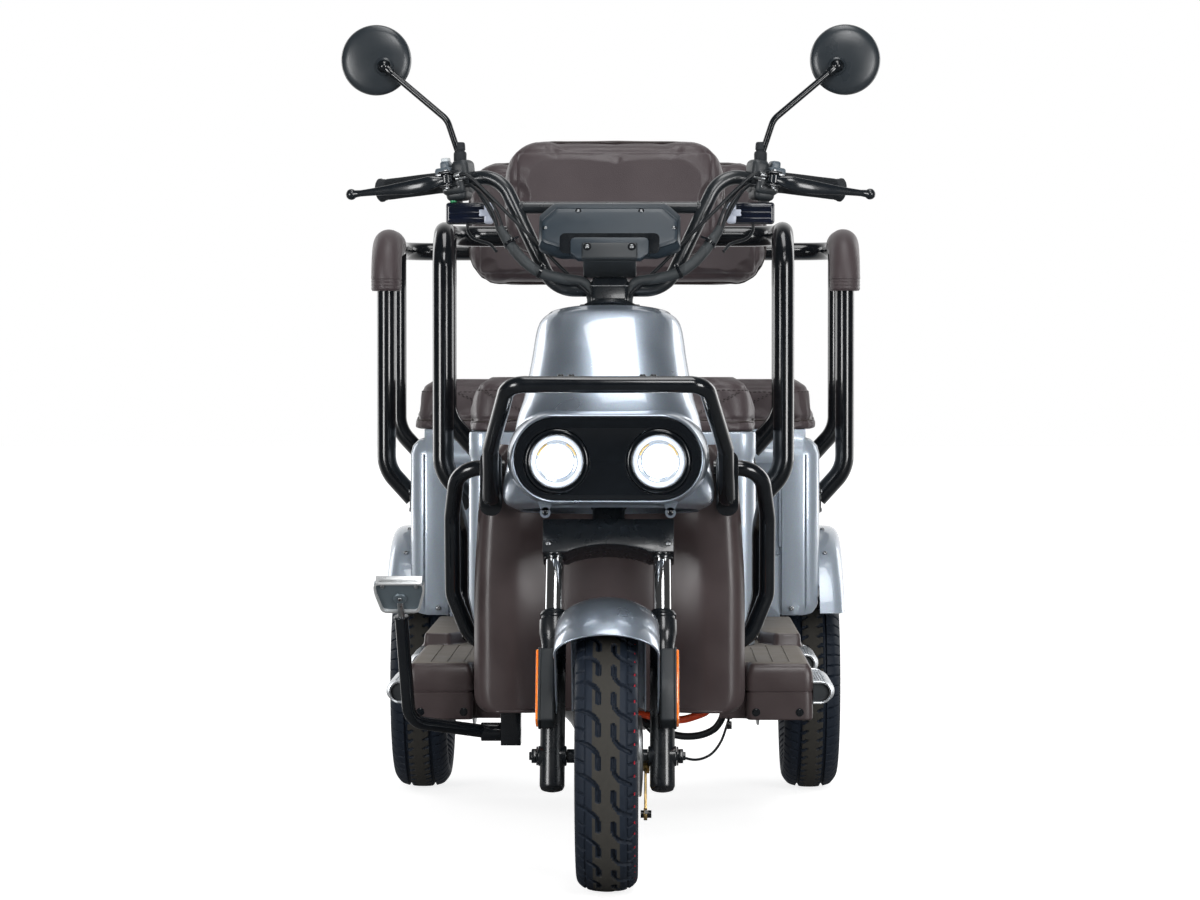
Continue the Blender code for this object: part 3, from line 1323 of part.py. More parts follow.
def both_sides(half_corners):
    """A symmetric run of corners, given from the left end to the middle."""
    return list(half_corners) + [(-x, y, z) for x, y, z in reversed(half_corners)]


def build_front_guard():
    """The bar before the lamps, with its bent legs, bolt plates and basket tabs."""
    plate_back = SHIELD_CREST_Y - 2 * (CRASH_RADIUS + GAP)
    foot_end = (GUARD_HEEL[0], plate_back - PLATE_THICKNESS / 2, GUARD_HEEL[2])
    corners = [foot_end, GUARD_HEEL, GUARD_KNEE, (GUARD_BAR_HALF, GUARD_BAR_Y, GUARD_BAR_Z)]
    guard = tube(bent_route(both_sides(corners), GUARD_BEND, 2), GUARD_RADIUS, 8)
    for side in (1, -1):
        outline = rounded_rectangle(PLATE_HALF_WIDTH * 2, PLATE_HEIGHT, PLATE_HALF_WIDTH - 0.001, 3,
                                    (side * PLATE_X, PLATE_Z))
        hole = circle(0.004, 8, (side * PLATE_X, PLATE_Z + PLATE_HEIGHT * 0.36))
        foot = upright(plate(outline, PLATE_THICKNESS, [hole]), plate_back - PLATE_THICKNESS)
        tab_x = side * BASKET_TAB_X
        tab = centred_block((tab_x, GUARD_BAR_Y + 0.018, GUARD_BAR_Z + 0.010), (0.026, 0.024, 0.003))
        bolt = rod((tab_x, GUARD_BAR_Y + 0.020, GUARD_BAR_Z + 0.009),
                   (tab_x, GUARD_BAR_Y + 0.020, GUARD_BAR_Z + 0.016), 0.005, 6, 0.003)
        fused(guard, foot, tab, bolt)
    finished("front_guard", guard, PAINT_BLACK, DATUM)


def build_crash_bars():
    """The doubled D-shaped bars beside the leg shield."""
    tube_y = SHIELD_CREST_Y - CRASH_RADIUS - GAP
    frame_face = RAIL_X + RAIL_WIDTH / 2 + GAP
    outer = [(PLATE_X - 0.020, tube_y, CRASH_TOP_Z), (CRASH_HALF - 0.012, tube_y, CRASH_TOP_Z),
             (CRASH_HALF, tube_y + 0.065, CRASH_TOP_Z - 0.075),
             (CRASH_HALF, CRASH_FOOT_Y, CRASH_FOOT_Z + 0.075),
             (CRASH_HALF - 0.030, CRASH_FOOT_Y, CRASH_FOOT_Z), (frame_face, CRASH_FOOT_Y, CRASH_FOOT_Z)]
    inner = [(CRASH_HALF - 0.004, tube_y + 0.045, CRASH_TOP_Z - 0.050),
             (CRASH_HALF - 0.010, tube_y + 0.130, CRASH_TOP_Z - 0.095),
             (CRASH_HALF - 0.010, tube_y + 0.130, CRASH_FOOT_Z + 0.070),
             (CRASH_HALF - 0.026, CRASH_FOOT_Y, CRASH_FOOT_Z + 0.010)]
    left = tube(bent_route(outer, CRASH_BEND, 3), CRASH_RADIUS, 8)
    fused(left, tube(bent_route(inner, CRASH_BEND, 2), CRASH_RADIUS, 8))
    right = side_copy(left)
    finished("crash_bar_left", left, PAINT_BLACK, DATUM)
    finished("crash_bar_right", right, PAINT_BLACK, DATUM)


def armrest_corners(x, top, front, foot, face, back):
    """Corners of an armrest frame from its left foot round the back to the middle."""
    return [(face, front, foot), (x, front, foot + (x - face) * 1.1), (x, front, top), (x, back, top)]


def armrest_frame(x, top, front, foot, face, back, radius, leg_y, leg_foot):
    """A bent tube from foot to foot round a seat's back, with a second leg on each side."""
    corners = armrest_corners(x, top, front, foot, face, back)
    frame = tube(bent_route(both_sides(corners), RAIL_BEND, 3), radius, 8)
    for side in (1, -1):
        leg_corners = [(side * face, leg_y, leg_foot), (side * x, leg_y, leg_foot + (x - face) * 1.1),
                       (side * x, leg_y, top)]
        leg = tube(bent_route(leg_corners, RAIL_BEND, 2), radius * 0.92, 8)
        mounts = [rod((side * face, y, z), (side * (face + MOUNT_THICKNESS), y, z), MOUNT_RADIUS, 10)
                  for y, z in ((front, foot), (leg_y, leg_foot))]
        fused(frame, leg, *mounts)
    trim = block((-face, front - 0.1, foot - 0.1), (face, leg_y + 0.1, leg_foot + 0.1))
    return cut(frame, trim)


def build_armrests():
    """Both armrest frames, the leather sleeves on the rear one, and the backrests."""
    driver_back = DRIVER_BACKREST_FRONT + BACKREST_DEPTH + GAP + DRIVER_RAIL_RADIUS
    rear_back = REAR_BACKREST_FRONT + BACKREST_DEPTH + GAP + REAR_RAIL_RADIUS
    driver_face = SEAT_BOX_HALF + GAP
    rear_face = BODY_HALF + GAP
    frame = armrest_frame(DRIVER_RAIL_X, DRIVER_RAIL_TOP, DRIVER_RAIL_FRONT, DRIVER_RAIL_FOOT, driver_face,
                          driver_back, DRIVER_RAIL_RADIUS, DRIVER_REAR_LEG_Y, DRIVER_REAR_LEG_FOOT)
    finished("driver_armrest_frame", frame, PAINT_BLACK, DATUM)
    frame = armrest_frame(REAR_RAIL_X, REAR_RAIL_TOP, REAR_RAIL_FRONT, REAR_RAIL_FOOT, rear_face,
                          rear_back, REAR_RAIL_RADIUS, REAR_REAR_LEG_Y, REAR_REAR_LEG_FOOT)
    finished("rear_armrest_frame", frame, PAINT_BLACK, DATUM)
    corners = [(REAR_RAIL_X, REAR_RAIL_FRONT, PAD_BOTTOM), (REAR_RAIL_X, REAR_RAIL_FRONT, REAR_RAIL_TOP),
               (REAR_RAIL_X, REAR_RAIL_FRONT + PAD_REACH, REAR_RAIL_TOP)]
    longer = [(REAR_RAIL_X, REAR_RAIL_FRONT, PAD_BOTTOM - 0.02), corners[1],
              (REAR_RAIL_X, REAR_RAIL_FRONT + PAD_REACH + 0.02, REAR_RAIL_TOP)]
    pad = tube(bent_route(corners, RAIL_BEND, 3), PAD_RADIUS, 10)
    cut(pad, tube(bent_route(longer, RAIL_BEND, 3), REAR_RAIL_RADIUS + GAP * 1.1, 8))
    right = side_copy(pad)
    finished("armrest_pad_left", pad, LEATHER_BROWN, DATUM)
    finished("armrest_pad_right", right, LEATHER_BROWN, DATUM)


# Cushions and backrests

def cushion_solid(half_x, front, back, low, top, corner=0.045):
    """A seat cushion: a lip, sides drawn in between the corners, a seam and a crowned top."""
    width = 2 * half_x
    depth = back - front
    height = top - low
    middle = (0, (front + back) / 2)
    layers = ((0.0, 0.0, 0.0), (0.14, 0.0, 0.0), (0.17, 0.005, 0.0), (0.24, 0.002, 0.002),
              (0.50, 0.001, 0.005), (0.76, 0.003, 0.003), (0.87, 0.009, 0.0), (0.94, 0.021, 0.0),
              (0.985, 0.050, 0.0), (1.0, 0.100, 0.0))
    rings = []
    for rise, inset, drawn in layers:
        radius = max(corner - inset * 0.4, 0.012)
        ring = []
        for x, y in rounded_rectangle(width - 2 * inset, depth - 2 * inset, radius, 3, middle):
            across_share = min(1.0, abs(x) / (half_x - inset))
            along_share = min(1.0, abs(y - middle[1]) / (depth / 2 - inset))
            pull = drawn * (1 - min(across_share, along_share) ** 2)
            shrink_x = 1 - pull / half_x * (across_share > 0.99)
            shrink_y = 1 - pull / (depth / 2) * (along_share > 0.99)
            ring.append((x * shrink_x, middle[1] + (y - middle[1]) * shrink_y, low + height * rise))
        rings.append(ring)
    return loft(rings)


def backrest_solid(half_x, low, high, front, corner=0.062):
    """A backrest pad: a flat back, a piped edge, sides drawn in and a crowned face."""
    width = 2 * half_x
    height = high - low
    middle = (low + high) / 2
    layers = ((1.0, 0.010), (0.92, 0.001), (0.72, 0.0), (0.66, 0.003), (0.60, 0.0), (0.38, 0.001),
              (0.18, 0.009), (0.05, 0.030), (0.0, 0.066))
    rings = []
    for depth_share, inset in layers:
        y = front + BACKREST_DEPTH * depth_share
        loop = rounded_rectangle(width - 2 * inset, height - 2 * inset, max(corner - inset * 0.5, 0.015), 3,
                                 (0, middle))
        rings.append([(x, y, z) for x, z in loop])
    return loft(rings)


def build_seats():
    """The two hinged cushions and the two backrests."""
    driver = cushion_solid(SEAT_BOX_HALF - 0.0005, SEAT_FRONT, SEAT_BACK, SEAT_BOX_TOP + GAP, SEAT_TOP)
    finished("driver_seat", driver, LEATHER_BROWN, DRIVER_SEAT_HINGE)
    rear = cushion_solid(REAR_SEAT_HALF, REAR_SEAT_FRONT, REAR_SEAT_BACK, NECK_TOP + GAP, REAR_SEAT_TOP)
    finished("rear_seat", rear, LEATHER_BROWN, REAR_SEAT_HINGE)
    driver_back = backrest_solid(DRIVER_BACKREST_HALF, DRIVER_BACKREST_LOW, DRIVER_BACKREST_HIGH,
                                 DRIVER_BACKREST_FRONT)
    finished("driver_backrest", driver_back, LEATHER_BROWN, DATUM)
    rear_back = backrest_solid(REAR_BACKREST_HALF, REAR_BACKREST_LOW, REAR_BACKREST_HIGH, REAR_BACKREST_FRONT)
    finished("rear_backrest", rear_back, LEATHER_BROWN, DATUM)


# Frame, floor and boxes

def rail_outline():
    """Side view of one frame rail: pedal bracket, upright, floor run, kick-up and rear run."""
    low = RAIL_TOP - RAIL_DEPTH
    upper_low = UPPER_RAIL_TOP - RAIL_DEPTH
    post_front = CRASH_FOOT_Y - RAIL_WIDTH / 2
    post_back = CRASH_FOOT_Y + RAIL_WIDTH / 2
    post_top = CRASH_FOOT_Z + CRASH_RADIUS + 0.006
    return [
        (RAIL_FRONT, PEDAL_BRACKET_BOTTOM), (PEDAL_PIVOT_Y + 0.019, PEDAL_BRACKET_BOTTOM),
        (PEDAL_PIVOT_Y + 0.019, low), (KICK_START, low), (KICK_END, upper_low), (RAIL_REAR, upper_low),
        (RAIL_REAR, UPPER_RAIL_TOP),
        (KICK_END - 0.018, UPPER_RAIL_TOP), (KICK_START - 0.004, RAIL_TOP), (post_back, RAIL_TOP),
        (post_back, post_top), (post_front, post_top), (post_front, RAIL_TOP), (RAIL_FRONT, RAIL_TOP)]


def build_frame():
    """The welded frame with its head tube, down tube, rails, cross members and damper rods."""
    rails = [fore_and_aft(plate(rail_outline(), RAIL_WIDTH), side * RAIL_X) for side in (1, -1)]
    reach = RAIL_X
    low = RAIL_TOP - RAIL_DEPTH
    upper_low = UPPER_RAIL_TOP - RAIL_DEPTH
    crosses = [block((-reach, y, low + 0.004), (reach, y + CROSS_DEPTH, RAIL_TOP - 0.0005))
               for y in (FLOOR_FRONT + 0.030, SEAT_BOX_FRONT + 0.010, SEAT_BOX_BACK - 0.020)]
    crosses += [block((-reach, y, upper_low + 0.004), (reach, y + CROSS_DEPTH, UPPER_RAIL_TOP - 0.0005))
                for y in (KICK_END + 0.02, RAIL_REAR - CROSS_DEPTH - 0.004)]
    head = rod((0, 0, HEAD_TUBE_BOTTOM), (0, 0, HEAD_TUBE_TOP), HEAD_TUBE_RADIUS, 12)
    transformed(head, fork_frame())
    neck_low = fork_frame() @ Vector((0, 0, HEAD_TUBE_BOTTOM + 0.075))
    down = tube(bent_route([neck_low, (0, 0.332, 0.470), (0, FLOOR_FRONT + 0.046, RAIL_TOP - 0.02)], 0.07, 4),
                DOWN_TUBE_RADIUS, 8)
    damper_y = WHEELBASE + DAMPER_SET_BACK
    outrigger = block((-DAMPER_X - 0.026, damper_y - 0.024, SPRING_TOP),
                      (DAMPER_X + 0.026, damper_y + 0.024, UPPER_RAIL_TOP - 0.001))
    rods = [rod((side * DAMPER_X, damper_y, DAMPER_ROD_BOTTOM),
                (side * DAMPER_X, damper_y, SPRING_TOP + 0.01), DAMPER_ROD_RADIUS, 8) for side in (1, -1)]
    frame = fused(rails[0], *crosses, rails[1], head, down, outrigger, *rods)
    bore = rod((0, 0, HEAD_TUBE_BOTTOM - 0.01), (0, 0, HEAD_TUBE_TOP + 0.01), HEAD_TUBE_BORE, 12)
    pin_hole = rod((-RAIL_X - RAIL_WIDTH, PEDAL_PIVOT_Y, PEDAL_PIVOT_Z),
                   (-RAIL_X + RAIL_WIDTH, PEDAL_PIVOT_Y, PEDAL_PIVOT_Z), PEDAL_PIN_RADIUS + RUNNING_GAP, 12)
    cut(frame, transformed(bore, fork_frame()), pin_hole)
    finished("main_frame", frame, PAINT_BLACK, DATUM)


def build_floor():
    """The moulded foot board with its raised rear corners and its hollow underside."""
    shield_edge = SHIELD_HALF_WIDTH + 0.0035
    centre_front = FLOOR_FRONT + 0.025
    outline = [(shield_edge, centre_front), (shield_edge, FLOOR_FRONT), (FLOOR_HALF, FLOOR_FRONT),
               (FLOOR_HALF, FLOOR_BACK), (-FLOOR_HALF, FLOOR_BACK), (-FLOOR_HALF, FLOOR_FRONT),
               (-shield_edge, FLOOR_FRONT), (-shield_edge, centre_front)]
    tray = shifted(plate(outline, FLOOR_TOP - FLOOR_BOTTOM), 0, 0, (FLOOR_TOP + FLOOR_BOTTOM) / 2)
    rounding = tray.modifiers.new("edges", "BEVEL")
    rounding.width = 0.005
    rounding.segments = 1
    rounding.limit_method = "ANGLE"
    rounding.angle_limit = math.radians(60)
    apply_modifiers(tray)
    for side in (1, -1):
        inner = side * (SEAT_BOX_HALF + RAISE_CLEARANCE)
        outer = side * (FLOOR_HALF - FLOOR_WALL)
        raised = [(inner, SEAT_BOX_FRONT + 0.070), (inner + side * 0.022, SEAT_BOX_FRONT + 0.020),
                  (outer, SEAT_BOX_FRONT + 0.020), (outer, FLOOR_BACK - 0.01), (inner, FLOOR_BACK - 0.01)]
        step = shifted(plate(raised, FLOOR_RAISE + 0.01), 0, 0, FLOOR_TOP + FLOOR_RAISE / 2 - 0.005)
        fused(tray, step)
    wall = FLOOR_WALL
    hollow = block((-FLOOR_HALF + wall, centre_front + wall, FLOOR_BOTTOM - 0.02),
                   (FLOOR_HALF - wall, FLOOR_BACK - wall, FLOOR_TOP - wall))
    inner_edge = shield_edge + wall
    outer_edge = FLOOR_HALF - wall
    wing = [block((low_x, FLOOR_FRONT + wall, FLOOR_BOTTOM - 0.02),
                  (high_x, centre_front + 0.02, FLOOR_TOP - wall))
            for low_x, high_x in ((inner_edge, outer_edge), (-outer_edge, -inner_edge))]
    notch = RAIL_X + RAIL_WIDTH / 2 + 0.006
    mouth_top = FLOOR_TOP - wall - 0.0001
    mouths = [block((-notch, start, FLOOR_BOTTOM - 0.02), (notch, start + 0.05, mouth_top))
              for start in (centre_front - 0.02, FLOOR_BACK - 0.03)]
    drain_z = FLOOR_BOTTOM + 0.012
    drains = [rod((side * x, FLOOR_FRONT - 0.01, drain_z), (side * x, FLOOR_FRONT + 0.02, drain_z), 0.0035, 8)
              for side in (1, -1) for x in (0.222, 0.288)]
    tube_slot = block((-SHIELD_SLOT_HALF, centre_front - 0.02, FLOOR_TOP - 0.03),
                      (SHIELD_SLOT_HALF, centre_front + 0.048, FLOOR_TOP + 0.02))
    cut(tray, hollow, *wing, *mouths, tube_slot, *drains)
    finished("foot_board", tray, PLASTIC_BROWN, DATUM)


def step_solid(front, back):
    """A side step: a D-shaped strip whose ends curve in to the foot board."""
    face = FLOOR_HALF + GAP
    out = face + STEP_WIDTH
    outline = [(face, front), (out - 0.012, front + 0.012), (out, front + 0.040), (out, back - 0.040),
               (out - 0.012, back - 0.012), (face, back)]
    strip = plate(outline, STEP_HIGH - STEP_LOW)
    shifted(strip, 0, 0, (STEP_LOW + STEP_HIGH) / 2)
    rounding = strip.modifiers.new("edges", "BEVEL")
    rounding.width = 0.009
    rounding.segments = 1
    rounding.limit_method = "ANGLE"
    rounding.angle_limit = math.radians(60)
    return apply_modifiers(strip)


def build_steps():
    """Two side steps on each side of the foot board."""
    for word, (front, back) in (("front", FRONT_STEP), ("rear", REAR_STEP)):
        strip = step_solid(front, back)
        finished(f"side_step_{word}_right", side_copy(strip), METAL_ALUMINIUM, DATUM)
        finished(f"side_step_{word}_left", strip, METAL_ALUMINIUM, DATUM)


def open_box(low, high, wall, corner):
    """A box open at its top, with rounded upright edges."""
    width = high[0] - low[0]
    depth = high[1] - low[1]
    middle = ((low[0] + high[0]) / 2, (low[1] + high[1]) / 2)
    outer = plate(rounded_rectangle(width, depth, corner, 3, middle), high[2] - low[2])
    shifted(outer, 0, 0, (low[2] + high[2]) / 2)
    inner = plate(rounded_rectangle(width - 2 * wall, depth - 2 * wall, corner - wall, 3, middle),
                  high[2] - low[2])
    shifted(inner, 0, 0, (low[2] + high[2]) / 2 + wall)
    return cut(outer, inner)


def build_seat_box():
    """The driver's seat box, with the battery standing in it."""
    bottom = FLOOR_TOP + GAP
    box = open_box((-SEAT_BOX_HALF, SEAT_BOX_FRONT, bottom), (SEAT_BOX_HALF, SEAT_BOX_BACK, SEAT_BOX_TOP),
                   SEAT_BOX_WALL, 0.028)
    finished("seat_box", box, PAINT_SILVER, DATUM)
    middle_y = (SEAT_BOX_FRONT + SEAT_BOX_BACK) / 2
    floor = bottom + SEAT_BOX_WALL + GAP
    battery = centred_block((0, middle_y, floor + BATTERY_SIZE[2] / 2), BATTERY_SIZE, 0.008, 2)
    handle = tube(bent_route([(-0.06, middle_y, floor + BATTERY_SIZE[2] - 0.01),
                              (-0.06, middle_y, floor + BATTERY_SIZE[2] + 0.03),
                              (0.06, middle_y, floor + BATTERY_SIZE[2] + 0.03),
                              (0.06, middle_y, floor + BATTERY_SIZE[2] - 0.01)], 0.018, 2), 0.007, 6)
    finished("battery_pack", fused(battery, handle), PLASTIC_BLACK, DATUM)


def build_rear_body():
    """The rear body shell with its trunk, wheel wells, axle tunnel and front panels."""
    body = block((-BODY_HALF, BODY_FRONT, BODY_LOW), (BODY_HALF, REAR_END, BODY_TOP), BODY_CORNER, 3)
    neck = block((-NECK_HALF, BODY_FRONT + 0.012, BODY_TOP - 0.04), (NECK_HALF, REAR_SEAT_BACK, NECK_TOP))
    fused(body, neck)
    trunk_front = BODY_FRONT + 0.030
    trunk_back = REAR_SEAT_BACK - SHELL_WALL
    well_z = REAR_AXLE_Z + WHEEL_CENTRE_RISE
    roof = UPPER_RAIL_TOP + GAP
    trunk = block((-TRUNK_HALF, trunk_front, TRUNK_FLOOR), (TRUNK_HALF, trunk_back, NECK_TOP + 0.02))
    shoulder = NECK_HALF - SHELL_WALL
    upper_trunk = block((-shoulder, trunk_front, well_z + WHEEL_WELL_RADIUS + SHELL_WALL),
                        (shoulder, trunk_back, NECK_TOP + 0.02))
    tail = block((SHELL_WALL - BODY_HALF, REAR_SEAT_BACK, BODY_LOW - 0.02),
                 (BODY_HALF - SHELL_WALL, REAR_END - SHELL_WALL, BODY_TOP - SHELL_WALL), BODY_CORNER / 2, 2)
    tunnel = block((0.003 - TRUNK_HALF, trunk_front, BODY_LOW - 0.02),
                   (TRUNK_HALF - 0.003, REAR_END - 0.05, roof))
    mouth = block((-0.20, BODY_FRONT - 0.02, BODY_LOW - 0.02), (0.20, BODY_FRONT + 0.05, roof))
    well_end = BODY_HALF + REAR_TYRE_WIDTH
    wells = [rod((side * WHEEL_WELL_X, WHEELBASE, well_z), (side * well_end, WHEELBASE, well_z),
                 WHEEL_WELL_RADIUS, 24) for side in (1, -1)]
    face_cut = block((-PANEL_EDGE, BODY_FRONT - 0.01, BODY_LOW - 0.01),
                     (PANEL_EDGE, BODY_FRONT + 0.010, BODY_TOP - 0.045))
    seams = [block((-PANEL_EDGE, BODY_FRONT, PANEL_SEAM_Z),
                   (PANEL_EDGE, BODY_FRONT + 0.014, PANEL_SEAM_Z + 0.0025))]
    for side in (1, -1):
        seams.append(block((side * NECK_HALF - 0.0015, BODY_FRONT - 0.01, BODY_LOW - 0.01),
                           (side * NECK_HALF + 0.0015, BODY_FRONT + 0.006, BODY_TOP - 0.03)))
    cut(body, trunk, upper_trunk, tail, tunnel, mouth, *wells, face_cut, *seams)
    finished("rear_body", body, PAINT_SILVER, DATUM)
    width, depth, height = CONTROLLER_SIZE
    floor = TRUNK_FLOOR + GAP
    centre_y = BODY_FRONT + 0.030 + 0.03 + depth / 2
    controller = block((-width / 2, centre_y - depth / 2, floor),
                       (width / 2, centre_y + depth / 2, floor + height * 0.7), 0.003, 1)
    pitch = width / CONTROLLER_FINS
    fins = [block((-width / 2 + pitch * (i + 0.3), centre_y - depth / 2 + 0.004, floor + height * 0.6),
                  (-width / 2 + pitch * (i + 0.7), centre_y + depth / 2 - 0.004, floor + height))
            for i in range(CONTROLLER_FINS)]
    finished("motor_controller", fused(controller, *fins), METAL_ALUMINIUM, DATUM)


def build_rear_fenders():
    """The arched rear fenders, rounded over on their outer edge."""
    angles = [-64 + 128 * i / 11 for i in range(12)]
    face = BODY_HALF + GAP
    width = REAR_FENDER_X - face
    section = ((0.0, 0.0), (0.60, 0.0), (0.90, 0.010), (1.0, 0.040))
    rows = []
    for angle in angles:
        turn = math.radians(angle)
        row = []
        for u, drop in section:
            radius = REAR_FENDER_RADIUS - drop
            row.append((face + width * u, WHEELBASE + radius * math.sin(turn), REAR_AXLE_Z + WHEEL_CENTRE_RISE
                        + radius * math.cos(turn)))
        rows.append(row)
    sheet = skin(rows)
    middle = sheet.data.polygons[len(sheet.data.polygons) // 2]
    left = walled(sheet, REAR_FENDER_WALL, -1 if middle.normal.z > 0 else 1)
    right = side_copy(left)
    finished("rear_fender_left", left, PAINT_SILVER, DATUM)
    finished("rear_fender_right", right, PAINT_SILVER, DATUM)


# Rear axle, springs and brake pedal

def build_rear_axle():
    """The axle housing with its motor, brake plates and damper tubes."""
    axis = Matrix.Translation((0, WHEELBASE, REAR_AXLE_Z)) @ Matrix.Rotation(math.radians(90), 4, "Y")
    bell = MOTOR_HALF + 0.035
    profile = [(0, AXLE_TUBE_HALF), (AXLE_TUBE_RADIUS, AXLE_TUBE_HALF), (AXLE_TUBE_RADIUS, bell + 0.02),
               (0.055, bell), (MOTOR_RADIUS, MOTOR_HALF), (MOTOR_RADIUS, -MOTOR_HALF), (0.055, -bell),
               (AXLE_TUBE_RADIUS, -bell - 0.02), (AXLE_TUBE_RADIUS, -AXLE_TUBE_HALF), (0, -AXLE_TUBE_HALF)]
    housing = transformed(turned(profile, 14), axis)
    damper_y = WHEELBASE + DAMPER_SET_BACK
    for side in (1, -1):
        inboard = side * (AXLE_TUBE_HALF - 0.012)
        backing = rod((inboard, WHEELBASE, REAR_AXLE_Z), (inboard + side * 0.006, WHEELBASE, REAR_AXLE_Z),
                      BACKING_PLATE_RADIUS, 14)
        arm = block((side * DAMPER_X - 0.012, WHEELBASE, REAR_AXLE_Z - 0.014),
                    (side * DAMPER_X + 0.012, damper_y + 0.006, REAR_AXLE_Z + 0.014))
        damper_x = side * DAMPER_X
        damper = rod((damper_x, damper_y, REAR_AXLE_Z - 0.010), (damper_x, damper_y, DAMPER_TOP),
                     DAMPER_RADIUS, 8)
        seat = rod((damper_x, damper_y, SPRING_SEAT - 0.006), (damper_x, damper_y, SPRING_SEAT),
                   SPRING_RADIUS + 0.006, 8)
        fused(housing, backing, arm, damper, seat)
        bore = rod((damper_x, damper_y, REAR_AXLE_Z + 0.012), (damper_x, damper_y, DAMPER_TOP + 0.01),
                   DAMPER_BORE, 8)
        shaft_bore = rod((side * (AXLE_TUBE_HALF - 0.06), WHEELBASE, REAR_AXLE_Z),
                         (side * (AXLE_TUBE_HALF + 0.01), WHEELBASE, REAR_AXLE_Z), HALF_SHAFT_BORE, 12)
        cut(housing, bore, shaft_bore)
    finished("rear_axle", housing, PAINT_BLACK, REAR_SLIDE)


def spring_route():
    """A coil's centre line: flat half turns on the seats and an even pitch between them."""
    low = SPRING_SEAT + GAP + SPRING_WIRE
    high = SPRING_TOP - GAP - SPRING_WIRE
    count = SPRING_TURNS * SPRING_POINTS
    dead = SPRING_POINTS // 2
    route = []
    for i in range(count + 1):
        turn = 2 * math.pi * i / SPRING_POINTS
        share = min(max((i - dead) / (count - 2 * dead), 0.0), 1.0)
        route.append(Vector((SPRING_RADIUS * math.cos(turn), SPRING_RADIUS * math.sin(turn),
                             low + (high - low) * share)))
    return route


def least_coil_gap(route):
    """Least clear space between neighbouring turns of the coil, measured on its points."""
    gaps = [(route[i] - route[j]).length - 2 * SPRING_WIRE
            for i in range(len(route)) for j in range(i + SPRING_POINTS - 2, len(route))]
    return min(gaps)


def build_springs():
    """The suspension springs around the damper tubes."""
    route = spring_route()
    print(f"least gap between spring turns: {least_coil_gap(route) * 1000:.2f} mm")
    spring = tube(route, SPRING_WIRE, 6)
    shifted(spring, DAMPER_X, WHEELBASE + DAMPER_SET_BACK, 0)
    right = side_copy(spring)
    finished("rear_spring_left", spring, METAL_STEEL, DATUM)
    finished("rear_spring_right", right, METAL_STEEL, DATUM)


def build_pedal():
    """The brake pedal: pivot pin, bent arm and tilted foot plate with its rim."""
    bracket_face = RAIL_X + RAIL_WIDTH / 2 + GAP
    sleeve_end = bracket_face + 0.030
    arm_corners = [(-sleeve_end + 0.008, PEDAL_PIVOT_Y, PEDAL_PIVOT_Z), (-PEDAL_X + 0.010, 0.215, 0.221),
                   (-PEDAL_X, PEDAL_Y + 0.012, PEDAL_Z - 0.012)]
    arm = tube(bent_route(arm_corners, 0.035, 4), PEDAL_ARM_RADIUS, 8)
    outer_end = (-sleeve_end, PEDAL_PIVOT_Y, PEDAL_PIVOT_Z)
    sleeve = rod((-bracket_face, PEDAL_PIVOT_Y, PEDAL_PIVOT_Z), outer_end, 0.014, 10)
    pin = rod((-bracket_face + 0.024, PEDAL_PIVOT_Y, PEDAL_PIVOT_Z), outer_end, PEDAL_PIN_RADIUS, 8)
    half_w = PEDAL_WIDTH / 2
    half_d = PEDAL_DEPTH / 2
    outline = [(half_w, -half_d), (half_w, half_d * 0.2), (half_w * 0.72, half_d), (-half_w * 0.72, half_d),
               (-half_w, half_d * 0.2), (-half_w, -half_d)]
    pad = plate(outline, PEDAL_THICKNESS)
    recess = shifted(plate([(x * 0.9, y * 0.88) for x, y in outline], PEDAL_THICKNESS),
                     0, 0, PEDAL_THICKNESS * 0.5)
    cut(pad, recess)
    place = Matrix.Translation((-PEDAL_X, PEDAL_Y, PEDAL_Z)) @ Matrix.Rotation(-PEDAL_TILT, 4, "X")
    transformed(pad, place)
    fused(arm, sleeve, pin, pad)
    finished("brake_pedal", arm, PAINT_BLACK, PEDAL_PIVOT)


build_wheels()
build_lower_legs()
build_front_axle()
build_front_fender()
build_upper_fork()
build_handlebar()
build_grips()
build_controls()
build_dash()
build_looms()
build_cowl()
build_lamps()
build_shield()
build_inner_panel()
build_front_guard()
build_crash_bars()
build_armrests()
build_seats()
build_frame()
build_floor()
build_steps()
build_seat_box()
build_rear_body()
build_rear_fenders()
build_rear_axle()
build_springs()
build_pedal()
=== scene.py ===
"""The electric tricycle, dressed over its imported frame.

Metres, +Z up, nose towards -Y, the rider's left side towards +X. Lengths along Y are measured
back from the front axle, and DATUM_Y moves each finished piece into the world.
"""

import logging
import math
from dataclasses import dataclass
from enum import Enum
from typing import Callable, Sequence

import bmesh
import bpy
import numpy as np
from mathutils import Matrix, Vector
from mathutils.bvhtree import BVHTree


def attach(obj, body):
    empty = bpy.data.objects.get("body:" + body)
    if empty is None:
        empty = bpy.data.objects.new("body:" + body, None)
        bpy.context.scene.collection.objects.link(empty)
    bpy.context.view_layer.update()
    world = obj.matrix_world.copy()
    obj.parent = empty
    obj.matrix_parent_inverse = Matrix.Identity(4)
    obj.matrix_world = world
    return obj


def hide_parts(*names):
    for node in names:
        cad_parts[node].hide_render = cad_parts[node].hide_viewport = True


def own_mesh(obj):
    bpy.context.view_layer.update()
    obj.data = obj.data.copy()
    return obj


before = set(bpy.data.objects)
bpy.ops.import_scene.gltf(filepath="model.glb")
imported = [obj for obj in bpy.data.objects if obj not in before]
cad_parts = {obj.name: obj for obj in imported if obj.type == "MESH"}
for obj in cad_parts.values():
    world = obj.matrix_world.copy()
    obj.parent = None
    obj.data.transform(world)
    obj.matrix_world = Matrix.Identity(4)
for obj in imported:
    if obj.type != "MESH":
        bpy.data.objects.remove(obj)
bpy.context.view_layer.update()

LOG = logging.getLogger("tricycle")

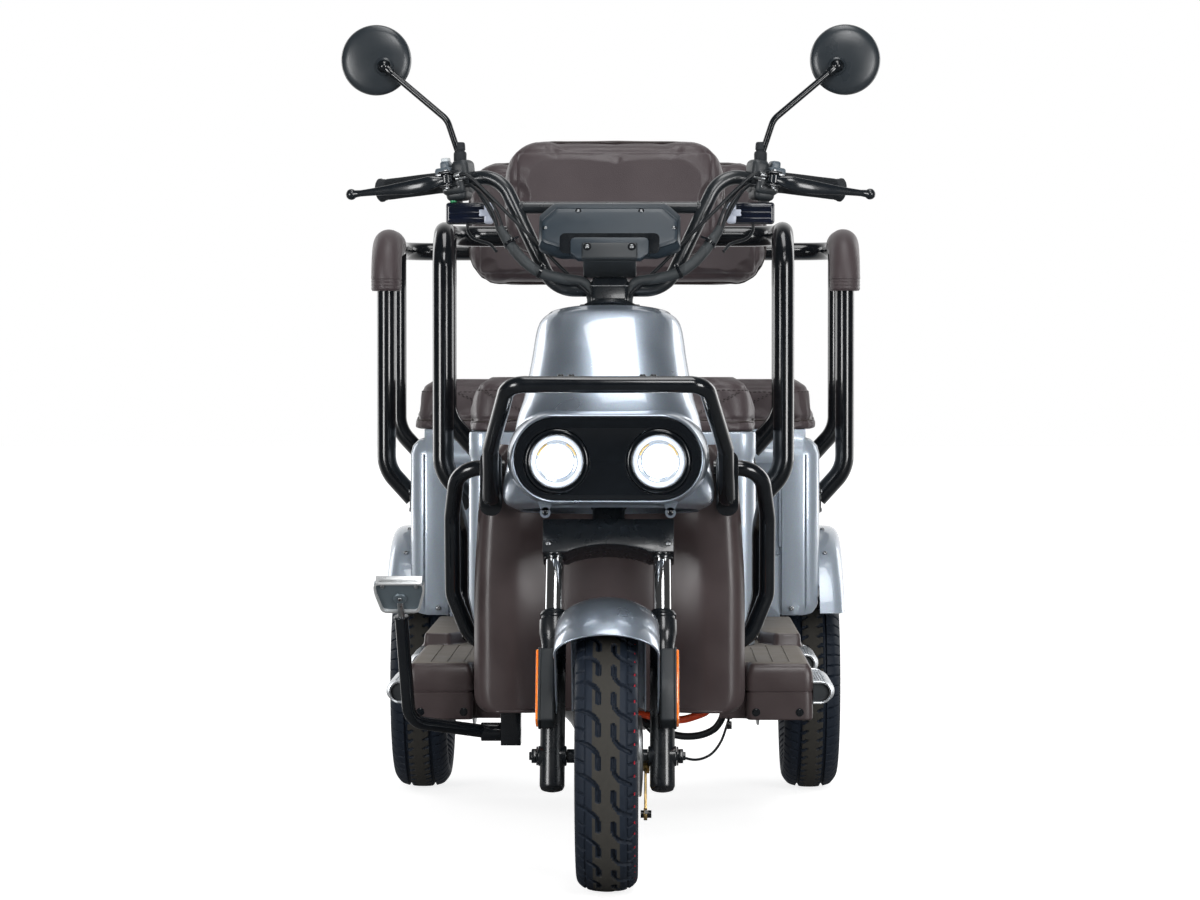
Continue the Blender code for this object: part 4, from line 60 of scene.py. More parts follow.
Point = tuple[float, float, float]
Route = list[Vector]
Outline = list[tuple[float, float]]
Spots = Sequence[tuple[Sequence[float], Sequence[float]]]
Mesh = bpy.types.Mesh
Node = bpy.types.Node
NodeTree = bpy.types.NodeTree
Shape = bmesh.types.BMesh
Corner = bmesh.types.BMVert

# Middle of the machine over the world's origin
DATUM_Y = -0.7135
FRONT_AXLE_Z = 0.193
REAR_AXLE_Z = 0.195
WHEELBASE = 1.28
REAR_END = 1.620
RAKE = math.radians(25.0)
# Clearance between pieces that touch
GAP = 0.0003
# Where the tyres sit on the rims
BEAD_RADIUS = 0.127
# The rear body's side, the leg shield's foremost line and the damper's place
BODY_FACE = 0.3553
SHIELD_CREST = 0.226
DAMPER_X, DAMPER_Y = 0.215, 1.338

FORK_FRAME = Matrix.Translation((0, 0, FRONT_AXLE_Z)) @ Matrix.Rotation(-RAKE, 4, "X")
MIRROR_X = Matrix.Scale(-1, 4, (1, 0, 0))
FACE_FRONT = Matrix.Rotation(math.radians(90), 4, "X")
FACE_BACK = Matrix.Rotation(math.radians(-90), 4, "X")
LAY_ACROSS = Matrix.Rotation(math.radians(90), 4, "Y")


class Side(Enum):
    """The rider's two sides, with the sign of X on each."""

    LEFT = 1
    RIGHT = -1

    @property
    def word(self) -> str:
        """The side's name in a piece's name."""
        return self.name.lower()

    @property
    def turn(self) -> Matrix:
        """The matrix that carries a left piece to this side."""
        return Matrix.Identity(4) if self is Side.LEFT else MIRROR_X


# Shapes

def put(name: str, data: bpy.types.ID) -> bpy.types.Object:
    """Put an object with this data in the scene."""
    made = bpy.data.objects.new(name, data)
    bpy.context.scene.collection.objects.link(made)
    return made


def evaluated(holder: bpy.types.Object) -> Mesh:
    """An object's mesh as its modifiers leave it."""
    return bpy.data.meshes.new_from_object(holder.evaluated_get(bpy.context.evaluated_depsgraph_get()))


def around(steps: int) -> list[float]:
    """The angles of even steps round a circle."""
    return [2 * math.pi * i / steps for i in range(steps)]


def as_mesh(shape: Shape, turn_out: bool = True) -> Mesh:
    """Turn a working shape into a mesh.

    Args:
        shape: the shape, which is used up.
        turn_out: whether faces are turned outwards first.

    Returns:
        The mesh.
    """
    if turn_out:
        bmesh.ops.recalc_face_normals(shape, faces=shape.faces)
    mesh = bpy.data.meshes.new("work")
    shape.to_mesh(mesh)
    shape.free()
    return mesh


def welded(mesh: Mesh, distance: float = 1e-6) -> Shape:
    """A mesh, which is used up, as a working shape with its doubled corners merged."""
    shape = bmesh.new()
    shape.from_mesh(mesh)
    bpy.data.meshes.remove(mesh)
    bmesh.ops.remove_doubles(shape, verts=shape.verts, dist=distance)
    return shape


def skin(shape: Shape, rings: Sequence[Sequence[Sequence[float]]]) -> list[list[Corner]]:
    """Add closed rings of points to a working shape, with a band of faces between each two.

    Args:
        shape: the working shape, which is changed.
        rings: rings of points, all of one length.

    Returns:
        The rings' corners.
    """
    rows = [[shape.verts.new(point) for point in ring] for ring in rings]
    band(shape, rows)
    return rows


def band(shape: Shape, rows: Sequence[Sequence[Corner]]) -> None:
    """Join closed rows of corners with faces, each row to the next."""
    for lower, upper in zip(rows, rows[1:]):
        for i in range(len(lower)):
            j = (i + 1) % len(lower)
            shape.faces.new((lower[i], lower[j], upper[j], upper[i]))


def moved(mesh: Mesh, matrix: Matrix) -> Mesh:
    """Move a mesh by a matrix, and keep its faces outwards.

    Args:
        mesh: the mesh, which is changed.
        matrix: the place it is carried to.

    Returns:
        The same mesh.
    """
    mesh.transform(matrix)
    if matrix.determinant() < 0:
        mesh.flip_normals()
    return mesh


def shifted(mesh: Mesh, x: float, y: float, z: float) -> Mesh:
    """Move a mesh by an offset."""
    return moved(mesh, Matrix.Translation((x, y, z)))


def joined(*meshes: Mesh) -> Mesh:
    """Gather meshes in one, without welding them."""
    shape = bmesh.new()
    for mesh in meshes:
        shape.from_mesh(mesh)
        bpy.data.meshes.remove(mesh)
    return as_mesh(shape, turn_out=False)


def rounded(mesh: Mesh, width: float, segments: int = 3, angle: float = 50.0) -> Mesh:
    """Round a mesh's sharp edges.

    Args:
        mesh: the mesh, which is used up.
        width: how far the rounding reaches from the edge.
        segments: how many faces the rounding has.
        angle: the least angle in degrees between the faces of a sharp edge.

    Returns:
        The rounded mesh.
    """
    shape = welded(mesh)
    sharp = [edge for edge in shape.edges
             if len(edge.link_faces) == 2 and edge.calc_face_angle(0) > math.radians(angle)]
    bmesh.ops.bevel(shape, geom=sharp, offset=width, segments=segments, profile=0.5, affect="EDGES",
                    clamp_overlap=True)
    return as_mesh(shape)


def block(low: Sequence[float], high: Sequence[float], bevel: float = 0.0, segments: int = 3) -> Mesh:
    """A box between two corners, with rounded edges where bevel is above 0."""
    low, high = Vector(low), Vector(high)
    shape = bmesh.new()
    bmesh.ops.create_cube(shape, size=1.0)
    bmesh.ops.scale(shape, vec=high - low, verts=shape.verts)
    bmesh.ops.translate(shape, vec=(low + high) / 2, verts=shape.verts)
    mesh = as_mesh(shape)
    return rounded(mesh, bevel, segments) if bevel > 0 else mesh


def centred_block(centre: Sequence[float], size: Sequence[float], bevel: float = 0.0,
                  segments: int = 3) -> Mesh:
    """A box given by its middle and its size."""
    half = Vector(size) / 2
    return block(Vector(centre) - half, Vector(centre) + half, bevel, segments)


def turned(profile: Sequence[tuple[float, float]], steps: int = 64, closed: bool = False) -> Mesh:
    """Turn a profile about Z, as a lathe does.

    Args:
        profile: points of (radius, height).
        steps: how many steps a full turn has.
        closed: whether the last point joins the first.

    Returns:
        The turned mesh, with its poles closed.
    """
    shape = bmesh.new()
    rings = []
    for radius, height in profile:
        if radius < 1e-6:
            rings.append([shape.verts.new((0, 0, height))] * steps)
            continue
        rings.append([shape.verts.new((radius * math.cos(2 * math.pi * i / steps),
                                       radius * math.sin(2 * math.pi * i / steps), height))
                      for i in range(steps)])
    pairs = list(zip(rings, rings[1:])) + ([(rings[-1], rings[0])] if closed else [])
    for lower, upper in pairs:
        for i in range(steps):
            j = (i + 1) % steps
            corners = [lower[i], lower[j], upper[j], upper[i]]
            loop = [vert for k, vert in enumerate(corners) if vert is not corners[k - 1]]
            if len(loop) > 2:
                shape.faces.new(loop)
    return as_mesh(shape)


def aligned(start: Sequence[float], end: Sequence[float]) -> Matrix:
    """The frame at start whose Z points to end."""
    along = Vector(end) - Vector(start)
    turn = Vector((0, 0, 1)).rotation_difference(along.normalized()).to_matrix().to_4x4()
    return Matrix.Translation(Vector(start)) @ turn


def rod(start: Sequence[float], end: Sequence[float], radius: float, sides: int = 28,
        end_radius: float | None = None, bevel: float = 0.0) -> Mesh:
    """A round bar or cone between two points.

    Args:
        start: the middle of the first end.
        end: the middle of the other end.
        radius: the radius at the start.
        sides: how many sides it has.
        end_radius: the radius at the end, where it differs.
        bevel: the rounding of both rims.

    Returns:
        The bar's mesh.
    """
    length = (Vector(end) - Vector(start)).length
    last = radius if end_radius is None else end_radius
    if bevel > 0:
        arc = [math.radians(90) * i / 3 for i in range(4)]
        profile = [(0, 0)] + [(radius - bevel * (1 - math.sin(t)), bevel * (1 - math.cos(t))) for t in arc]
        profile += [(last - bevel * (1 - math.cos(t)), length - bevel * (1 - math.sin(t))) for t in arc]
        profile.append((0, length))
    else:
        profile = [(0, 0), (radius, 0), (last, length), (0, length)]
    return moved(turned(profile, sides), aligned(start, end))


def ball(centre: Sequence[float], radius: float, segments: int = 24) -> Mesh:
    """A ball."""
    half = segments // 2
    profile = [(radius * math.sin(math.pi * i / half), -radius * math.cos(math.pi * i / half))
               for i in range(half + 1)]
    profile[0], profile[-1] = (0, -radius), (0, radius)
    return shifted(turned(profile, segments), *centre)


def bent_route(corners: Sequence[Sequence[float]], bend_radius: float, arc_steps: int = 12) -> Route:
    """Straight runs joined by arcs, as a tube bender makes them.

    Args:
        corners: where the runs would meet.
        bend_radius: the radius of the tube's bends.
        arc_steps: how many steps each bend has.

    Returns:
        The points along the tube's middle.
    """
    corners = [Vector(corner) for corner in corners]
    route = [corners[0]]
    last = len(corners) - 2
    for i, (before, corner, after) in enumerate(zip(corners, corners[1:], corners[2:])):
        incoming = (corner - before).normalized()
        outgoing = (after - corner).normalized()
        angle = incoming.angle(outgoing)
        if angle < 0.02:
            route.append(corner)
            continue
        free_before = (corner - before).length * (0.98 if i == 0 else 0.49)
        free_after = (after - corner).length * (0.98 if i == last - 1 else 0.49)
        reach = min(bend_radius * math.tan(angle / 2), free_before, free_after)
        radius = reach / math.tan(angle / 2)
        inward = (outgoing - incoming * math.cos(angle)).normalized()
        start = corner - incoming * reach
        for step in range(arc_steps + 1):
            turn = angle * step / arc_steps
            route.append(start + incoming * radius * math.sin(turn) + inward * radius * (1 - math.cos(turn)))
    route.append(corners[-1])
    return route


def smooth_points(points: np.ndarray, per_span: int) -> np.ndarray:
    """Run a smooth curve through points or rows of points.

    Args:
        points: an array whose first axis runs along the curve.
        per_span: how many steps lie between two given points.

    Returns:
        The array with its first axis refined.
    """
    first, last = 2 * points[:1] - points[1:2], 2 * points[-1:] - points[-2:-1]
    padded = np.concatenate([first, points, last])
    rows = []
    for a, b, c, d in zip(padded, padded[1:], padded[2:], padded[3:]):
        for i in range(per_span):
            t = i / per_span
            rows.append(0.5 * (2 * b + (c - a) * t + (2 * a - 5 * b + 4 * c - d) * t * t
                               + (3 * b - a - 3 * c + d) * t ** 3))
    rows.append(points[-1])
    return np.array(rows)


def smooth_route(points: Sequence[Sequence[float]], per_span: int = 10) -> Route:
    """A smooth curve through given points, as a held cable takes."""
    return [Vector(point) for point in smooth_points(np.array(points, float), per_span)]


def tube(route: Sequence[Vector], radius: float, sides: int = 20, radii: Sequence[float] | None = None,
         loop: bool = False) -> Mesh:
    """A round tube along a route.

    Args:
        route: the points along its middle.
        radius: its radius.
        sides: how many sides it has.
        radii: shares of the radius at each point, where it changes.
        loop: whether the end joins the start.

    Returns:
        The tube's mesh, closed at both ends, with a UV map in metres round it and along it.
    """
    route = [Vector(point) for point in route]
    count = len(route)
    tangents = []
    for i in range(count):
        before = route[(i - 1) % count] if loop or i > 0 else route[i]
        after = route[(i + 1) % count] if loop or i < count - 1 else route[i]
        tangents.append((after - before).normalized())
    up = Vector((0, 0, 1)) if abs(tangents[0].z) < 0.9 else Vector((0, 1, 0))
    normal = (up - tangents[0] * up.dot(tangents[0])).normalized()
    shape = bmesh.new()
    map_layer = shape.loops.layers.uv.new("surface")
    rings = []
    travelled = [0.0]
    for i in range(count):
        if i > 0:
            normal = (tangents[i - 1].rotation_difference(tangents[i]) @ normal).normalized()
            travelled.append(travelled[-1] + (route[i] - route[i - 1]).length)
        across = tangents[i].cross(normal)
        size = radius * (1.0 if radii is None else radii[i])
        rings.append([shape.verts.new(route[i] + (normal * math.cos(2 * math.pi * k / sides)
                                                  + across * math.sin(2 * math.pi * k / sides)) * size)
                      for k in range(sides)])
    spans = count if loop else count - 1
    for i in range(spans):
        lower, upper = rings[i], rings[(i + 1) % count]
        for k in range(sides):
            face = shape.faces.new((lower[k], lower[(k + 1) % sides], upper[(k + 1) % sides], upper[k]))
            end = travelled[i + 1] if i + 1 < count else travelled[i]
            around = 2 * math.pi * radius / sides
            places = ((k, travelled[i]), (k + 1, travelled[i]), (k + 1, end), (k, end))
            for corner, (step, length) in zip(face.loops, places):
                corner[map_layer].uv = (step * around, length)
    if not loop:
        shape.faces.new(rings[0][::-1])
        shape.faces.new(rings[-1])
    return as_mesh(shape)


def loft(rings: Sequence[Sequence[Sequence[float]]], caps: bool = True) -> Mesh:
    """A solid over closed rings of points, or an open sleeve without its caps."""
    shape = bmesh.new()
    rows = skin(shape, rings)
    if caps:
        shape.faces.new(rows[0][::-1])
        shape.faces.new(rows[-1])
    return as_mesh(shape)


def sheet(rows: Sequence[Sequence[Sequence[float]]], towards: Sequence[float]) -> Mesh:
    """An open sheet over rows of points, turned so that its squarest face looks in a direction."""
    shape = bmesh.new()
    grid = [[shape.verts.new(point) for point in row] for row in rows]
    for lower, upper in zip(grid, grid[1:]):
        for i in range(len(lower) - 1):
            shape.faces.new((lower[i], lower[i + 1], upper[i + 1], upper[i]))
    bmesh.ops.recalc_face_normals(shape, faces=shape.faces)
    way = Vector(towards)
    clearest = max(shape.faces, key=lambda face: abs(face.normal.dot(way)))
    if clearest.normal.dot(way) < 0:
        bmesh.ops.reverse_faces(shape, faces=shape.faces)
    return as_mesh(shape, turn_out=False)


def border_of(rows: Sequence[Sequence[Sequence[float]]]) -> Route:
    """The points round a sheet's edge."""
    border = [Vector(p) for p in rows[0]] + [Vector(row[-1]) for row in rows[1:]]
    return border + [Vector(p) for p in rows[-1][::-1]][1:] + [Vector(row[0]) for row in rows[1:-1][::-1]]


def walled(mesh: Mesh, thickness: float) -> Mesh:
    """Give an open sheet a wall behind its faces."""
    return finished_shape(mesh, "SOLIDIFY", thickness=thickness, offset=-1, use_even_offset=True)


def hollow_shell(rings: Sequence[Sequence[Sequence[float]]], wall: float, towards: Sequence[float],
                 rank: Callable[[bmesh.types.BMFace], float], cap: int | None = None) -> Mesh:
    """A thin-walled shell over closed rings, open at one end or at both.

    Args:
        rings: closed rings of points.
        wall: its thickness, which lies behind the faces.
        towards: the direction that the highest-ranked face looks in.
        rank: a face's rank.
        cap: 0 closes the first ring and -1 the last.

    Returns:
        The shell.
    """
    shape = bmesh.new()
    rows = skin(shape, rings)
    if cap is not None:
        shape.faces.new(rows[cap] if cap else rows[0][::-1])
    bmesh.ops.recalc_face_normals(shape, faces=shape.faces)
    if max(shape.faces, key=rank).normal.dot(Vector(towards)) < 0:
        bmesh.ops.reverse_faces(shape, faces=shape.faces)
    return walled(as_mesh(shape, turn_out=False), wall)


def finished_shape(mesh: Mesh, kind: str, **settings: object) -> Mesh:
    """Run one modifier on a mesh.

    Args:
        mesh: the mesh, which is used up.
        kind: the modifier's kind.
        settings: the modifier's settings.

    Returns:
        The changed mesh.
    """
    holder = put("work", mesh)
    step = holder.modifiers.new("step", kind)
    for name, value in settings.items():
        setattr(step, name, value)
    bpy.context.view_layer.update()
    made = evaluated(holder)
    bpy.data.objects.remove(holder, do_unlink=True)
    bpy.data.meshes.remove(mesh)
    return made


def carved(mesh: Mesh, *tools: Mesh) -> Mesh:
    """Cut meshes out of a closed mesh.

    Args:
        mesh: the mesh, which is used up.
        tools: the meshes cut out of it, which are used up.

    Returns:
        The cut mesh.
    """
    for tool in tools:
        knife = put("knife", tool)
        mesh = finished_shape(mesh, "BOOLEAN", operation="DIFFERENCE", solver="EXACT", object=knife)
        bpy.data.objects.remove(knife, do_unlink=True)
    return mesh


def plate(outline: Sequence[tuple[float, float]], thickness: float,
          holes: Sequence[Sequence[tuple[float, float]]] = ()) -> Mesh:
    """A flat plate from its outline and holes, lying level and centred on its own plane."""
    curve = bpy.data.curves.new("outline", "CURVE")
    curve.dimensions = "2D"
    curve.fill_mode = "BOTH"
    curve.extrude = thickness / 2
    for ring in (outline, *holes):
        spline = curve.splines.new("POLY")
        spline.points.add(len(ring) - 1)
        for i, (x, y) in enumerate(ring):
            spline.points[i].co = (x, y, 0, 1)
        spline.use_cyclic_u = True
    holder = put("outline", curve)
    bpy.context.view_layer.update()
    mesh = evaluated(holder)
    bpy.data.objects.remove(holder, do_unlink=True)
    return as_mesh(welded(mesh))


def upright(mesh: Mesh, y_front: float) -> Mesh:
    """Stand a plate up across the machine, its front at y_front."""
    mesh.transform(FACE_FRONT)
    front = min(vertex.co.y for vertex in mesh.vertices)
    return shifted(mesh, 0, y_front - front, 0)


def circle(radius: float, steps: int, centre: tuple[float, float] = (0, 0)) -> Outline:
    """Points round a circle."""
    turn = 2 * math.pi / steps
    return [(centre[0] + radius * math.cos(turn * i), centre[1] + radius * math.sin(turn * i))
            for i in range(steps)]


def rounded_rectangle(width: float, height: float, radius: float, steps: int = 8,
                      centre: tuple[float, float] = (0, 0)) -> Outline:
    """Points around a rectangle with rounded corners."""
    points = []
    for quarter, (sx, sy) in enumerate(((1, 1), (-1, 1), (-1, -1), (1, -1))):
        cx = centre[0] + sx * (width / 2 - radius)
        cy = centre[1] + sy * (height / 2 - radius)
        for i in range(steps + 1):
            turn = math.radians(90) * (quarter + i / steps)
            points.append((cx + radius * math.cos(turn), cy + radius * math.sin(turn)))
    return points


def both_sides(half_corners: Sequence[Point]) -> list[Point]:
    """A symmetric run of corners, given from the left end to the middle."""
    return list(half_corners) + [(-x, y, z) for x, y, z in reversed(half_corners)]


def blended(low: float, high: float, value: float) -> float:
    """A smooth step from 0 at low to 1 at high."""
    share = min(max((value - low) / (high - low), 0.0), 1.0)
    return share * share * (3 - 2 * share)


# Finishes

def linear(colour: str) -> tuple[float, float, float, float]:
    """Turn an sRGB hex colour into linear light."""
    channels = [int(colour[i:i + 2], 16) / 255 for i in (0, 2, 4)]
    return (*[c / 12.92 if c <= 0.04045 else ((c + 0.055) / 1.055) ** 2.4 for c in channels], 1.0)


def set_inputs(node: Node, values: dict) -> None:
    """Set a node's unlinked inputs, by name or number."""
    for name, value in values.items():
        node.inputs[name].default_value = value


def add_node(tree: NodeTree, kind: str, values: dict | None = None, links: dict | None = None,
             **settings: object) -> Node:
    """Add a node with its settings and links.

    Args:
        tree: the node tree it goes in.
        kind: the node's kind.
        values: what its unlinked inputs are set to, by name or number.
        links: the outputs that feed its inputs, by name or number.
        settings: its own settings.

    Returns:
        The node.
    """
    made = tree.nodes.new(kind)
    for name, value in settings.items():
        setattr(made, name, value)
    set_inputs(made, values or {})
    for name, source in (links or {}).items():
        tree.links.new(source, made.inputs[name])
    return made


def per_metre(millimetres: float) -> float:
    """The pattern scale whose features are this many millimetres wide."""
    return 1000.0 / millimetres


@dataclass(frozen=True)
class Finish:
    """What a surface is made of, and how it was made."""

    name: str
    slot: str
    colour: str
    roughness: float
    metallic: float = 0.0

    def material(self) -> bpy.types.Material:
        """The finish's material, made once."""
        return bpy.data.materials.get("finish_" + self.name) or self.make()

    def make(self) -> bpy.types.Material:
        """Build the material's nodes."""
        material = bpy.data.materials.new("finish_" + self.name)
        material.use_nodes = True
        tree = material.node_tree
        shader = tree.nodes["Principled BSDF"]
        set_inputs(shader, {"Base Color": linear(self.colour), "Roughness": self.roughness,
                            "Metallic": self.metallic})
        material.diffuse_color = linear(self.colour)
        self.detail(tree, shader)
        return material

    def detail(self, tree: NodeTree, shader: Node) -> None:
        """Add what this finish shows beyond its colour."""

    def vary(self, tree: NodeTree, shader: Node, size: float, other: str,
             rough: tuple[float, float], stretch: Point = (1, 1, 1), detail: float = 3.0) -> Node:
        """Let colour and roughness wander over the surface.

        Args:
            tree: the material's nodes.
            shader: its shader.
            size: the width of the patches in millimetres.
            other: the second colour, as sRGB hex.
            rough: the least and the greatest roughness.
            stretch: how the patches are drawn out along X, Y and Z.
            detail: how fine the patches break up.

        Returns:
            The noise that drives both.
        """
        place = add_node(tree, "ShaderNodeTexCoord")
        mapping = add_node(tree, "ShaderNodeMapping", {"Scale": stretch}, {"Vector": place.outputs["Object"]})
        noise = add_node(tree, "ShaderNodeTexNoise", {"Scale": per_metre(size), "Detail": detail},
                         {"Vector": mapping.outputs["Vector"]})
        mix = add_node(tree, "ShaderNodeMix", {6: linear(self.colour), 7: linear(other)},
                       {"Factor": noise.outputs["Fac"]}, data_type="RGBA")
        span = add_node(tree, "ShaderNodeMapRange", {"From Min": 0.3, "From Max": 0.7, "To Min": rough[0],
                                                     "To Max": rough[1]}, {"Value": noise.outputs["Fac"]})
        tree.links.new(mix.outputs[2], shader.inputs["Base Color"])
        tree.links.new(span.outputs["Result"], shader.inputs["Roughness"])
        return noise

    def bump(self, tree: NodeTree, shader: Node, height: bpy.types.NodeSocket,
             strength: float, millimetres: float, coat: bool = False) -> None:
        """Raise the surface by a height pattern that is so many millimetres deep."""
        made = add_node(tree, "ShaderNodeBump", {"Strength": strength, "Distance": millimetres / 1000.0},
                        {"Height": height})
        tree.links.new(made.outputs["Normal"], shader.inputs["Normal"])
        if coat:
            tree.links.new(made.outputs["Normal"], shader.inputs["Coat Normal"])


@dataclass(frozen=True)
class Lacquer(Finish):
    """Sprayed metallic paint under clear lacquer: fine metal flakes and a slight orange peel."""

    def detail(self, tree: NodeTree, shader: Node) -> None:
        """Metal flakes in the colour, clear coat on top, and long low waves in its gloss."""
        place = add_node(tree, "ShaderNodeTexCoord")
        # Real flakes are 0.05 mm; 0.9 mm is the least that shows
        flakes = add_node(tree, "ShaderNodeTexVoronoi", {"Scale": per_metre(0.9)},
                          {"Vector": place.outputs["Object"]})
        clouds = add_node(tree, "ShaderNodeTexNoise", {"Scale": per_metre(60), "Detail": 2.0},
                          {"Vector": place.outputs["Object"]})
        tint = add_node(tree, "ShaderNodeMix", {"Factor": 0.10, 6: linear(self.colour)},
                        {7: flakes.outputs["Color"]}, data_type="RGBA", blend_type="OVERLAY")
        span = add_node(tree, "ShaderNodeMapRange", {"From Min": 0.3, "From Max": 0.7,
                                                     "To Min": self.roughness * 0.9,
                                                     "To Max": self.roughness * 1.15},
                        {"Value": clouds.outputs["Fac"]})
        peel = add_node(tree, "ShaderNodeTexNoise", {"Scale": per_metre(2.2), "Detail": 1.0},
                        {"Vector": place.outputs["Object"]})
        tree.links.new(tint.outputs[2], shader.inputs["Base Color"])
        tree.links.new(span.outputs["Result"], shader.inputs["Roughness"])
        set_inputs(shader, {"Coat Weight": 1.0, "Coat Roughness": 0.04})
        self.bump(tree, shader, peel.outputs["Fac"], 0.05, 0.12, coat=True)


@dataclass(frozen=True)
class PowderCoat(Finish):
    """Gloss black stoved paint on bent steel tube: deep black with a hard, barely rippled shine."""

    def detail(self, tree: NodeTree, shader: Node) -> None:
        """Faint ripple from the coating, and dust that dulls it a little."""
        self.vary(tree, shader, 24, "12161A", (self.roughness * 0.8, self.roughness * 1.3))
        place = add_node(tree, "ShaderNodeTexCoord")
        ripple = add_node(tree, "ShaderNodeTexNoise", {"Scale": per_metre(3.5), "Detail": 1.5},
                          {"Vector": place.outputs["Object"]})
        set_inputs(shader, {"Coat Weight": 0.22, "Coat Roughness": 0.06})
        self.bump(tree, shader, ripple.outputs["Fac"], 0.04, 0.08)


@dataclass(frozen=True)
class MouldedPlastic(Finish):
    """Injection-moulded plastic, spark-eroded to a fine matt grain."""

    grain: float = 1.6
    depth: float = 0.10
    pale: str = "2A2F33"

    def detail(self, tree: NodeTree, shader: Node) -> None:
        """Moulded grain, and scuffs that make it paler and shinier in patches."""
        self.vary(tree, shader, 45, self.pale, (self.roughness * 0.85, min(self.roughness * 1.2, 1.0)))
        place = add_node(tree, "ShaderNodeTexCoord")
        # Mould grain is about 0.3 mm; drawn coarser so that it shows
        pits = add_node(tree, "ShaderNodeTexNoise", {"Scale": per_metre(self.grain), "Detail": 2.5,
                                                     "Roughness": 0.65}, {"Vector": place.outputs["Object"]})
        self.bump(tree, shader, pits.outputs["Fac"], 0.35, self.depth)


@dataclass(frozen=True)
class Leather(Finish):
    """Brown vinyl leather, embossed with a pebble grain and a little shiny where it is stretched."""

    pale: str = "463C3E"

    def detail(self, tree: NodeTree, shader: Node) -> None:
        """Pebbles with creases between them, softly mottled colour."""
        self.vary(tree, shader, 70, self.pale, (self.roughness * 0.9, self.roughness * 1.12))
        place = add_node(tree, "ShaderNodeTexCoord")
        # Pebbles of 1.2 mm are drawn at 2.6 mm so that they show
        pebbles = add_node(tree, "ShaderNodeTexVoronoi", {"Scale": per_metre(2.6)},
                           {"Vector": place.outputs["Object"]}, feature="DISTANCE_TO_EDGE")
        dome = add_node(tree, "ShaderNodeMapRange", {"From Max": 0.35},
                        {"Value": pebbles.outputs["Distance"]}, interpolation_type="SMOOTHSTEP")
        set_inputs(shader, {"Sheen Weight": 0.12, "Sheen Roughness": 0.45})
        self.bump(tree, shader, dome.outputs["Result"], 0.4, 0.22)


@dataclass(frozen=True)
class Rubber(Finish):
    """Vulcanised rubber: dull, bluish black, greyer where it has picked up dust."""

    dust: str = "3A3A3A"
    patch: float = 9.0

    def detail(self, tree: NodeTree, shader: Node) -> None:
        """Dust in patches and the fine pits of the mould."""
        noise = self.vary(tree, shader, self.patch, self.dust, (self.roughness * 0.9, min(self.roughness * 1.1, 1)),
                          detail=6.0)
        set_inputs(shader, {"Specular IOR Level": 0.25})
        self.bump(tree, shader, noise.outputs["Fac"], 0.3, 0.25)


@dataclass(frozen=True)
class Metal(Finish):
    """Bare or plated metal, from cast to polished, by how far its grain is drawn out."""

    pale: str = "C4C6C8"
    size: float = 6.0
    stretch: Point = (1.0, 1.0, 1.0)
    depth: float = 0.05

    def detail(self, tree: NodeTree, shader: Node) -> None:
        """Grain in tone and gloss, as casting, brushing or plating leaves."""
        noise = self.vary(tree, shader, self.size, self.pale, (self.roughness * 0.75, self.roughness * 1.3),
                          self.stretch, 5.0)
        self.bump(tree, shader, noise.outputs["Fac"], 0.25, self.depth)


@dataclass(frozen=True)
class LampGlass(Finish):
    """Clear polycarbonate: the lens itself, shiny and see-through."""

    def detail(self, tree: NodeTree, shader: Node) -> None:
        """Let light through, with the bend of polycarbonate and faint moulding waves."""
        set_inputs(shader, {"Transmission Weight": 1.0, "IOR": 1.2})
        place = add_node(tree, "ShaderNodeTexCoord")
        waves = add_node(tree, "ShaderNodeTexNoise", {"Scale": per_metre(18)},
                         {"Vector": place.outputs["Object"]})
        self.bump(tree, shader, waves.outputs["Fac"], 0.05, 0.1)


@dataclass(frozen=True)
class Glow(Finish):
    """A lit lamp behind its lens: brightest in the middle, falling off to its rim."""

    strength: float = 1.5

    def detail(self, tree: NodeTree, shader: Node) -> None:
        """Light from the surface itself, in slightly uneven bands."""
        place = add_node(tree, "ShaderNodeTexCoord")
        bands = add_node(tree, "ShaderNodeTexNoise", {"Scale": per_metre(9), "Detail": 2.0},
                         {"Vector": place.outputs["Object"]})
        span = add_node(tree, "ShaderNodeMapRange", {"To Min": self.strength * 0.8, "To Max": self.strength},
                        {"Value": bands.outputs["Fac"]})
        set_inputs(shader, {"Emission Color": linear(self.colour)})
        tree.links.new(span.outputs["Result"], shader.inputs["Emission Strength"])


@dataclass(frozen=True)
class Prisms(Finish):
    """Reflector plastic: clear-coloured acrylic with a field of small prisms behind it."""

    # Emission strength: a painted glow standing in for light the prisms give back, not a lamp
    glow: float = 0.25

    def detail(self, tree: NodeTree, shader: Node) -> None:
        """Cells of 3 mm, each cell's tone shifted as a painted glint of light at its own slant, and a painted glow of
        the light the prisms give back.
        """
        place = add_node(tree, "ShaderNodeTexCoord")
        cells = add_node(tree, "ShaderNodeTexVoronoi", {"Scale": per_metre(3.0), "Randomness": 0.15},
                         {"Vector": place.outputs["Object"]})
        # Each cell painted lighter or darker: painted glints of light caught at the cells' slants
        mix = add_node(tree, "ShaderNodeMix", {"Factor": 0.28, 6: linear(self.colour)},
                       {7: cells.outputs["Color"]}, data_type="RGBA", blend_type="OVERLAY")
        tree.links.new(mix.outputs[2], shader.inputs["Base Color"])
        set_inputs(shader, {"Coat Weight": 1.0, "Coat Roughness": 0.05, "Emission Color": linear(self.colour),
                            "Emission Strength": self.glow})
        self.bump(tree, shader, cells.outputs["Distance"], 0.5, 0.4)


# Laps per metre times this is the wave node's scale
BAND_SCALE = 6.283 / 20.0 / 2.0


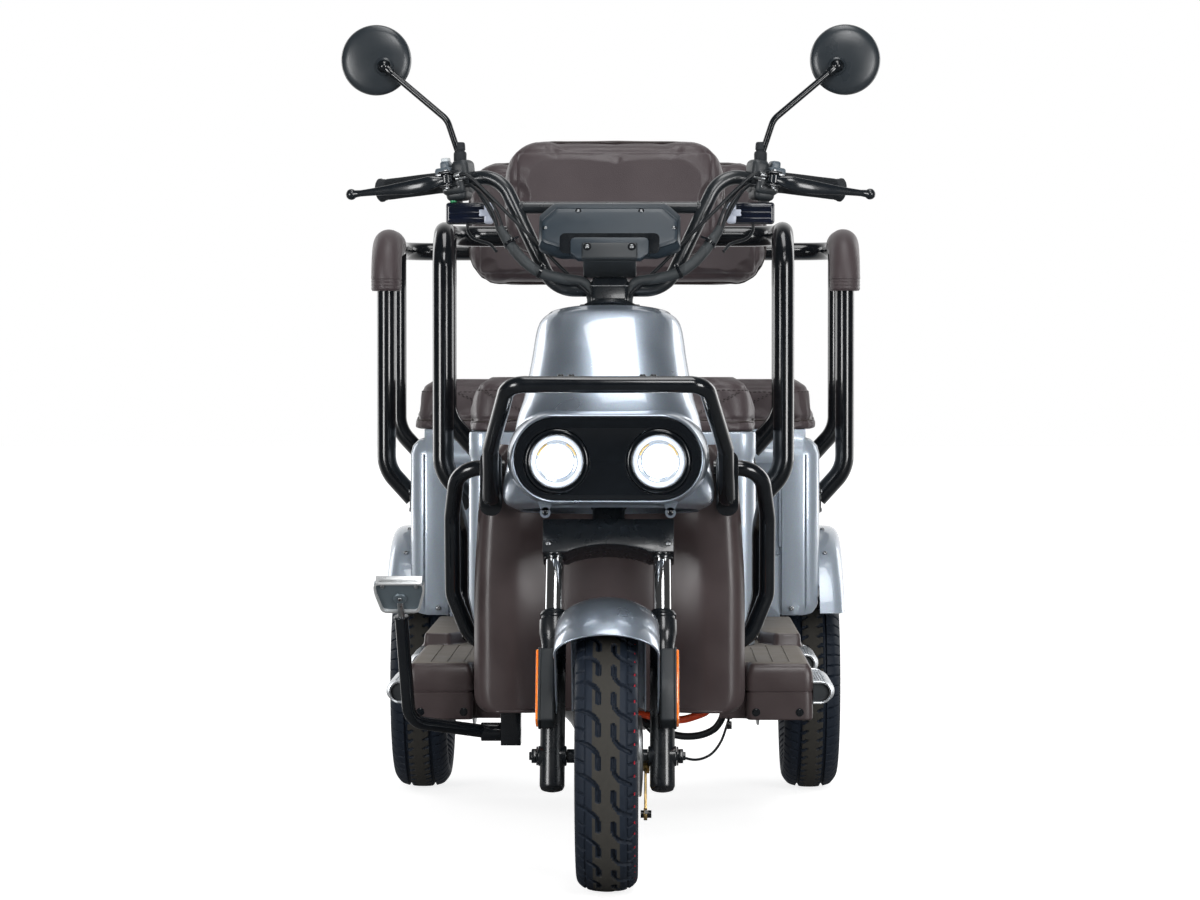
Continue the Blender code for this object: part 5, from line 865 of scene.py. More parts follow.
@dataclass(frozen=True)
class TapeWrap(Finish):
    """Cloth harness tape wound round a bundle of wires, each turn lapping the one before."""

    pitch: float = 11.0

    def detail(self, tree: NodeTree, shader: Node) -> None:
        """Slanting laps along the bundle, read from the tube's own map."""
        place = add_node(tree, "ShaderNodeUVMap", uv_map="surface")
        laps = add_node(tree, "ShaderNodeTexWave", {"Scale": per_metre(self.pitch) * BAND_SCALE,
                                                    "Distortion": 1.2, "Detail": 2.0, "Detail Scale": 3.0},
                        {"Vector": place.outputs["UV"]}, wave_type="BANDS", bands_direction="DIAGONAL",
                        wave_profile="SAW")
        mix = add_node(tree, "ShaderNodeMix", {6: linear(self.colour), 7: linear("2E3336")},
                       {"Factor": laps.outputs["Fac"]}, data_type="RGBA")
        tree.links.new(mix.outputs[2], shader.inputs["Base Color"])
        self.bump(tree, shader, laps.outputs["Fac"], 0.8, 0.6)


SILVER = Lacquer("silver_lacquer_on_plastic", "silver_plastic", "96A1AE", 0.30, 0.80)
BODY_SILVER = Lacquer("silver_lacquer_on_steel", "silver_plastic", "A4AFBB", 0.34, 0.42)
GLOSS_BLACK = PowderCoat("stoved_black_paint", "black_steel", "090C10", 0.16)
SPRING_BLACK = PowderCoat("spring_enamel", "steel", "22262A", 0.35)
SATIN_BLACK = PowderCoat("satin_black_paint", "black_steel", "1D2226", 0.30)
LEVER_BLACK = PowderCoat("black_enamelled_aluminium", "black_steel", "181D22", 0.22)
BLACK_CAST = PowderCoat("black_cast_aluminium", "black_aluminium", "14181C", 0.26)
BLACK_PLASTIC = MouldedPlastic("black_moulded_plastic", "black_plastic", "1C2023", 0.48)
GLOSS_PANEL = PowderCoat("black_polished_plastic", "black_plastic", "0B0D10", 0.10)
DASH_PLASTIC = MouldedPlastic("dash_moulded_plastic", "black_plastic", "1C252D", 0.40, pale="26323B")
SLATE_PLASTIC = MouldedPlastic("slate_moulded_plastic", "black_plastic", "4A545C", 0.45, pale="566069")
MIRROR_SHELL = MouldedPlastic("black_mirror_plastic", "black_steel", "20262B", 0.30, grain=1.2, depth=0.05)
BROWN_PLASTIC = MouldedPlastic("brown_moulded_plastic", "brown_plastic", "393031", 0.34, pale="433939")
DUSTY_MAT = MouldedPlastic("dusty_floor_plastic", "brown_plastic", "67615B", 0.7, depth=0.2, pale="79736B")
BROWN_LEATHER = Leather("brown_vinyl_leather", "brown_leather", "393033", 0.46)
PIPING = Leather("brown_piping_vinyl", "brown_leather", "2A2221", 0.42, pale="362C2A")
THREAD = Leather("brown_sewing_thread", "brown_leather", "1E1817", 0.7, pale="2A2221")
TYRE_RUBBER = Rubber("tyre_rubber", "tyre_rubber", "141B26", 0.62, dust="1B2430")
TREAD_RUBBER = Rubber("dusty_tread_rubber", "tyre_rubber", "2B2A27", 0.8, dust="3A3834", patch=4.0)
GRIP_RUBBER = Rubber("grip_rubber", "grip_rubber", "1D2125", 0.66, dust="26292C")
CABLE_SHEATH = Rubber("cable_sheath", "loom_rubber", "15181B", 0.38, dust="1D2023")
ORANGE_SHEATH = Rubber("orange_cable_sheath", "loom_rubber", "C2401C", 0.42, dust="A83A1E")
RED_LINE = Rubber("red_moulded_line", "tyre_rubber", "B8172B", 0.6, dust="93202C")
LOOM_TAPE = TapeWrap("loom_cloth_tape", "loom_rubber", "22272A", 0.62)
CHROME = Metal("hard_chrome", "steel", "D8DADC", 0.07, 1.0, pale="E6E8EA", size=40.0, depth=0.01)
STEEL = Metal("zinc_plated_steel", "steel", "8A8C8E", 0.34, 1.0, pale="A4A6A8")
BRASS = Metal("yellow_zinc_plating", "steel", "C9A564", 0.36, 1.0, pale="D8BC84")
CAST_ALUMINIUM = Metal("cast_aluminium", "aluminium", "A9ACAE", 0.38, 1.0, pale="BABDBF", size=3.0)
STEP_ALUMINIUM = Metal("satin_aluminium", "aluminium", "B9BDC1", 0.32, 0.75, pale="C9CDD0", size=2.0,
                       stretch=(1.0, 0.05, 1.0))
PEDAL_EDGE = Metal("machined_pedal_rim", "aluminium", "C6C8C9", 0.32, 0.6, pale="CCCECF", size=40, depth=0.01)
PEDAL_CAST = Metal("grey_cast_pedal", "aluminium", "59646A", 0.45, 0.5, pale="68737A", size=3.0, depth=0.12)
LENS = LampGlass("clear_polycarbonate", "lamp_glass", "F6FAFF", 0.02)
SMOKED_LENS = PowderCoat("smoked_polycarbonate", "black_plastic", "0C1226", 0.08)
GREY_LENS = MouldedPlastic("grey_translucent_plastic", "black_plastic", "A9B0C0", 0.3, pale="B8BECB")
LAMP_GLOW = Glow("headlamp_light", "lamp_glass", "FFFFFF", 0.2, strength=2.2)
RING_GLOW = Glow("lamp_ring_light", "lamp_glass", "D9DDE2", 0.25, strength=0.55)
REFLECTOR = Metal("vapour_metallised_reflector", "lamp_glass", "C9CDD1", 0.12, 1.0, pale="DCE0E4", size=12.0)
# The fork reflectors' prisms, with painted glints and a painted glow
AMBER = Prisms("amber_acrylic", "lamp_glass", "E8741B", 0.2)
# The tail lamps' prisms, with painted glints and a fainter painted glow
RED_PRISMS = Prisms("red_acrylic", "lamp_glass", "A3121B", 0.2, glow=0.1)
MIRROR_GLASS = Metal("silvered_glass", "steel", "E8ECEF", 0.02, 1.0, pale="F0F3F5", size=50.0, depth=0.0)
GREEN_BUTTON = MouldedPlastic("green_moulded_plastic", "black_plastic", "1F8A55", 0.35, pale="2A9A62")
PALE_BUTTON = MouldedPlastic("pale_grey_plastic", "black_plastic", "B7BEC2", 0.4, pale="C6CCCF")


# Gathering meshes into pieces

class Piece:
    """One object of the dressed model: meshes with their finishes, riding on one body."""

    def __init__(self, name: str, body: str, finish: Finish, *nodes: str) -> None:
        """Start a piece.

        Args:
            name: the piece's name.
            body: the frame's body that it moves with.
            finish: the finish it takes its slot from.
            nodes: the plain solids that it stands for.
        """
        self.name = name
        self.body = body
        self.slot = finish.slot
        self.nodes = nodes
        self.shape = bmesh.new()
        self.shape.loops.layers.uv.new("surface")
        self.finishes: list[Finish] = []

    def add(self, mesh: Mesh, finish: Finish, matrix: Matrix | None = None,
            band: Finish | None = None, in_band: Callable[[Vector], bool] | None = None) -> "Piece":
        """Add a mesh.

        Args:
            mesh: the mesh, which is used up.
            finish: what it is made of.
            matrix: where it goes, in the datum's frame.
            band: a second finish that part of it has.
            in_band: whether a face has the second finish, from its middle before it is moved.

        Returns:
            The piece itself.
        """
        start = len(self.shape.faces)
        mesh.materials.clear()
        banded = [in_band is not None and in_band(face.center) for face in mesh.polygons]
        if matrix is not None:
            moved(mesh, matrix)
        self.shape.from_mesh(mesh)
        bpy.data.meshes.remove(mesh)
        self.shape.faces.ensure_lookup_table()
        plain = self.index_of(finish)
        other = plain if band is None else self.index_of(band)
        for face, second in zip(self.shape.faces[start:], banded):
            face.material_index = other if second else plain
        return self

    def index_of(self, finish: Finish) -> int:
        """The finish's place among the piece's finishes."""
        if finish not in self.finishes:
            self.finishes.append(finish)
        return self.finishes.index(finish)

    def screws(self, spots: Spots, size: float,
               matrix: Matrix | None = None, hexagon: bool = False, finish: Finish | None = None) -> "Piece":
        """Add screw or bolt heads.

        Args:
            spots: each head's place and the direction it faces.
            size: the heads' radius.
            matrix: where they go, in the datum's frame.
            hexagon: whether they are hexagon bolts on washers.
            finish: what they are made of, where it isn't zinc-plated steel.

        Returns:
            The piece itself.
        """
        heads = FASTENERS.heads(spots, screw_head(hexagon), size, STEEL)
        return self.add(heads, finish or STEEL, matrix)

    def place(self, side: Side = Side.LEFT, angle: float = 38.0) -> bpy.types.Object:
        """Put the piece in the scene.

        Args:
            side: the side it belongs to, where a left one is also made for the right.
            angle: the least angle in degrees between faces that meet at a sharp edge.

        Returns:
            The piece's object.
        """
        mesh = bpy.data.meshes.new(self.name)
        self.shape.to_mesh(mesh)
        self.shape.free()
        moved(mesh, Matrix.Translation((0, DATUM_Y, 0)) @ side.turn)
        for finish in self.finishes:
            mesh.materials.append(finish.material())
        mesh.shade_smooth()
        mesh.set_sharp_from_angle(angle=math.radians(angle))
        made = put(self.name, mesh)
        if self.nodes:
            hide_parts(*self.nodes)
        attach(made, self.body)
        LOG.info("%s: %d faces on %s", self.name, len(mesh.polygons), self.body)
        return made


def pair(make: Callable[[Side], Piece]) -> list[bpy.types.Object]:
    """Make a piece for the left side and its mirror image for the right."""
    return [make(side).place(side) for side in Side]


class Paired:
    """A part that comes once on each side."""

    def make(self, side: Side) -> Piece:
        """One side's piece, shaped as the left one."""
        raise NotImplementedError

    def build(self) -> list[bpy.types.Object]:
        """Make the piece for both sides."""
        return pair(self.make)


# Geometry Nodes

class Repeater:
    """A node tree that repeats a small shape, run once and kept as a plain mesh."""

    def __init__(self, name: str, inputs: dict[str, str]) -> None:
        """Start the tree.

        Args:
            name: the tree's name.
            inputs: the kind of each named input.
        """
        self.tree = bpy.data.node_groups.new(name, "GeometryNodeTree")
        self.tree.interface.new_socket("Geometry", in_out="INPUT", socket_type="NodeSocketGeometry")
        for label, kind in inputs.items():
            self.tree.interface.new_socket(label, in_out="INPUT", socket_type=kind)
        self.tree.interface.new_socket("Finish", in_out="INPUT", socket_type="NodeSocketMaterial")
        self.tree.interface.new_socket("Geometry", in_out="OUTPUT", socket_type="NodeSocketGeometry")
        self.given = self.tree.nodes.new("NodeGroupInput")

    def node(self, kind: str, values: dict | None = None, links: dict | None = None,
             **settings: object) -> Node:
        """Add a node to the tree."""
        return add_node(self.tree, kind, values, links, **settings)

    def close(self, repeated: str, points: bpy.types.NodeSocket, **settings: bpy.types.NodeSocket) -> None:
        """End the tree: the repeated shape on each point, made real, with its finish.

        Args:
            repeated: the input that holds the shape.
            points: where the copies go.
            settings: what turns and sizes them.
        """
        shape = self.node("GeometryNodeObjectInfo", links={"Object": self.given.outputs[repeated]})
        copies = self.node("GeometryNodeInstanceOnPoints", links={
            "Points": points, "Instance": shape.outputs["Geometry"], **settings})
        real = self.node("GeometryNodeRealizeInstances", links={"Geometry": copies.outputs["Instances"]})
        dressed = self.node("GeometryNodeSetMaterial", links={"Geometry": real.outputs["Geometry"],
                                                              "Material": self.given.outputs["Finish"]})
        self.node("NodeGroupOutput", links={"Geometry": dressed.outputs["Geometry"]})

    def run(self, carrier: Mesh, finish: Finish, **values: object) -> Mesh:
        """Run the tree.

        Args:
            carrier: the mesh that it works on, which is used up.
            finish: the material that the result gets.
            values: what the named inputs are set to; a mesh is used up.

        Returns:
            The result as a plain mesh.
        """
        holder = put("carrier", carrier)
        spare = [holder]
        step = holder.modifiers.new("repeat", "NODES")
        step.node_group = self.tree
        for item in self.tree.interface.items_tree:
            if item.item_type != "SOCKET" or item.in_out != "INPUT" or item.name == "Geometry":
                continue
            value = finish.material() if item.name == "Finish" else values[item.name.lower()]
            if isinstance(value, Mesh):
                value = put("repeated", value)
                spare.append(value)
            step[item.identifier] = value
        bpy.context.view_layer.update()
        made = evaluated(holder)
        for old in spare:
            data = old.data
            bpy.data.objects.remove(old, do_unlink=True)
            bpy.data.meshes.remove(data)
        return made


class WheelRing(Repeater):
    """Repeats one pitch of a tyre, rim or grip right round the X axis."""

    def __init__(self) -> None:
        """Build the tree: points round X, one pitch on each."""
        super().__init__("wheel_ring", {"Pitch": "NodeSocketObject", "Count": "NodeSocketInt"})
        given = self.given.outputs
        points = self.node("GeometryNodePoints", links={"Count": given["Count"]})
        index = self.node("GeometryNodeInputIndex")
        step = self.node("ShaderNodeMath", {0: 2 * math.pi}, {1: given["Count"]}, operation="DIVIDE")
        turn = self.node("ShaderNodeMath", links={0: index.outputs[0], 1: step.outputs[0]}, operation="MULTIPLY")
        about = self.node("ShaderNodeCombineXYZ", links={"X": turn.outputs[0]})
        self.close("Pitch", points.outputs[0], Rotation=about.outputs[0])

    def round(self, pitch: Mesh, count: int, finish: Finish) -> Mesh:
        """Repeat one pitch, which is used up, count times round the axis."""
        return self.run(bpy.data.meshes.new("axis"), finish, pitch=pitch, count=count)


class Fasteners(Repeater):
    """Sets a screw or bolt head on each marked point, standing on the surface there."""

    def __init__(self) -> None:
        """Build the tree: one head on each vertex, turned to its facing."""
        super().__init__("fasteners", {"Head": "NodeSocketObject", "Size": "NodeSocketFloat"})
        given = self.given.outputs
        facing = self.node("GeometryNodeInputNamedAttribute", {"Name": "facing"}, data_type="FLOAT_VECTOR")
        turn = self.node("FunctionNodeAlignRotationToVector", links={"Vector": facing.outputs["Attribute"]},
                         axis="Z")
        self.close("Head", given["Geometry"], Rotation=turn.outputs["Rotation"], Scale=given["Size"])

    def heads(self, spots: Spots, head: Mesh, size: float,
              finish: Finish) -> Mesh:
        """Set heads on spots.

        Args:
            spots: each head's place and the direction it faces.
            head: one head of radius 1, standing on the XY plane.
            size: the heads' radius.
            finish: what they are made of.

        Returns:
            All the heads in one mesh.
        """
        carrier = bpy.data.meshes.new("spots")
        carrier.from_pydata([tuple(spot) for spot, _ in spots], [], [])
        facing = carrier.attributes.new("facing", "FLOAT_VECTOR", "POINT")
        facing.data.foreach_set("vector", [value for _, way in spots for value in way])
        return self.run(carrier, finish, head=head, size=size)


class Stitching(Repeater):
    """Lays stitches end to end along a seam."""

    def __init__(self) -> None:
        """Build the tree: a seam cut to even steps, one stitch on each."""
        super().__init__("stitching", {"Stitch": "NodeSocketObject", "Step": "NodeSocketFloat"})
        given = self.given.outputs
        seam = self.node("GeometryNodeMeshToCurve", links={"Mesh": given["Geometry"]})
        spots = self.node("GeometryNodeCurveToPoints", links={"Curve": seam.outputs[0], "Length": given["Step"]},
                          mode="LENGTH")
        self.close("Stitch", spots.outputs["Points"], Rotation=spots.outputs["Rotation"])

    def along(self, route: Sequence[Sequence[float]], length: float, thick: float, step: float,
              finish: Finish) -> Mesh:
        """Stitch along a route.

        Args:
            route: the seam's points.
            length: the length of one stitch.
            thick: the thread's radius.
            step: from one stitch to the next.
            finish: the thread's finish.

        Returns:
            All the stitches in one mesh.
        """
        carrier = bpy.data.meshes.new("seam")
        carrier.from_pydata([tuple(point) for point in route], [(i, i + 1) for i in range(len(route) - 1)], [])
        profile = [(0, -length / 2), (thick, -length / 2 + thick), (thick, length / 2 - thick), (0, length / 2)]
        return self.run(carrier, finish, stitch=turned(profile, 6), step=step)


def screw_head(hexagon: bool = False) -> Mesh:
    """One screw head of radius 1 with its socket, or a hexagon head on its washer."""
    if hexagon:
        washer = turned([(0, 0), (1.25, 0), (1.25, 0.18), (1.2, 0.22), (0, 0.22)], 24)
        head = rounded(turned([(0, 0.2), (1, 0.2), (1, 0.85), (0, 0.85)], 6), 0.10, 2)
        return joined(washer, head)
    profile = [(0, 0), (1, 0), (1, 0.25), (0.93, 0.45), (0.75, 0.6), (0.48, 0.66), (0.45, 0.3), (0, 0.3)]
    return turned(profile, 18)


FASTENERS = Fasteners()
STITCHES = Stitching()
WHEEL_RING = WheelRing()


# Wheels

def groove_depth(x: np.ndarray, t: np.ndarray, groove: Outline, width: float, depth: float,
                 pitch: float) -> np.ndarray:
    """How deep a moulded groove is at points of a tyre's face.

    Args:
        x: the points' places across the tyre.
        t: their places round the tyre.
        groove: the groove's middle, as points of (x, t).
        width: its width.
        depth: its depth.
        pitch: how far round the tyre it repeats.

    Returns:
        The depth at each point.
    """
    least = np.full(x.shape, 1.0)
    for lap in (-2, -1, 0, 1, 2):
        for (ax, at), (bx, bt) in zip(groove, groove[1:]):
            dx, dt = bx - ax, bt - at
            px, pt = x - ax, t - at - lap * pitch
            share = np.clip((px * dx + pt * dt) / (dx * dx + dt * dt), 0, 1)
            least = np.minimum(least, np.hypot(px - share * dx, pt - share * dt))
    edge = np.clip((width / 2 + 0.0005 - least) / 0.0010, 0, 1)
    return depth * edge * edge * (3 - 2 * edge)


def deepest(x: np.ndarray, t: np.ndarray, cuts: Sequence[tuple[Outline, float, float]],
            pitch: float) -> np.ndarray:
    """How deep a set of grooves is at points of a tyre's face.

    Args:
        x: the points' places across the tyre.
        t: their places round the tyre.
        cuts: each groove's middle, width and depth.
        pitch: how far round the tyre they repeat.

    Returns:
        The depth at each point.
    """
    depth = np.zeros(x.shape)
    for groove, width, deep in cuts:
        depth = np.maximum(depth, groove_depth(x, t, groove, width, deep, pitch))
    return depth


@dataclass
class Tyre:
    """A moulded tyre: beads, walls, shoulders and a tread cut by grooves."""

    radius: float
    width: float
    bead_width: float
    crown: tuple[tuple[float, float], ...]
    pitches: int
    steps: int
    rim_radius: float = BEAD_RADIUS
    band: float = 0.028
    across: int = 96

    def section(self) -> np.ndarray:
        """The tyre's outline from one bead to the other, as points of (x, radius), evenly spaced."""
        height = self.radius - self.rim_radius
        half = [(self.bead_width / 2 - GAP, self.rim_radius + GAP),
                (self.bead_width / 2 - GAP, self.rim_radius + 0.15 * height)]
        half += [(self.width / 2 * reach, self.rim_radius + height * rise) for rise, reach in self.crown]
        points = np.array(half + [(0.0, self.radius)] + [(-x, r) for x, r in reversed(half)])
        fine = smooth_points(points, 12)
        run = np.concatenate([[0], np.cumsum(np.hypot(*np.diff(fine, axis=0).T))])
        even = np.linspace(0, run[-1], self.across + 1)
        return np.stack([np.interp(even, run, fine[:, 0]), np.interp(even, run, fine[:, 1])], axis=1)

    def carve(self, x: np.ndarray, t: np.ndarray, pitch: float) -> np.ndarray:
        """The tread's depth at points across and round the tyre."""
        raise NotImplementedError

    def mesh(self) -> Mesh:
        """One pitch of the tyre, repeated right round the axle."""
        outline = self.section()
        pitch = 2 * math.pi * self.radius / self.pitches
        t = np.linspace(-pitch / 2, pitch / 2, self.steps + 1)
        x, run = np.meshgrid(outline[:, 0], t)
        reach = np.meshgrid(outline[:, 1], t)[0] - self.carve(x, run, pitch)
        angle = run / self.radius
        rows = np.stack([x, -reach * np.cos(angle), reach * np.sin(angle)], axis=2)
        one = sheet(rows.tolist(), (0, -1, 0))
        ring = WHEEL_RING.round(one, self.pitches, TYRE_RUBBER)
        return as_mesh(welded(ring, 1e-5), turn_out=False)

    def dress(self, piece: Piece, centre: Point) -> None:
        """Add the tyre to a piece, its dusty band apart from its walls."""
        half = self.section()[self.across // 2:]
        half = half[np.argsort(half[:, 0])]

        def on_tread(middle: Vector) -> bool:
            """Whether a spot is on the band that rolls on the road, and not down in a groove."""
            level = np.interp(abs(middle.x), half[:, 0], half[:, 1])
            return abs(middle.x) < self.band and math.hypot(middle.y, middle.z) > level - 0.0017

        piece.add(self.mesh(), TYRE_RUBBER, Matrix.Translation(centre), TREAD_RUBBER, on_tread)


@dataclass
class FrontTyre(Tyre):
    """The front tyre: hooked grooves from each shoulder, and a red line on its left shoulder."""

    def carve(self, x: np.ndarray, t: np.ndarray, pitch: float) -> np.ndarray:
        """Hooked grooves, a line at each shoulder and slits in the shoulder blocks."""
        hook = [(0.034, -0.021), (0.026, -0.017), (0.018, -0.012), (0.0125, -0.005), (0.0105, 0.002),
                (0.0103, 0.017)]
        other = [(-px, -pt + pitch * 0.42) for px, pt in hook]
        cuts = [(hook, 0.0050, 0.0048), (other, 0.0050, 0.0048)]
        for side in (1, -1):
            cuts.append(([(side * 0.0290, -pitch), (side * 0.0290, pitch)], 0.0020, 0.0020))
            cuts += [([(side * 0.0320, start * side), (side * 0.0440, start * side + 0.005)], 0.0034, 0.0032)
                     for start in (-0.012, 0.008)]
        return deepest(x, t, cuts, pitch)


@dataclass
class RearTyre(Tyre):
    """A rear tyre: a notched central band between two round grooves, and slit shoulders."""

    def carve(self, x: np.ndarray, t: np.ndarray, pitch: float) -> np.ndarray:
        """Grooves round the tyre, notches in the band's edges, slits across the shoulders."""
        cuts = []
        for side in (1, -1):
            shift = 0.0 if side > 0 else pitch / 2
            cuts += [([(side * 0.0210, -pitch / 2), (side * 0.0210, pitch / 2)], 0.0055, 0.0050),
                     ([(side * 0.0190, shift), (side * 0.0105, shift - side * 0.0045)], 0.0040, 0.0042),
                     ([(side * 0.0270, shift), (side * 0.0500, shift + 0.0022)], 0.0024, 0.0034)]
        return deepest(x, t, cuts, pitch)


@dataclass
class Rim:
    """A cast rim: barrel, disc with ribs and windows, hub and brake drum."""

    bead_width: float
    hub_half: float
    stub: float = 0.0
    radius: float = BEAD_RADIUS
    wall: float = 0.004
    flange: float = 0.010
    hub_radius: float = 0.030
    drum_radius: float = 0.062
    disc: float = 0.008
    bore: float = 0.0068
    steps: int = 72

    def mesh(self) -> Mesh:
        """The whole rim about Z, its drum upwards."""
        half = self.bead_width / 2
        out = half + self.wall
        ridge = (half + out) / 2
        inner = self.radius - self.wall
        disc = self.disc / 2
        hub = self.hub_half
        bore = 0.0 if self.stub > 0 else self.bore
        profile = [
            (self.radius, 0), (self.radius, half), (self.radius + self.flange, ridge), (self.radius + 0.004, out),
            (inner, out), (inner - 0.004, half * 0.5), (inner - 0.012, disc + 0.004), (inner - 0.018, disc),
            (self.drum_radius + 0.006, disc), (self.drum_radius, disc + 0.004), (self.drum_radius, hub - 0.004),
            (self.drum_radius - 0.004, hub), (bore, hub), (bore, -hub), (self.hub_radius - 0.003, -hub),
            (self.hub_radius, -hub + 0.003), (self.hub_radius + 0.002, -disc - 0.006),
            (self.hub_radius + 0.010, -disc), (inner - 0.018, -disc), (inner - 0.012, -disc - 0.004),
            (inner - 0.004, -half * 0.5), (inner, -out), (self.radius + 0.004, -out),
            (self.radius + self.flange, -ridge), (self.radius, -half)]
        if bore == 0.0:
            start = profile.index((bore, -hub))
            body = turned(profile[start:] + profile[:start], self.steps)
            stub = rod((0, 0, hub - 0.01), (0, 0, hub + self.stub), 0.0125)
            return joined(body, stub)
        return turned(profile, self.steps, closed=True)

    def ribs(self) -> Mesh:
        """Ribs on the disc and cooling fins on the drum, repeated round the axle."""
        inner = self.radius - 0.014
        rib = block((-self.disc / 2 - 0.0035, -inner, -0.0035), (-self.disc / 2 + 0.002, -self.hub_radius, 0.0035),
                    0.0015, 2)
        fin = block((self.disc / 2, -self.drum_radius - 0.0022, -0.0012),
                    (self.hub_half - 0.005, -self.drum_radius + 0.002, 0.0012))
        wide = WHEEL_RING.round(rib, 10, CAST_ALUMINIUM)
        fins = WHEEL_RING.round(fin, 48, CAST_ALUMINIUM)
        return joined(wide, fins)

    def dress(self, piece: Piece, centre: Point, drum: int) -> None:
        """Add the rim to a piece with its drum towards the given sign of X."""
        place = Matrix.Translation(centre) @ Matrix.Scale(drum, 4, (1, 0, 0))
        piece.add(self.mesh(), CAST_ALUMINIUM, place @ LAY_ACROSS)
        piece.add(self.ribs(), CAST_ALUMINIUM, place)
        valve_low = Vector((-self.bead_width * 0.28, self.radius - 0.012, 0))
        valve = joined(rod(valve_low, valve_low + Vector((-0.012, -0.016, 0)), 0.0028),
                       rod(valve_low + Vector((-0.011, -0.015, 0)), valve_low + Vector((-0.018, -0.024, 0)), 0.0042))
        piece.add(valve, GRIP_RUBBER, place)


@dataclass
class Wheels:
    """The three wheels."""

    front_crown: tuple = ((0.42, 0.92), (0.62, 1.0), (0.81, 0.92), (0.95, 0.60))
    rear_crown: tuple = ((0.42, 0.95), (0.66, 1.0), (0.88, 0.80), (0.955, 0.58), (0.99, 0.30))
    rear_x: float = 0.345
    nut_x: float = 0.0495
    nut_circle: float = 0.018
    red_line_x: float = 0.0395
    red_line_radius: float = 0.1795

    def build(self) -> None:
        """Make the wheels."""
        centre = (0, 0, FRONT_AXLE_Z)
        tyre = Piece("front_tyre_treaded", "front_wheel", TYRE_RUBBER, "front_tyre")
        FrontTyre(0.193, 0.088, 0.056, self.front_crown, 26, 30).dress(tyre, centre)
        tyre.add(self.red_line(), RED_LINE, Matrix.Translation(centre)).place()
        rim = Piece("front_rim_cast", "front_wheel", CAST_ALUMINIUM, "front_rim")
        Rim(0.056, 0.045).dress(rim, centre, 1)
        rim.place()
        for side in Side:
            spot = (side.value * self.rear_x, WHEELBASE, REAR_AXLE_Z)
            tyre = Piece(f"rear_tyre_{side.word}_treaded", f"{side.word}_wheel", TYRE_RUBBER,
                         f"rear_tyre_{side.word}")
            RearTyre(0.195, 0.097, 0.066, self.rear_crown, 64, 10, band=0.0185).dress(tyre, spot)
            tyre.place()
            rim = Piece(f"rear_rim_{side.word}_cast", f"{side.word}_wheel", CAST_ALUMINIUM,
                        f"rear_rim_{side.word}")
            Rim(0.066, 0.048, stub=0.075).dress(rim, spot, -side.value)
            nuts = [((side.value * self.nut_x, self.nut_circle * math.sin(a), self.nut_circle * math.cos(a)),
                     (side.value, 0, 0)) for a in around(5)]
            rim.screws(nuts, 0.0045, Matrix.Translation(spot), hexagon=True).place()

    def red_line(self) -> Mesh:
        """The thin red line moulded in the front tyre's left shoulder."""
        reach = self.red_line_radius
        route = [Vector((self.red_line_x, reach * math.sin(a), reach * math.cos(a)))
                 for a in around(120)]
        return tube(route, 0.0011, 6, loop=True)


# Fork, axle and front fender

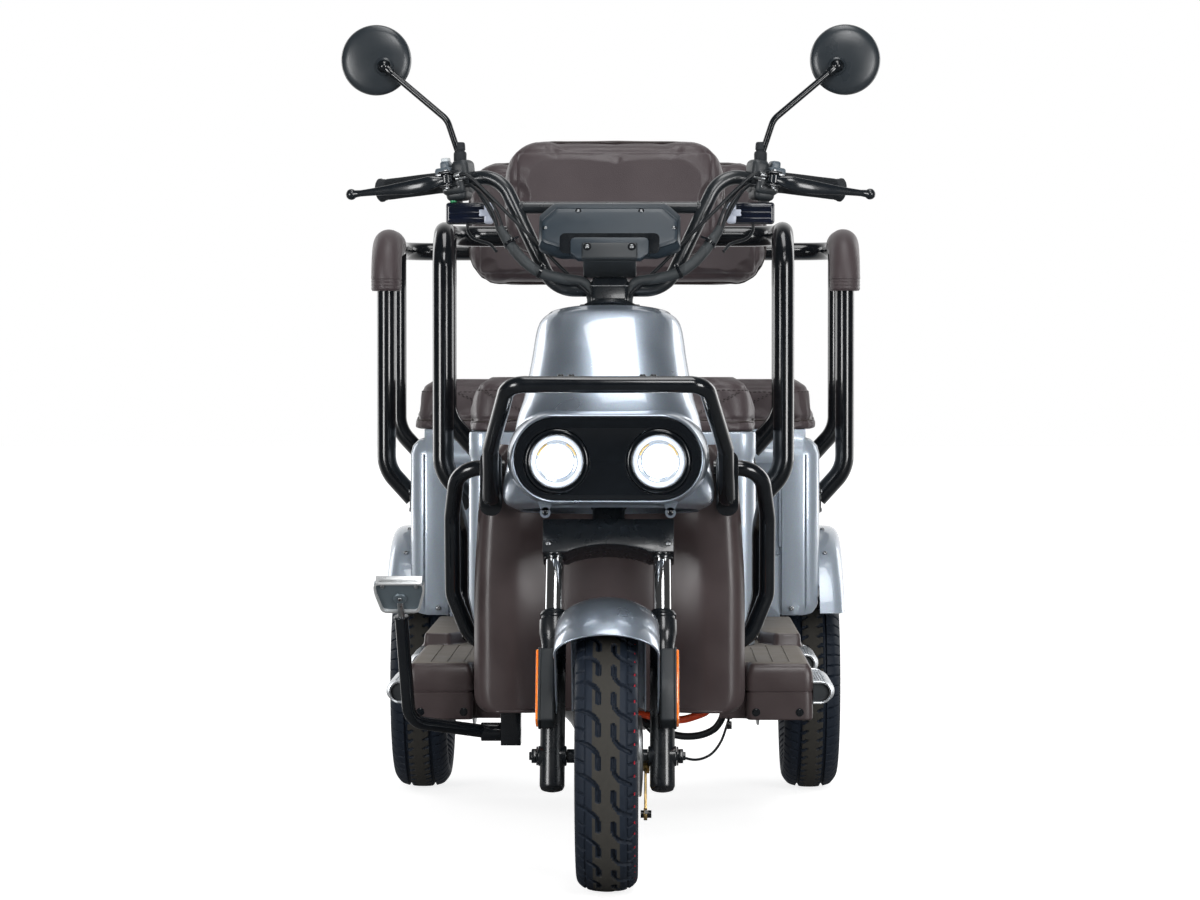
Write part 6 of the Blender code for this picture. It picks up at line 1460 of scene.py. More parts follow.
@dataclass
class FrontFork:
    """The telescopic fork, made in its own frame: Z runs up the steering axis from the front axle."""

    spread: float = 0.0787
    stanchion_radius: float = 0.01335
    leg_radius: float = 0.01785
    leg_bottom: float = -0.051
    leg_top: float = 0.220
    collar_radius: float = 0.0215
    collar_bottom: float = 0.179
    reflector_low: float = 0.036
    reflector_high: float = 0.146
    crown_low: float = 0.305
    crown_high: float = 0.357
    crown_width: float = 0.192
    crown_depth: float = 0.052
    bar_height: float = 0.736
    axle_half: float = 0.112
    spacer_face: float = 0.0456

    def build(self) -> None:
        """Make both legs, the crown and the axle."""
        pair(self.leg)
        self.crown()
        self.axle()

    def leg(self, side: Side) -> Piece:
        """One sliding leg: cast tube, seal collar, axle lug and reflector box."""
        piece = Piece(f"fork_slider_{side.word}", "fork_slider", BLACK_CAST, f"fork_leg_{side.word}")
        r, c = self.leg_radius, self.collar_radius
        top, low = self.leg_top, self.collar_bottom
        bore = self.stanchion_radius + 0.0008
        profile = [(0, self.leg_bottom), (r - 0.006, self.leg_bottom), (r - 0.002, self.leg_bottom + 0.0015),
                   (r, self.leg_bottom + 0.006), (r, low - 0.012), (r + 0.001, low - 0.006), (c - 0.001, low + 0.004),
                   (c, low + 0.008), (c, top - 0.014), (c - 0.0025, top - 0.011), (c - 0.0025, top - 0.008),
                   (c - 0.0008, top - 0.006), (c - 0.0008, top - 0.003), (c - 0.003, top), (bore, top),
                   (bore, top - 0.01), (0, top - 0.01)]
        place = FORK_FRAME @ Matrix.Translation((self.spread, 0, 0))
        piece.add(turned(profile, 48), BLACK_CAST, place)
        lug = joined(rod((-0.0205, 0, 0), (0.0205, 0, 0), 0.0145, bevel=0.002),
                     rod((0, 0, self.leg_bottom - 0.001), (0, 0, self.leg_bottom + 0.003), 0.006, 6))
        piece.add(lug, BLACK_CAST, place)
        boss = rod((-0.0234, 0, 0.200), (-0.012, 0, 0.200), 0.008, bevel=0.001)
        piece.add(boss, BLACK_CAST, place)
        inner, deep = 0.0758 - self.spread, 0.052
        box = block((inner, -deep, self.reflector_low), (inner + 0.0215, -0.014, self.reflector_high), 0.003)
        amber = block((inner + 0.0210, -deep + 0.001, self.reflector_low + 0.002),
                      (inner + 0.0268, -0.016, self.reflector_high - 0.002), 0.0014, 2)
        rim = block((inner + 0.0196, -deep - 0.0010, self.reflector_low - 0.001),
                    (inner + 0.0234, -0.014, self.reflector_high + 0.001), 0.0012, 2)
        piece.add(joined(box, rim), BLACK_PLASTIC, place).add(amber, AMBER, place)
        return piece

    def crown(self) -> None:
        """The crown, chromed inner tubes, stem, neck flange and bar clamp."""
        piece = Piece("fork_crown_dressed", "steering", BLACK_CAST, "steering_fork")
        half = self.crown_width / 2
        rim = self.spread - self.stanchion_radius - 0.006
        arch = [(-rim + 2 * rim * i / 24, self.crown_low + 0.012 * math.sin(math.pi * i / 24) ** 0.7)
                for i in range(25)]
        outline = [(half, self.crown_high), (-half, self.crown_high), (-half, self.crown_low)] + arch
        outline.append((half, self.crown_low))
        body = rounded(upright(plate(outline, self.crown_depth), -self.crown_depth / 2), 0.009, 5, 60)
        piece.add(body, BLACK_CAST, FORK_FRAME)
        for side in Side:
            x = side.value * self.spread
            piece.add(rod((x, 0, 0.145), (x, 0, 0.362), self.stanchion_radius, 40, bevel=0.001), CHROME, FORK_FRAME)
            cap = joined(rod((x, 0, 0.356), (x, 0, 0.361), 0.0125, 6), rod((x, 0, 0.303), (x, 0, 0.308), 0.0165, 32))
            piece.add(cap, BLACK_CAST, FORK_FRAME)
        stem = [(0, 0.337), (0.024, 0.337), (0.024, 0.3845), (0.0145, 0.3846), (0.0145, 0.6905), (0.024, 0.692),
                (0.024, 0.698), (0.046, 0.698), (0.050, 0.700), (0.050, 0.704), (0.048, 0.706), (0.032, 0.7065),
                (0.030, 0.7085), (0.0235, 0.7085), (0.0145, 0.710), (0.0145, 0.720), (0, 0.720)]
        piece.add(turned(stem, 56), BLACK_CAST, FORK_FRAME)
        clamp = centred_block((0, 0, self.bar_height), (0.056, 0.042, 0.042), 0.006, 4)
        split = block((-0.0285, -0.0215, self.bar_height + 0.004), (0.0285, 0.0215, self.bar_height + 0.0052))
        piece.add(clamp, BLACK_CAST, FORK_FRAME).add(split, STEEL, FORK_FRAME)
        spots = [((x, y, self.bar_height + 0.021), (0, 0, 1)) for x in (-0.019, 0.019) for y in (-0.014, 0.014)]
        spots += [((x, -0.026, 0.318), (0, -1, 0)) for x in (-0.088, 0.088)]
        piece.screws(spots, 0.0042, FORK_FRAME)
        piece.place()

    def axle(self) -> None:
        """The axle with its nuts, and the brake plate with its lever."""
        piece = Piece("front_axle_dressed", "fork_slider", STEEL, "front_axle")
        outer = self.spread + self.leg_radius + 0.003
        inner = self.spread - self.leg_radius - 0.003
        face = self.spacer_face
        parts = [rod((-self.axle_half, 0, 0), (self.axle_half, 0, 0), 0.006, 24, bevel=0.001)]
        for side in Side:
            s = side.value
            parts.append(rod((s * outer, 0, 0), (s * (outer + 0.002), 0, 0), 0.0135, 32))
            parts.append(rounded(rod((s * (outer + 0.002), 0, 0), (s * (outer + 0.009), 0, 0), 0.011, 6), 0.001, 2))
        piece.add(joined(*parts), BLACK_CAST, FORK_FRAME)
        spacer = joined(rod((-inner, 0, 0), (-face, 0, 0), 0.010, bevel=0.001),
                        rod((face, 0, 0), (inner, 0, 0), 0.010))
        piece.add(spacer, BLACK_CAST, FORK_FRAME)
        plate_profile = [(0, 0), (0.058, 0), (0.058, 0.002), (0.056, 0.0035), (0.030, 0.0055), (0, 0.0055)]
        piece.add(turned(plate_profile, 64), CAST_ALUMINIUM,
                  FORK_FRAME @ Matrix.Translation((face, 0, 0)) @ LAY_ACROSS)
        arm_x, pin_y, eye_z, cam_z = face + 0.009, 0.024, -0.079, -0.008
        arm = block((arm_x - 0.002, 0.018, -0.085), (arm_x + 0.002, 0.030, 0.0), 0.0018, 2)
        eye = rod((arm_x - 0.0026, pin_y, eye_z), (arm_x + 0.0026, pin_y, eye_z), 0.009, bevel=0.001)
        cam = joined(rod((face, pin_y, cam_z), (arm_x + 0.006, pin_y, cam_z), 0.0065, bevel=0.001),
                     rod((arm_x + 0.002, pin_y, cam_z), (arm_x + 0.0055, pin_y, cam_z), 0.010, 6))
        piece.add(joined(arm, eye, cam), BRASS, FORK_FRAME)
        barrel = joined(rod((arm_x - 0.007, pin_y, eye_z), (arm_x + 0.0085, pin_y, eye_z), 0.0055, 20),
                        rod((arm_x + 0.001, 0.014, eye_z), (arm_x + 0.001, 0.034, eye_z), 0.003, 16))
        piece.add(barrel, GLOSS_BLACK, FORK_FRAME)
        piece.place()


@dataclass
class FrontFender:
    """The moulded front fender with a pointed skirt on each side and a rolled edge."""

    radius: float = 0.228
    half_width: float = 0.0743
    rear_half_width: float = 0.0550
    wall: float = 0.0025
    dome: float = 0.047
    side: float = 0.042
    skirt: float = 0.165
    skirt_angle: float = -5.0
    front_angle: float = -36.0
    rear_angle: float = 76.0

    def half_at(self, angle: float) -> float:
        """Half the fender's width at an angle back from its top."""
        share = math.sin(min(max((angle - 8) / 14, 0.0), 1.0) * math.pi / 2)
        return self.half_width + (self.rear_half_width - self.half_width) * share

    def depth_at(self, angle: float) -> float:
        """How far its side reaches in at an angle."""
        away = (angle - self.skirt_angle) / (13.0 if angle < self.skirt_angle else 8.0)
        side = self.side * (1.0 - 0.2 * blended(4, 16, angle))
        return side + (self.skirt - side) * math.exp(-away * away)

    def row(self, angle: float) -> list[Point]:
        """One section of the fender, from the left edge over its top to the right edge."""
        half, depth = self.half_at(angle), self.depth_at(angle)
        rise = min(self.dome * half / self.half_width, 0.9 * depth)
        lean = [math.radians(90) * i / 14 for i in range(14)]
        edge = [(half, depth + (rise - depth) * i / 6) for i in range(6)]
        crown = edge + [(half * math.cos(a), rise * (1 - math.sin(a))) for a in lean]
        section = crown + [(0.0, 0.0)] + [(-x, d) for x, d in reversed(crown)]
        turn = math.radians(angle)
        return [(x, (self.radius - d) * math.sin(turn), FRONT_AXLE_Z + (self.radius - d) * math.cos(turn))
                for x, d in section]

    def build(self) -> None:
        """Make the fender."""
        count = 76
        angles = [self.front_angle + (self.rear_angle - self.front_angle) * i / count for i in range(count + 1)]
        rows = [self.row(angle) for angle in angles]
        piece = Piece("front_fender_moulded", "fork_slider", SILVER, "front_fender")
        piece.add(walled(sheet(rows, (0, 0, 1)), self.wall), SILVER)
        border = border_of(rows)
        axis = Vector((0, 0, FRONT_AXLE_Z))
        inward = [p + (Vector((0, axis.y, axis.z)) - Vector((0, p.y, p.z))).normalized() * 0.0004
                  - Vector((math.copysign(0.0012, p.x), 0, 0)) for p in border]
        piece.add(tube(inward, 0.0016, 8, loop=True), SILVER)
        spots = [((side.value * (self.rear_half_width - 0.0022), 0.0845, 0.3743), (-side.value, 0, 0))
                 for side in Side]
        piece.screws(spots, 0.0045, hexagon=True)
        piece.place(angle=50)


# Handlebar and controls

BAR_END = Vector((0.357, 0.420, 1.024))
BAR_KNEE_HIGH = Vector((0.168, 0.345, 1.043))
BAR_KNEE_LOW = Vector((0.085, 0.3113, 0.868))
MIRROR_ELBOW = Vector((0.249, 0.352, 1.128))
MIRROR_BALL = Vector((0.347, 0.366, 1.211))


def bar_frame() -> Matrix:
    """The frame at the bar's left end: X outwards along it, Y back, Z up."""
    along = (BAR_END - BAR_KNEE_HIGH).normalized()
    rear = Vector((0, 0, 1)).cross(along).normalized()
    top = along.cross(rear)
    return Matrix.Translation(BAR_END) @ Matrix((along, rear, top)).transposed().to_4x4()


BAR = bar_frame()


@dataclass
class Handlebar:
    """The bent bar with its cross brace."""

    radius: float = 0.011
    bend: float = 0.050
    brace_radius: float = 0.009
    brace_height: float = 0.993

    def build(self) -> None:
        """Make the bar."""
        piece = Piece("handlebar_bent", "steering", SATIN_BLACK, "handlebar")
        route = bent_route(both_sides([BAR_END, BAR_KNEE_HIGH, BAR_KNEE_LOW]), self.bend, 14)
        piece.add(tube(route, self.radius, 28), SATIN_BLACK)
        end = BAR_KNEE_LOW + (BAR_KNEE_HIGH - BAR_KNEE_LOW) * (
            (self.brace_height - BAR_KNEE_LOW.z) / (BAR_KNEE_HIGH.z - BAR_KNEE_LOW.z))
        piece.add(rod(end, (-end.x, end.y, end.z), self.brace_radius, 24), SATIN_BLACK)
        for side in Side:
            x = side.value * (end.x - 0.0085)
            piece.add(rod((x, end.y, end.z), (side.value * (end.x - 0.0115), end.y, end.z),
                          self.brace_radius + 0.0012, 24, bevel=0.001), SATIN_BLACK)
        piece.place()


@dataclass
class Grip(Paired):
    """A rubber grip, knurled with crossed spirals between its flanges."""

    length: float = 0.112
    radius: float = 0.0160
    flange: float = 0.0182
    bore: float = 0.0117
    spirals: int = 26
    twist: float = 0.9

    def rib(self, hand: int) -> Mesh:
        """One spiral rib, right round the bar once it is repeated."""
        route = []
        for i in range(19):
            x = -0.0135 - 0.0885 * i / 18
            turn = hand * self.twist * i / 18 * math.pi
            reach = self.radius - 0.0004
            route.append(Vector((x, reach * math.cos(turn), reach * math.sin(turn))))
        return tube(route, 0.00075, 4)

    def make(self, side: Side) -> Piece:
        """One grip: fixed on the left, turning on the right."""
        left = side is Side.LEFT
        piece = Piece("left_grip_knurled" if left else "throttle_grip_knurled", "steering" if left else "throttle",
                      GRIP_RUBBER, "left_grip" if left else "throttle_grip")
        f, r, length = self.flange, self.radius, self.length
        profile = [(self.bore, 0.0008), (0.009, 0.001), (0.0, 0.001), (0.0, 0.0014), (f - 0.006, 0.0014),
                   (f - 0.002, 0.001), (f, -0.001), (f, -0.004), (f - 0.0015, -0.0065), (r + 0.0006, -0.0095),
                   (r - 0.0008, -0.013), (r - 0.0010, -0.045), (r - 0.0006, -0.080), (r - 0.0005, -0.1005),
                   (r + 0.0004, -0.103), (r + 0.0004, 0.006 - length), (f - 0.001, 0.0045 - length),
                   (f - 0.001, 0.001 - length), (f - 0.003, -length), (self.bore, -length)]
        piece.add(turned(profile, 56, closed=True), GRIP_RUBBER, BAR @ LAY_ACROSS)
        for hand in (1, -1):
            piece.add(WHEEL_RING.round(self.rib(hand), self.spirals, GRIP_RUBBER), GRIP_RUBBER, BAR)
        return piece


@dataclass
class ControlPerch(Paired):
    """A switch housing clamped round the bar, with the lever's fork and the mirror's stem."""

    inner: float = -0.1126
    length: float = 0.044
    bore: float = 0.0117
    button_in: float = 0.0242
    signal_in: float = 0.022
    stem_radius: float = 0.005
    ball_radius: float = 0.0085
    pin_y: float = -0.040
    boot_height: float = 0.032

    @property
    def outer(self) -> float:
        """The housing's end towards the machine's middle, along the bar."""
        return self.inner - self.length

    @property
    def ear_x(self) -> float:
        """The lever's pivot along the bar."""
        return self.inner - 0.020

    def make(self, side: Side) -> Piece:
        """One perch."""
        piece = Piece(f"control_perch_{side.word}_dressed", "steering", BLACK_PLASTIC,
                      f"control_perch_{side.word}")
        self.housing(piece, side)
        self.clamp(piece)
        self.stem(piece)
        return piece

    def housing(self, piece: Piece, side: Side) -> None:
        """The two moulded halves with their parting line, screws and switches."""
        low, high = self.outer, self.inner
        barrel = [(self.bore, low), (0.0175, low), (0.0205, low + 0.0015), (0.022, low + 0.005),
                  (0.022, low + 0.0205), (0.0214, low + 0.0210), (0.0214, low + 0.0218), (0.022, low + 0.0223),
                  (0.022, high - 0.005), (0.0205, high - 0.0012), (0.0185, high), (self.bore, high)]
        ring = moved(turned(barrel, 56, closed=True), LAY_ACROSS)
        if side is Side.RIGHT:
            x = self.inner - self.button_in
            ring = carved(ring, rod((x, 0.0152, 0.004), (x, 0.0400, 0.004), 0.0068, 36))
        piece.add(ring, BLACK_PLASTIC, BAR)
        shell = block((low + 0.001, -0.031, -0.0240), (high - 0.004, 0.014, 0.0150), 0.0095, 5)
        brow = block((low - 0.004, -0.026, -0.004), (low + 0.0235, 0.0125, 0.0300), 0.0095, 5)
        chin = block((low + 0.002, -0.026, -0.0325), (high - 0.008, 0.008, -0.010), 0.0085, 5)
        seam = block((low + 0.0025, -0.0304, -0.0040), (high - 0.0045, 0.0144, -0.0032), 0.0)
        piece.add(joined(shell, brow, chin), BLACK_PLASTIC, BAR).add(seam, GLOSS_BLACK, BAR)
        cap = joined(block((high - 0.0205, -0.027, 0.008), (high + 0.006, 0.004, 0.0200), 0.0045, 4),
                     block((high - 0.0165, -0.022, 0.016), (high - 0.0015, -0.004, 0.0300), 0.0040, 4))
        piece.add(cap, SLATE_PLASTIC, BAR)
        spots = [((low + 0.0125, -0.0197, 0.0165), (0, -1, 0)), ((low + 0.0105, -0.0300, -0.0125), (0, -1, 0)),
                 ((high - 0.0115, -0.0300, -0.0150), (0, -1, 0)), ((low + 0.0205, -0.0237, -0.0215), (0, -1, 0))]
        piece.screws(spots, 0.0026, BAR)
        if side is Side.LEFT:
            rocker = block((low + 0.012, 0.0190, -0.006), (high - 0.014, 0.0246, 0.003), 0.0015, 3)
            piece.add(rocker, GLOSS_BLACK, BAR)
        if side is Side.RIGHT:
            pad = block((high - 0.0145, -0.0195, 0.0290), (high - 0.0035, -0.0065, 0.0350), 0.0015, 3)
            piece.add(pad, PALE_BUTTON, BAR)
            green = rounded(rod((high - 0.0175, -0.016, -0.0345), (high - 0.0175, -0.016, -0.0280), 0.0056, 24),
                            0.0012, 3)
            piece.add(green, GREEN_BUTTON, BAR)

    def clamp(self, piece: Piece) -> None:
        """The lever's fork, cast in silver-edged halves, with its pin and adjuster."""
        x = self.ear_x
        for level in (1, -1):
            cheek = centred_block((x, -0.0345, level * 0.0097), (0.020, 0.029, 0.0046), 0.0018, 3)
            piece.add(cheek, BLACK_CAST, BAR)
        piece.add(block((x - 0.010, -0.026, -0.012), (x + 0.010, -0.012, 0.012), 0.002, 3), BLACK_CAST, BAR)
        piece.add(rod((x, self.pin_y, -0.0115), (x, self.pin_y, 0.0115), 0.003, 20), STEEL, BAR)
        plates = joined(block((x - 0.0215, -0.0335, 0.0012), (x - 0.003, -0.0312, 0.0052), 0.0008, 2),
                        block((x + 0.004, -0.0495, 0.0052), (x + 0.0145, -0.047, 0.0088), 0.0008, 2),
                        block((x - 0.0335, -0.0325, 0.0020), (x - 0.0235, -0.0300, 0.0046), 0.0008, 2))
        piece.add(plates, STEEL, BAR)
        spots = [((x, self.pin_y, level * 0.0119), (0, 0, level)) for level in (1, -1)]
        piece.screws(spots, 0.0036, BAR, hexagon=True)
        barrel = joined(rod((x - 0.010, -0.030, 0), (x - 0.024, -0.0265, 0.0015), 0.0042, 20, bevel=0.0008),
                        rod((x - 0.024, -0.0265, 0.0015), (x - 0.030, -0.0250, 0.002), 0.0032, 16))
        piece.add(barrel, CAST_ALUMINIUM, BAR)

    def stem(self, piece: Piece) -> None:
        """The mirror's boot, bent stem and ball."""
        base = BAR @ Vector((self.outer + self.length * 0.3, -0.012, 0.010))
        top = base + Vector((0, 0, self.boot_height))
        nut = turned([(0, 0.0), (0.0105, 0.0), (0.0112, 0.004), (0.0092, 0.006), (0.0092, 0.0145), (0, 0.0145)], 6)
        piece.add(rounded(nut, 0.0008, 2, 40), BLACK_CAST, Matrix.Translation(base + Vector((0, 0, 0.006))))
        boot = [(0, 0.015), (0.0085, 0.015), (0.0098, 0.0168), (0.0100, 0.0290), (0.0092, 0.0315), (0.0072, 0.0328),
                (0.0070, 0.0340), (0.0082, 0.0356), (0.0076, 0.0440), (0.0066, 0.0462), (0.0052, 0.0468),
                (0.0, 0.0468)]
        piece.add(turned(boot, 40), GRIP_RUBBER, Matrix.Translation(base))
        route = bent_route([top - Vector((0, 0, 0.01)), MIRROR_ELBOW, MIRROR_BALL], 0.030, 12)
        piece.add(tube(route, self.stem_radius, 24), GLOSS_BLACK)
        piece.add(ball(MIRROR_BALL, self.ball_radius, 32), GLOSS_BLACK)
        last = (MIRROR_BALL - MIRROR_ELBOW).normalized()
        piece.add(rod(MIRROR_BALL - last * 0.0185, MIRROR_BALL - last * 0.005, 0.0066, 28, bevel=0.001),
                  GLOSS_BLACK)


@dataclass
class BrakeLever(Paired):
    """A forged lever: a flat eye, a broad curved blade and a ball end."""

    pivot_x: float = -0.1326
    forward: float = ControlPerch.pin_y
    length: float = 0.160

    def make(self, side: Side) -> Piece:
        """One lever."""
        px, f = self.pivot_x, self.forward
        points = [(px, f, 0), (px + 0.020, f - 0.015, -0.004), (px + 0.050, f - 0.020, -0.007),
                  (px + 0.095, f - 0.018, -0.007), (px + self.length - 0.003, f - 0.012, -0.006)]
        route = smooth_route(points, 12)
        rings = []
        for i, point in enumerate(route):
            share = i / (len(route) - 1)
            tall = 0.0064 + 0.0042 * blended(0.05, 0.30, share) - 0.0058 * blended(0.45, 1.0, share)
            deep = 0.0052 - 0.0012 * blended(0.1, 0.9, share)
            before, after = route[max(i - 1, 0)], route[min(i + 1, len(route) - 1)]
            along = (after - before).normalized()
            back = Vector((0, 0, 1)).cross(along).normalized()
            up = along.cross(back)
            rings.append([point + up * (tall * math.sin(a)) + back * (deep * math.cos(a))
                          for a in around(28)])
        piece = Piece(f"brake_lever_{side.word}_forged", f"{side.word}_lever", LEVER_BLACK,
                      f"brake_lever_{side.word}")
        piece.add(loft(rings), LEVER_BLACK, BAR)
        eye = [(0.0039, -0.0066), (0.0080, -0.0066), (0.0090, -0.0056), (0.0090, 0.0056), (0.0080, 0.0066),
               (0.0039, 0.0066)]
        piece.add(turned(eye, 40, closed=True), LEVER_BLACK, BAR @ Matrix.Translation((px, f, 0)))
        tip = route[-1]
        piece.add(ball(tip, 0.0085, 32), LEVER_BLACK, BAR)
        piece.add(rod(tip - Vector((0.014, 0, 0)), tip - Vector((0.002, 0, 0)), 0.0052, 28, 0.0062), LEVER_BLACK,
                  BAR)
        return piece


@dataclass
class Mirror(Paired):
    """A round mirror: domed moulded back, rim and silvered glass."""

    radius: float = 0.054
    depth: float = 0.020
    centre_x: float = 0.360
    centre_z: float = 1.222
    back_y: float = 0.3705

    def make(self, side: Side) -> Piece:
        """One mirror."""
        r = self.radius
        place = Matrix.Translation((self.centre_x, self.back_y, self.centre_z)) @ FACE_BACK
        dome = smooth_points(np.array([(0, 0), (0.30, 0.0002), (0.55, 0.0012), (0.78, 0.0034), (0.90, 0.0062),
                                       (0.965, 0.0092), (1.0, 0.0135)]), 5)
        profile = [(r * u, v) for u, v in dome] + [(r, 0.0180), (r - 0.0006, 0.0195), (r - 0.0020, self.depth),
                                                   (r - 0.0034, 0.0192), (r - 0.0036, 0.0175), (0, 0.0175)]
        piece = Piece(f"mirror_{side.word}_dressed", f"{side.word}_mirror", MIRROR_SHELL, f"mirror_{side.word}")
        piece.add(turned(profile, 96), MIRROR_SHELL, place)
        piece.add(turned([(0, 0.0172), (r - 0.0038, 0.0172), (r - 0.0038, 0.0184), (0, 0.0188)], 96), MIRROR_GLASS,
                  place)
        spot = Matrix.Translation((MIRROR_BALL.x, self.back_y, MIRROR_BALL.z)) @ FACE_BACK
        collar = [(0.0094, 0.0006), (0.0094, -0.0022), (0.0106, -0.0030), (0.0130, -0.0018), (0.0142, 0.0006),
                  (0.0150, 0.0022)]
        piece.add(turned(collar, 40, closed=True), MIRROR_SHELL, spot)
        return piece


@dataclass
class TurnSignal(Paired):
    """A slim turn signal: smoked ribbed lens, grey end cap, stalk and lead."""

    centre: Point = (0.214, 0.346, 0.985)
    size: Point = (0.073, 0.034, 0.033)

    def make(self, side: Side) -> Piece:
        """One signal."""
        x, y, z = self.centre
        w, d, h = (value / 2 for value in self.size)
        piece = Piece(f"turn_signal_{side.word}_dressed", "steering", BLACK_PLASTIC, f"turn_signal_{side.word}")
        piece.add(block((x - w + 0.003, y - d + 0.012, z - h), (x + w, y + d, z + h), 0.0045, 4), BLACK_PLASTIC)
        lens = block((x - w + 0.012, y - d + 0.0016, z - h + 0.0012), (x + w - 0.0015, y - d + 0.016, z + h - 0.0012),
                     0.0040, 4)
        piece.add(lens, SMOKED_LENS)
        ribs = [block((x - w + 0.015, y - d + 0.0002, z + level - 0.0021), (x + w - 0.005, y - d + 0.006,
                                                                           z + level + 0.0021), 0.0016, 3)
                for level in (0.0092, 0.0, -0.0092)]
        piece.add(joined(*ribs), SMOKED_LENS)
        cap = block((x - w, y - d + 0.0006, z - h + 0.0004), (x - w + 0.0155, y - d + 0.022, z + h - 0.0004),
                    0.0048, 4)
        piece.add(cap, GREY_LENS)
        tongue = block((x - w + 0.009, y - d, z - 0.0052), (x - w + 0.022, y - d + 0.005, z + 0.0052), 0.0014, 2)
        piece.add(tongue, GREY_LENS)
        under = BAR @ Vector((ControlPerch.inner - ControlPerch.signal_in, -0.010, -0.020))
        piece.add(rod((under.x, under.y, z + 0.002), (under.x, under.y, under.z + 0.001), 0.006, 28), BLACK_PLASTIC)
        piece.add(rod((under.x, under.y, z + h - 0.001), (under.x, under.y, z + h + 0.004), 0.0085, 6),
                  BLACK_PLASTIC)
        lead = smooth_route([(x + 0.004, y + 0.006, z - h + 0.001), (x + 0.0035, y + 0.005, z - h - 0.010),
                             (x - 0.004, y - 0.004, z - h - 0.021), (x - 0.018, y - 0.017, z - h - 0.027),
                             (x - 0.032, y - 0.030, z - h - 0.032), (x - 0.042, y - 0.040, z - h - 0.043)], 8)
        piece.add(tube(lead, 0.0024, 12), CABLE_SHEATH)
        return piece


@dataclass
class Dash:
    """The instrument housing on its bracket, made in the fork's frame."""

    half_width: float = 0.10675
    half_height: float = 0.044
    centre_height: float = 0.816
    front: float = -0.075
    back: float = -0.045
    foot: float = 0.7573

    def ring(self, inset: float, drop: float, y: float) -> list[Point]:
        """The housing's outline, set in by inset, and lower by drop along its top."""
        w, top, low = self.half_width - inset, self.half_height - inset - drop, inset - self.half_height
        outline = [(w, top - 0.022), (w - 0.003, top - 0.018), (w - 0.018, top - 0.0035), (w - 0.023, top)]
        outline += [(-x, z) for x, z in reversed(outline)]
        outline += [(-w, low + 0.015), (-(w - 0.004), low + 0.0105), (-(w - 0.030), low + 0.001),
                    (-(w - 0.036), low)]
        outline += [(-x, z) for x, z in reversed(outline[-4:])]
        return [(x, y, z + self.centre_height) for x, z in outline]

    def build(self) -> None:
        """Make the housing, its screen, its bracket and their screws."""
        piece = Piece("dash_housing_dressed", "steering", DASH_PLASTIC, "dash_housing")
        front, back = self.front, self.back
        rings = [self.ring(0.0040, 0, back), self.ring(0.0010, 0, back - 0.0012), self.ring(0, 0, back - 0.004),
                 self.ring(0, 0, front + 0.0145), self.ring(0.0016, 0.001, front + 0.0100),
                 self.ring(0.0042, 0.0085, front + 0.0038), self.ring(0.0047, 0.0092, front + 0.0046),
                 self.ring(0.0053, 0.0098, front + 0.0026), self.ring(0.0075, 0.0120, front + 0.0006),
                 self.ring(0.0095, 0.0135, front)]
        piece.add(loft(rings), DASH_PLASTIC, FORK_FRAME)
        bottom = self.centre_height - self.half_height
        # A thin gloss black sheet round the bracket's flange on the housing's face: a painted shadow of the bracket
        painted_shadow = upright(plate(rounded_rectangle(0.150, 0.034, 0.008, 6, (0, bottom + 0.0130)), 0.0006),
                        front - 0.0004)
        piece.add(painted_shadow, GLOSS_BLACK, FORK_FRAME)
        screen = centred_block((0, back + 0.0002, self.centre_height + 0.002), (0.165, 0.0016, 0.055), 0.0006, 2)
        piece.add(screen, GLOSS_PANEL, FORK_FRAME)
        self.bracket(piece, bottom)
        spots = [((s * 0.0475, front + 0.0010, self.centre_height + 0.0240), (0, -1, 0.1)) for s in (1, -1)]
        spots += [((s * 0.0965, front + 0.0014, self.centre_height - 0.0045), (0, -1, 0)) for s in (1, -1)]
        wells = [rod((x, y + 0.0006, z), (x, y - 0.0008, z), 0.0046, 28) for (x, y, z), _ in spots]
        piece.add(joined(*wells), GLOSS_BLACK, FORK_FRAME)
        spots = [((x, y - 0.0008, z), way) for (x, y, z), way in spots]
        piece.screws(spots, 0.0026, FORK_FRAME)
        piece.place(angle=30)

    def bracket(self, piece: Piece, bottom: float) -> None:
        """The bracket that stands on the bar clamp."""
        foot = self.foot
        wing = [(0.059, 0.016), (0.057, 0.0205), (0.052, 0.022), (-0.052, 0.022), (-0.057, 0.0205),
                (-0.059, 0.016), (-0.059, -0.004), (-0.047, -0.014), (0.047, -0.014), (0.059, -0.004)]
        flange = upright(plate([(x, z + bottom) for x, z in wing], 0.011), self.front - 0.003)
        piece.add(rounded(flange, 0.002, 3, 40), DASH_PLASTIC, FORK_FRAME)
        web = block((-0.042, self.front - 0.0055, foot), (0.042, self.front + 0.006, bottom + 0.0125), 0.003, 3)
        deep = block((-0.040, self.front + 0.004, foot), (0.040, -0.012, bottom + 0.010), 0.003, 3)
        base = block((-0.026, -0.016, foot), (0.026, 0.008, foot + 0.006), 0.001, 2)
        piece.add(joined(web, deep, base), BLACK_PLASTIC, FORK_FRAME)
        spots = [((s * 0.0335, self.front - 0.0055, bottom + 0.0045), (0, -1, 0)) for s in (1, -1)]
        piece.add(joined(*[rod((x, y + 0.001, z), (x, y - 0.0007, z), 0.0062, 28) for (x, y, z), _ in spots]),
                  GLOSS_BLACK, FORK_FRAME)
        spots = [((x, y - 0.0006, z), way) for (x, y, z), way in spots]
        piece.screws(spots, 0.0034, FORK_FRAME)


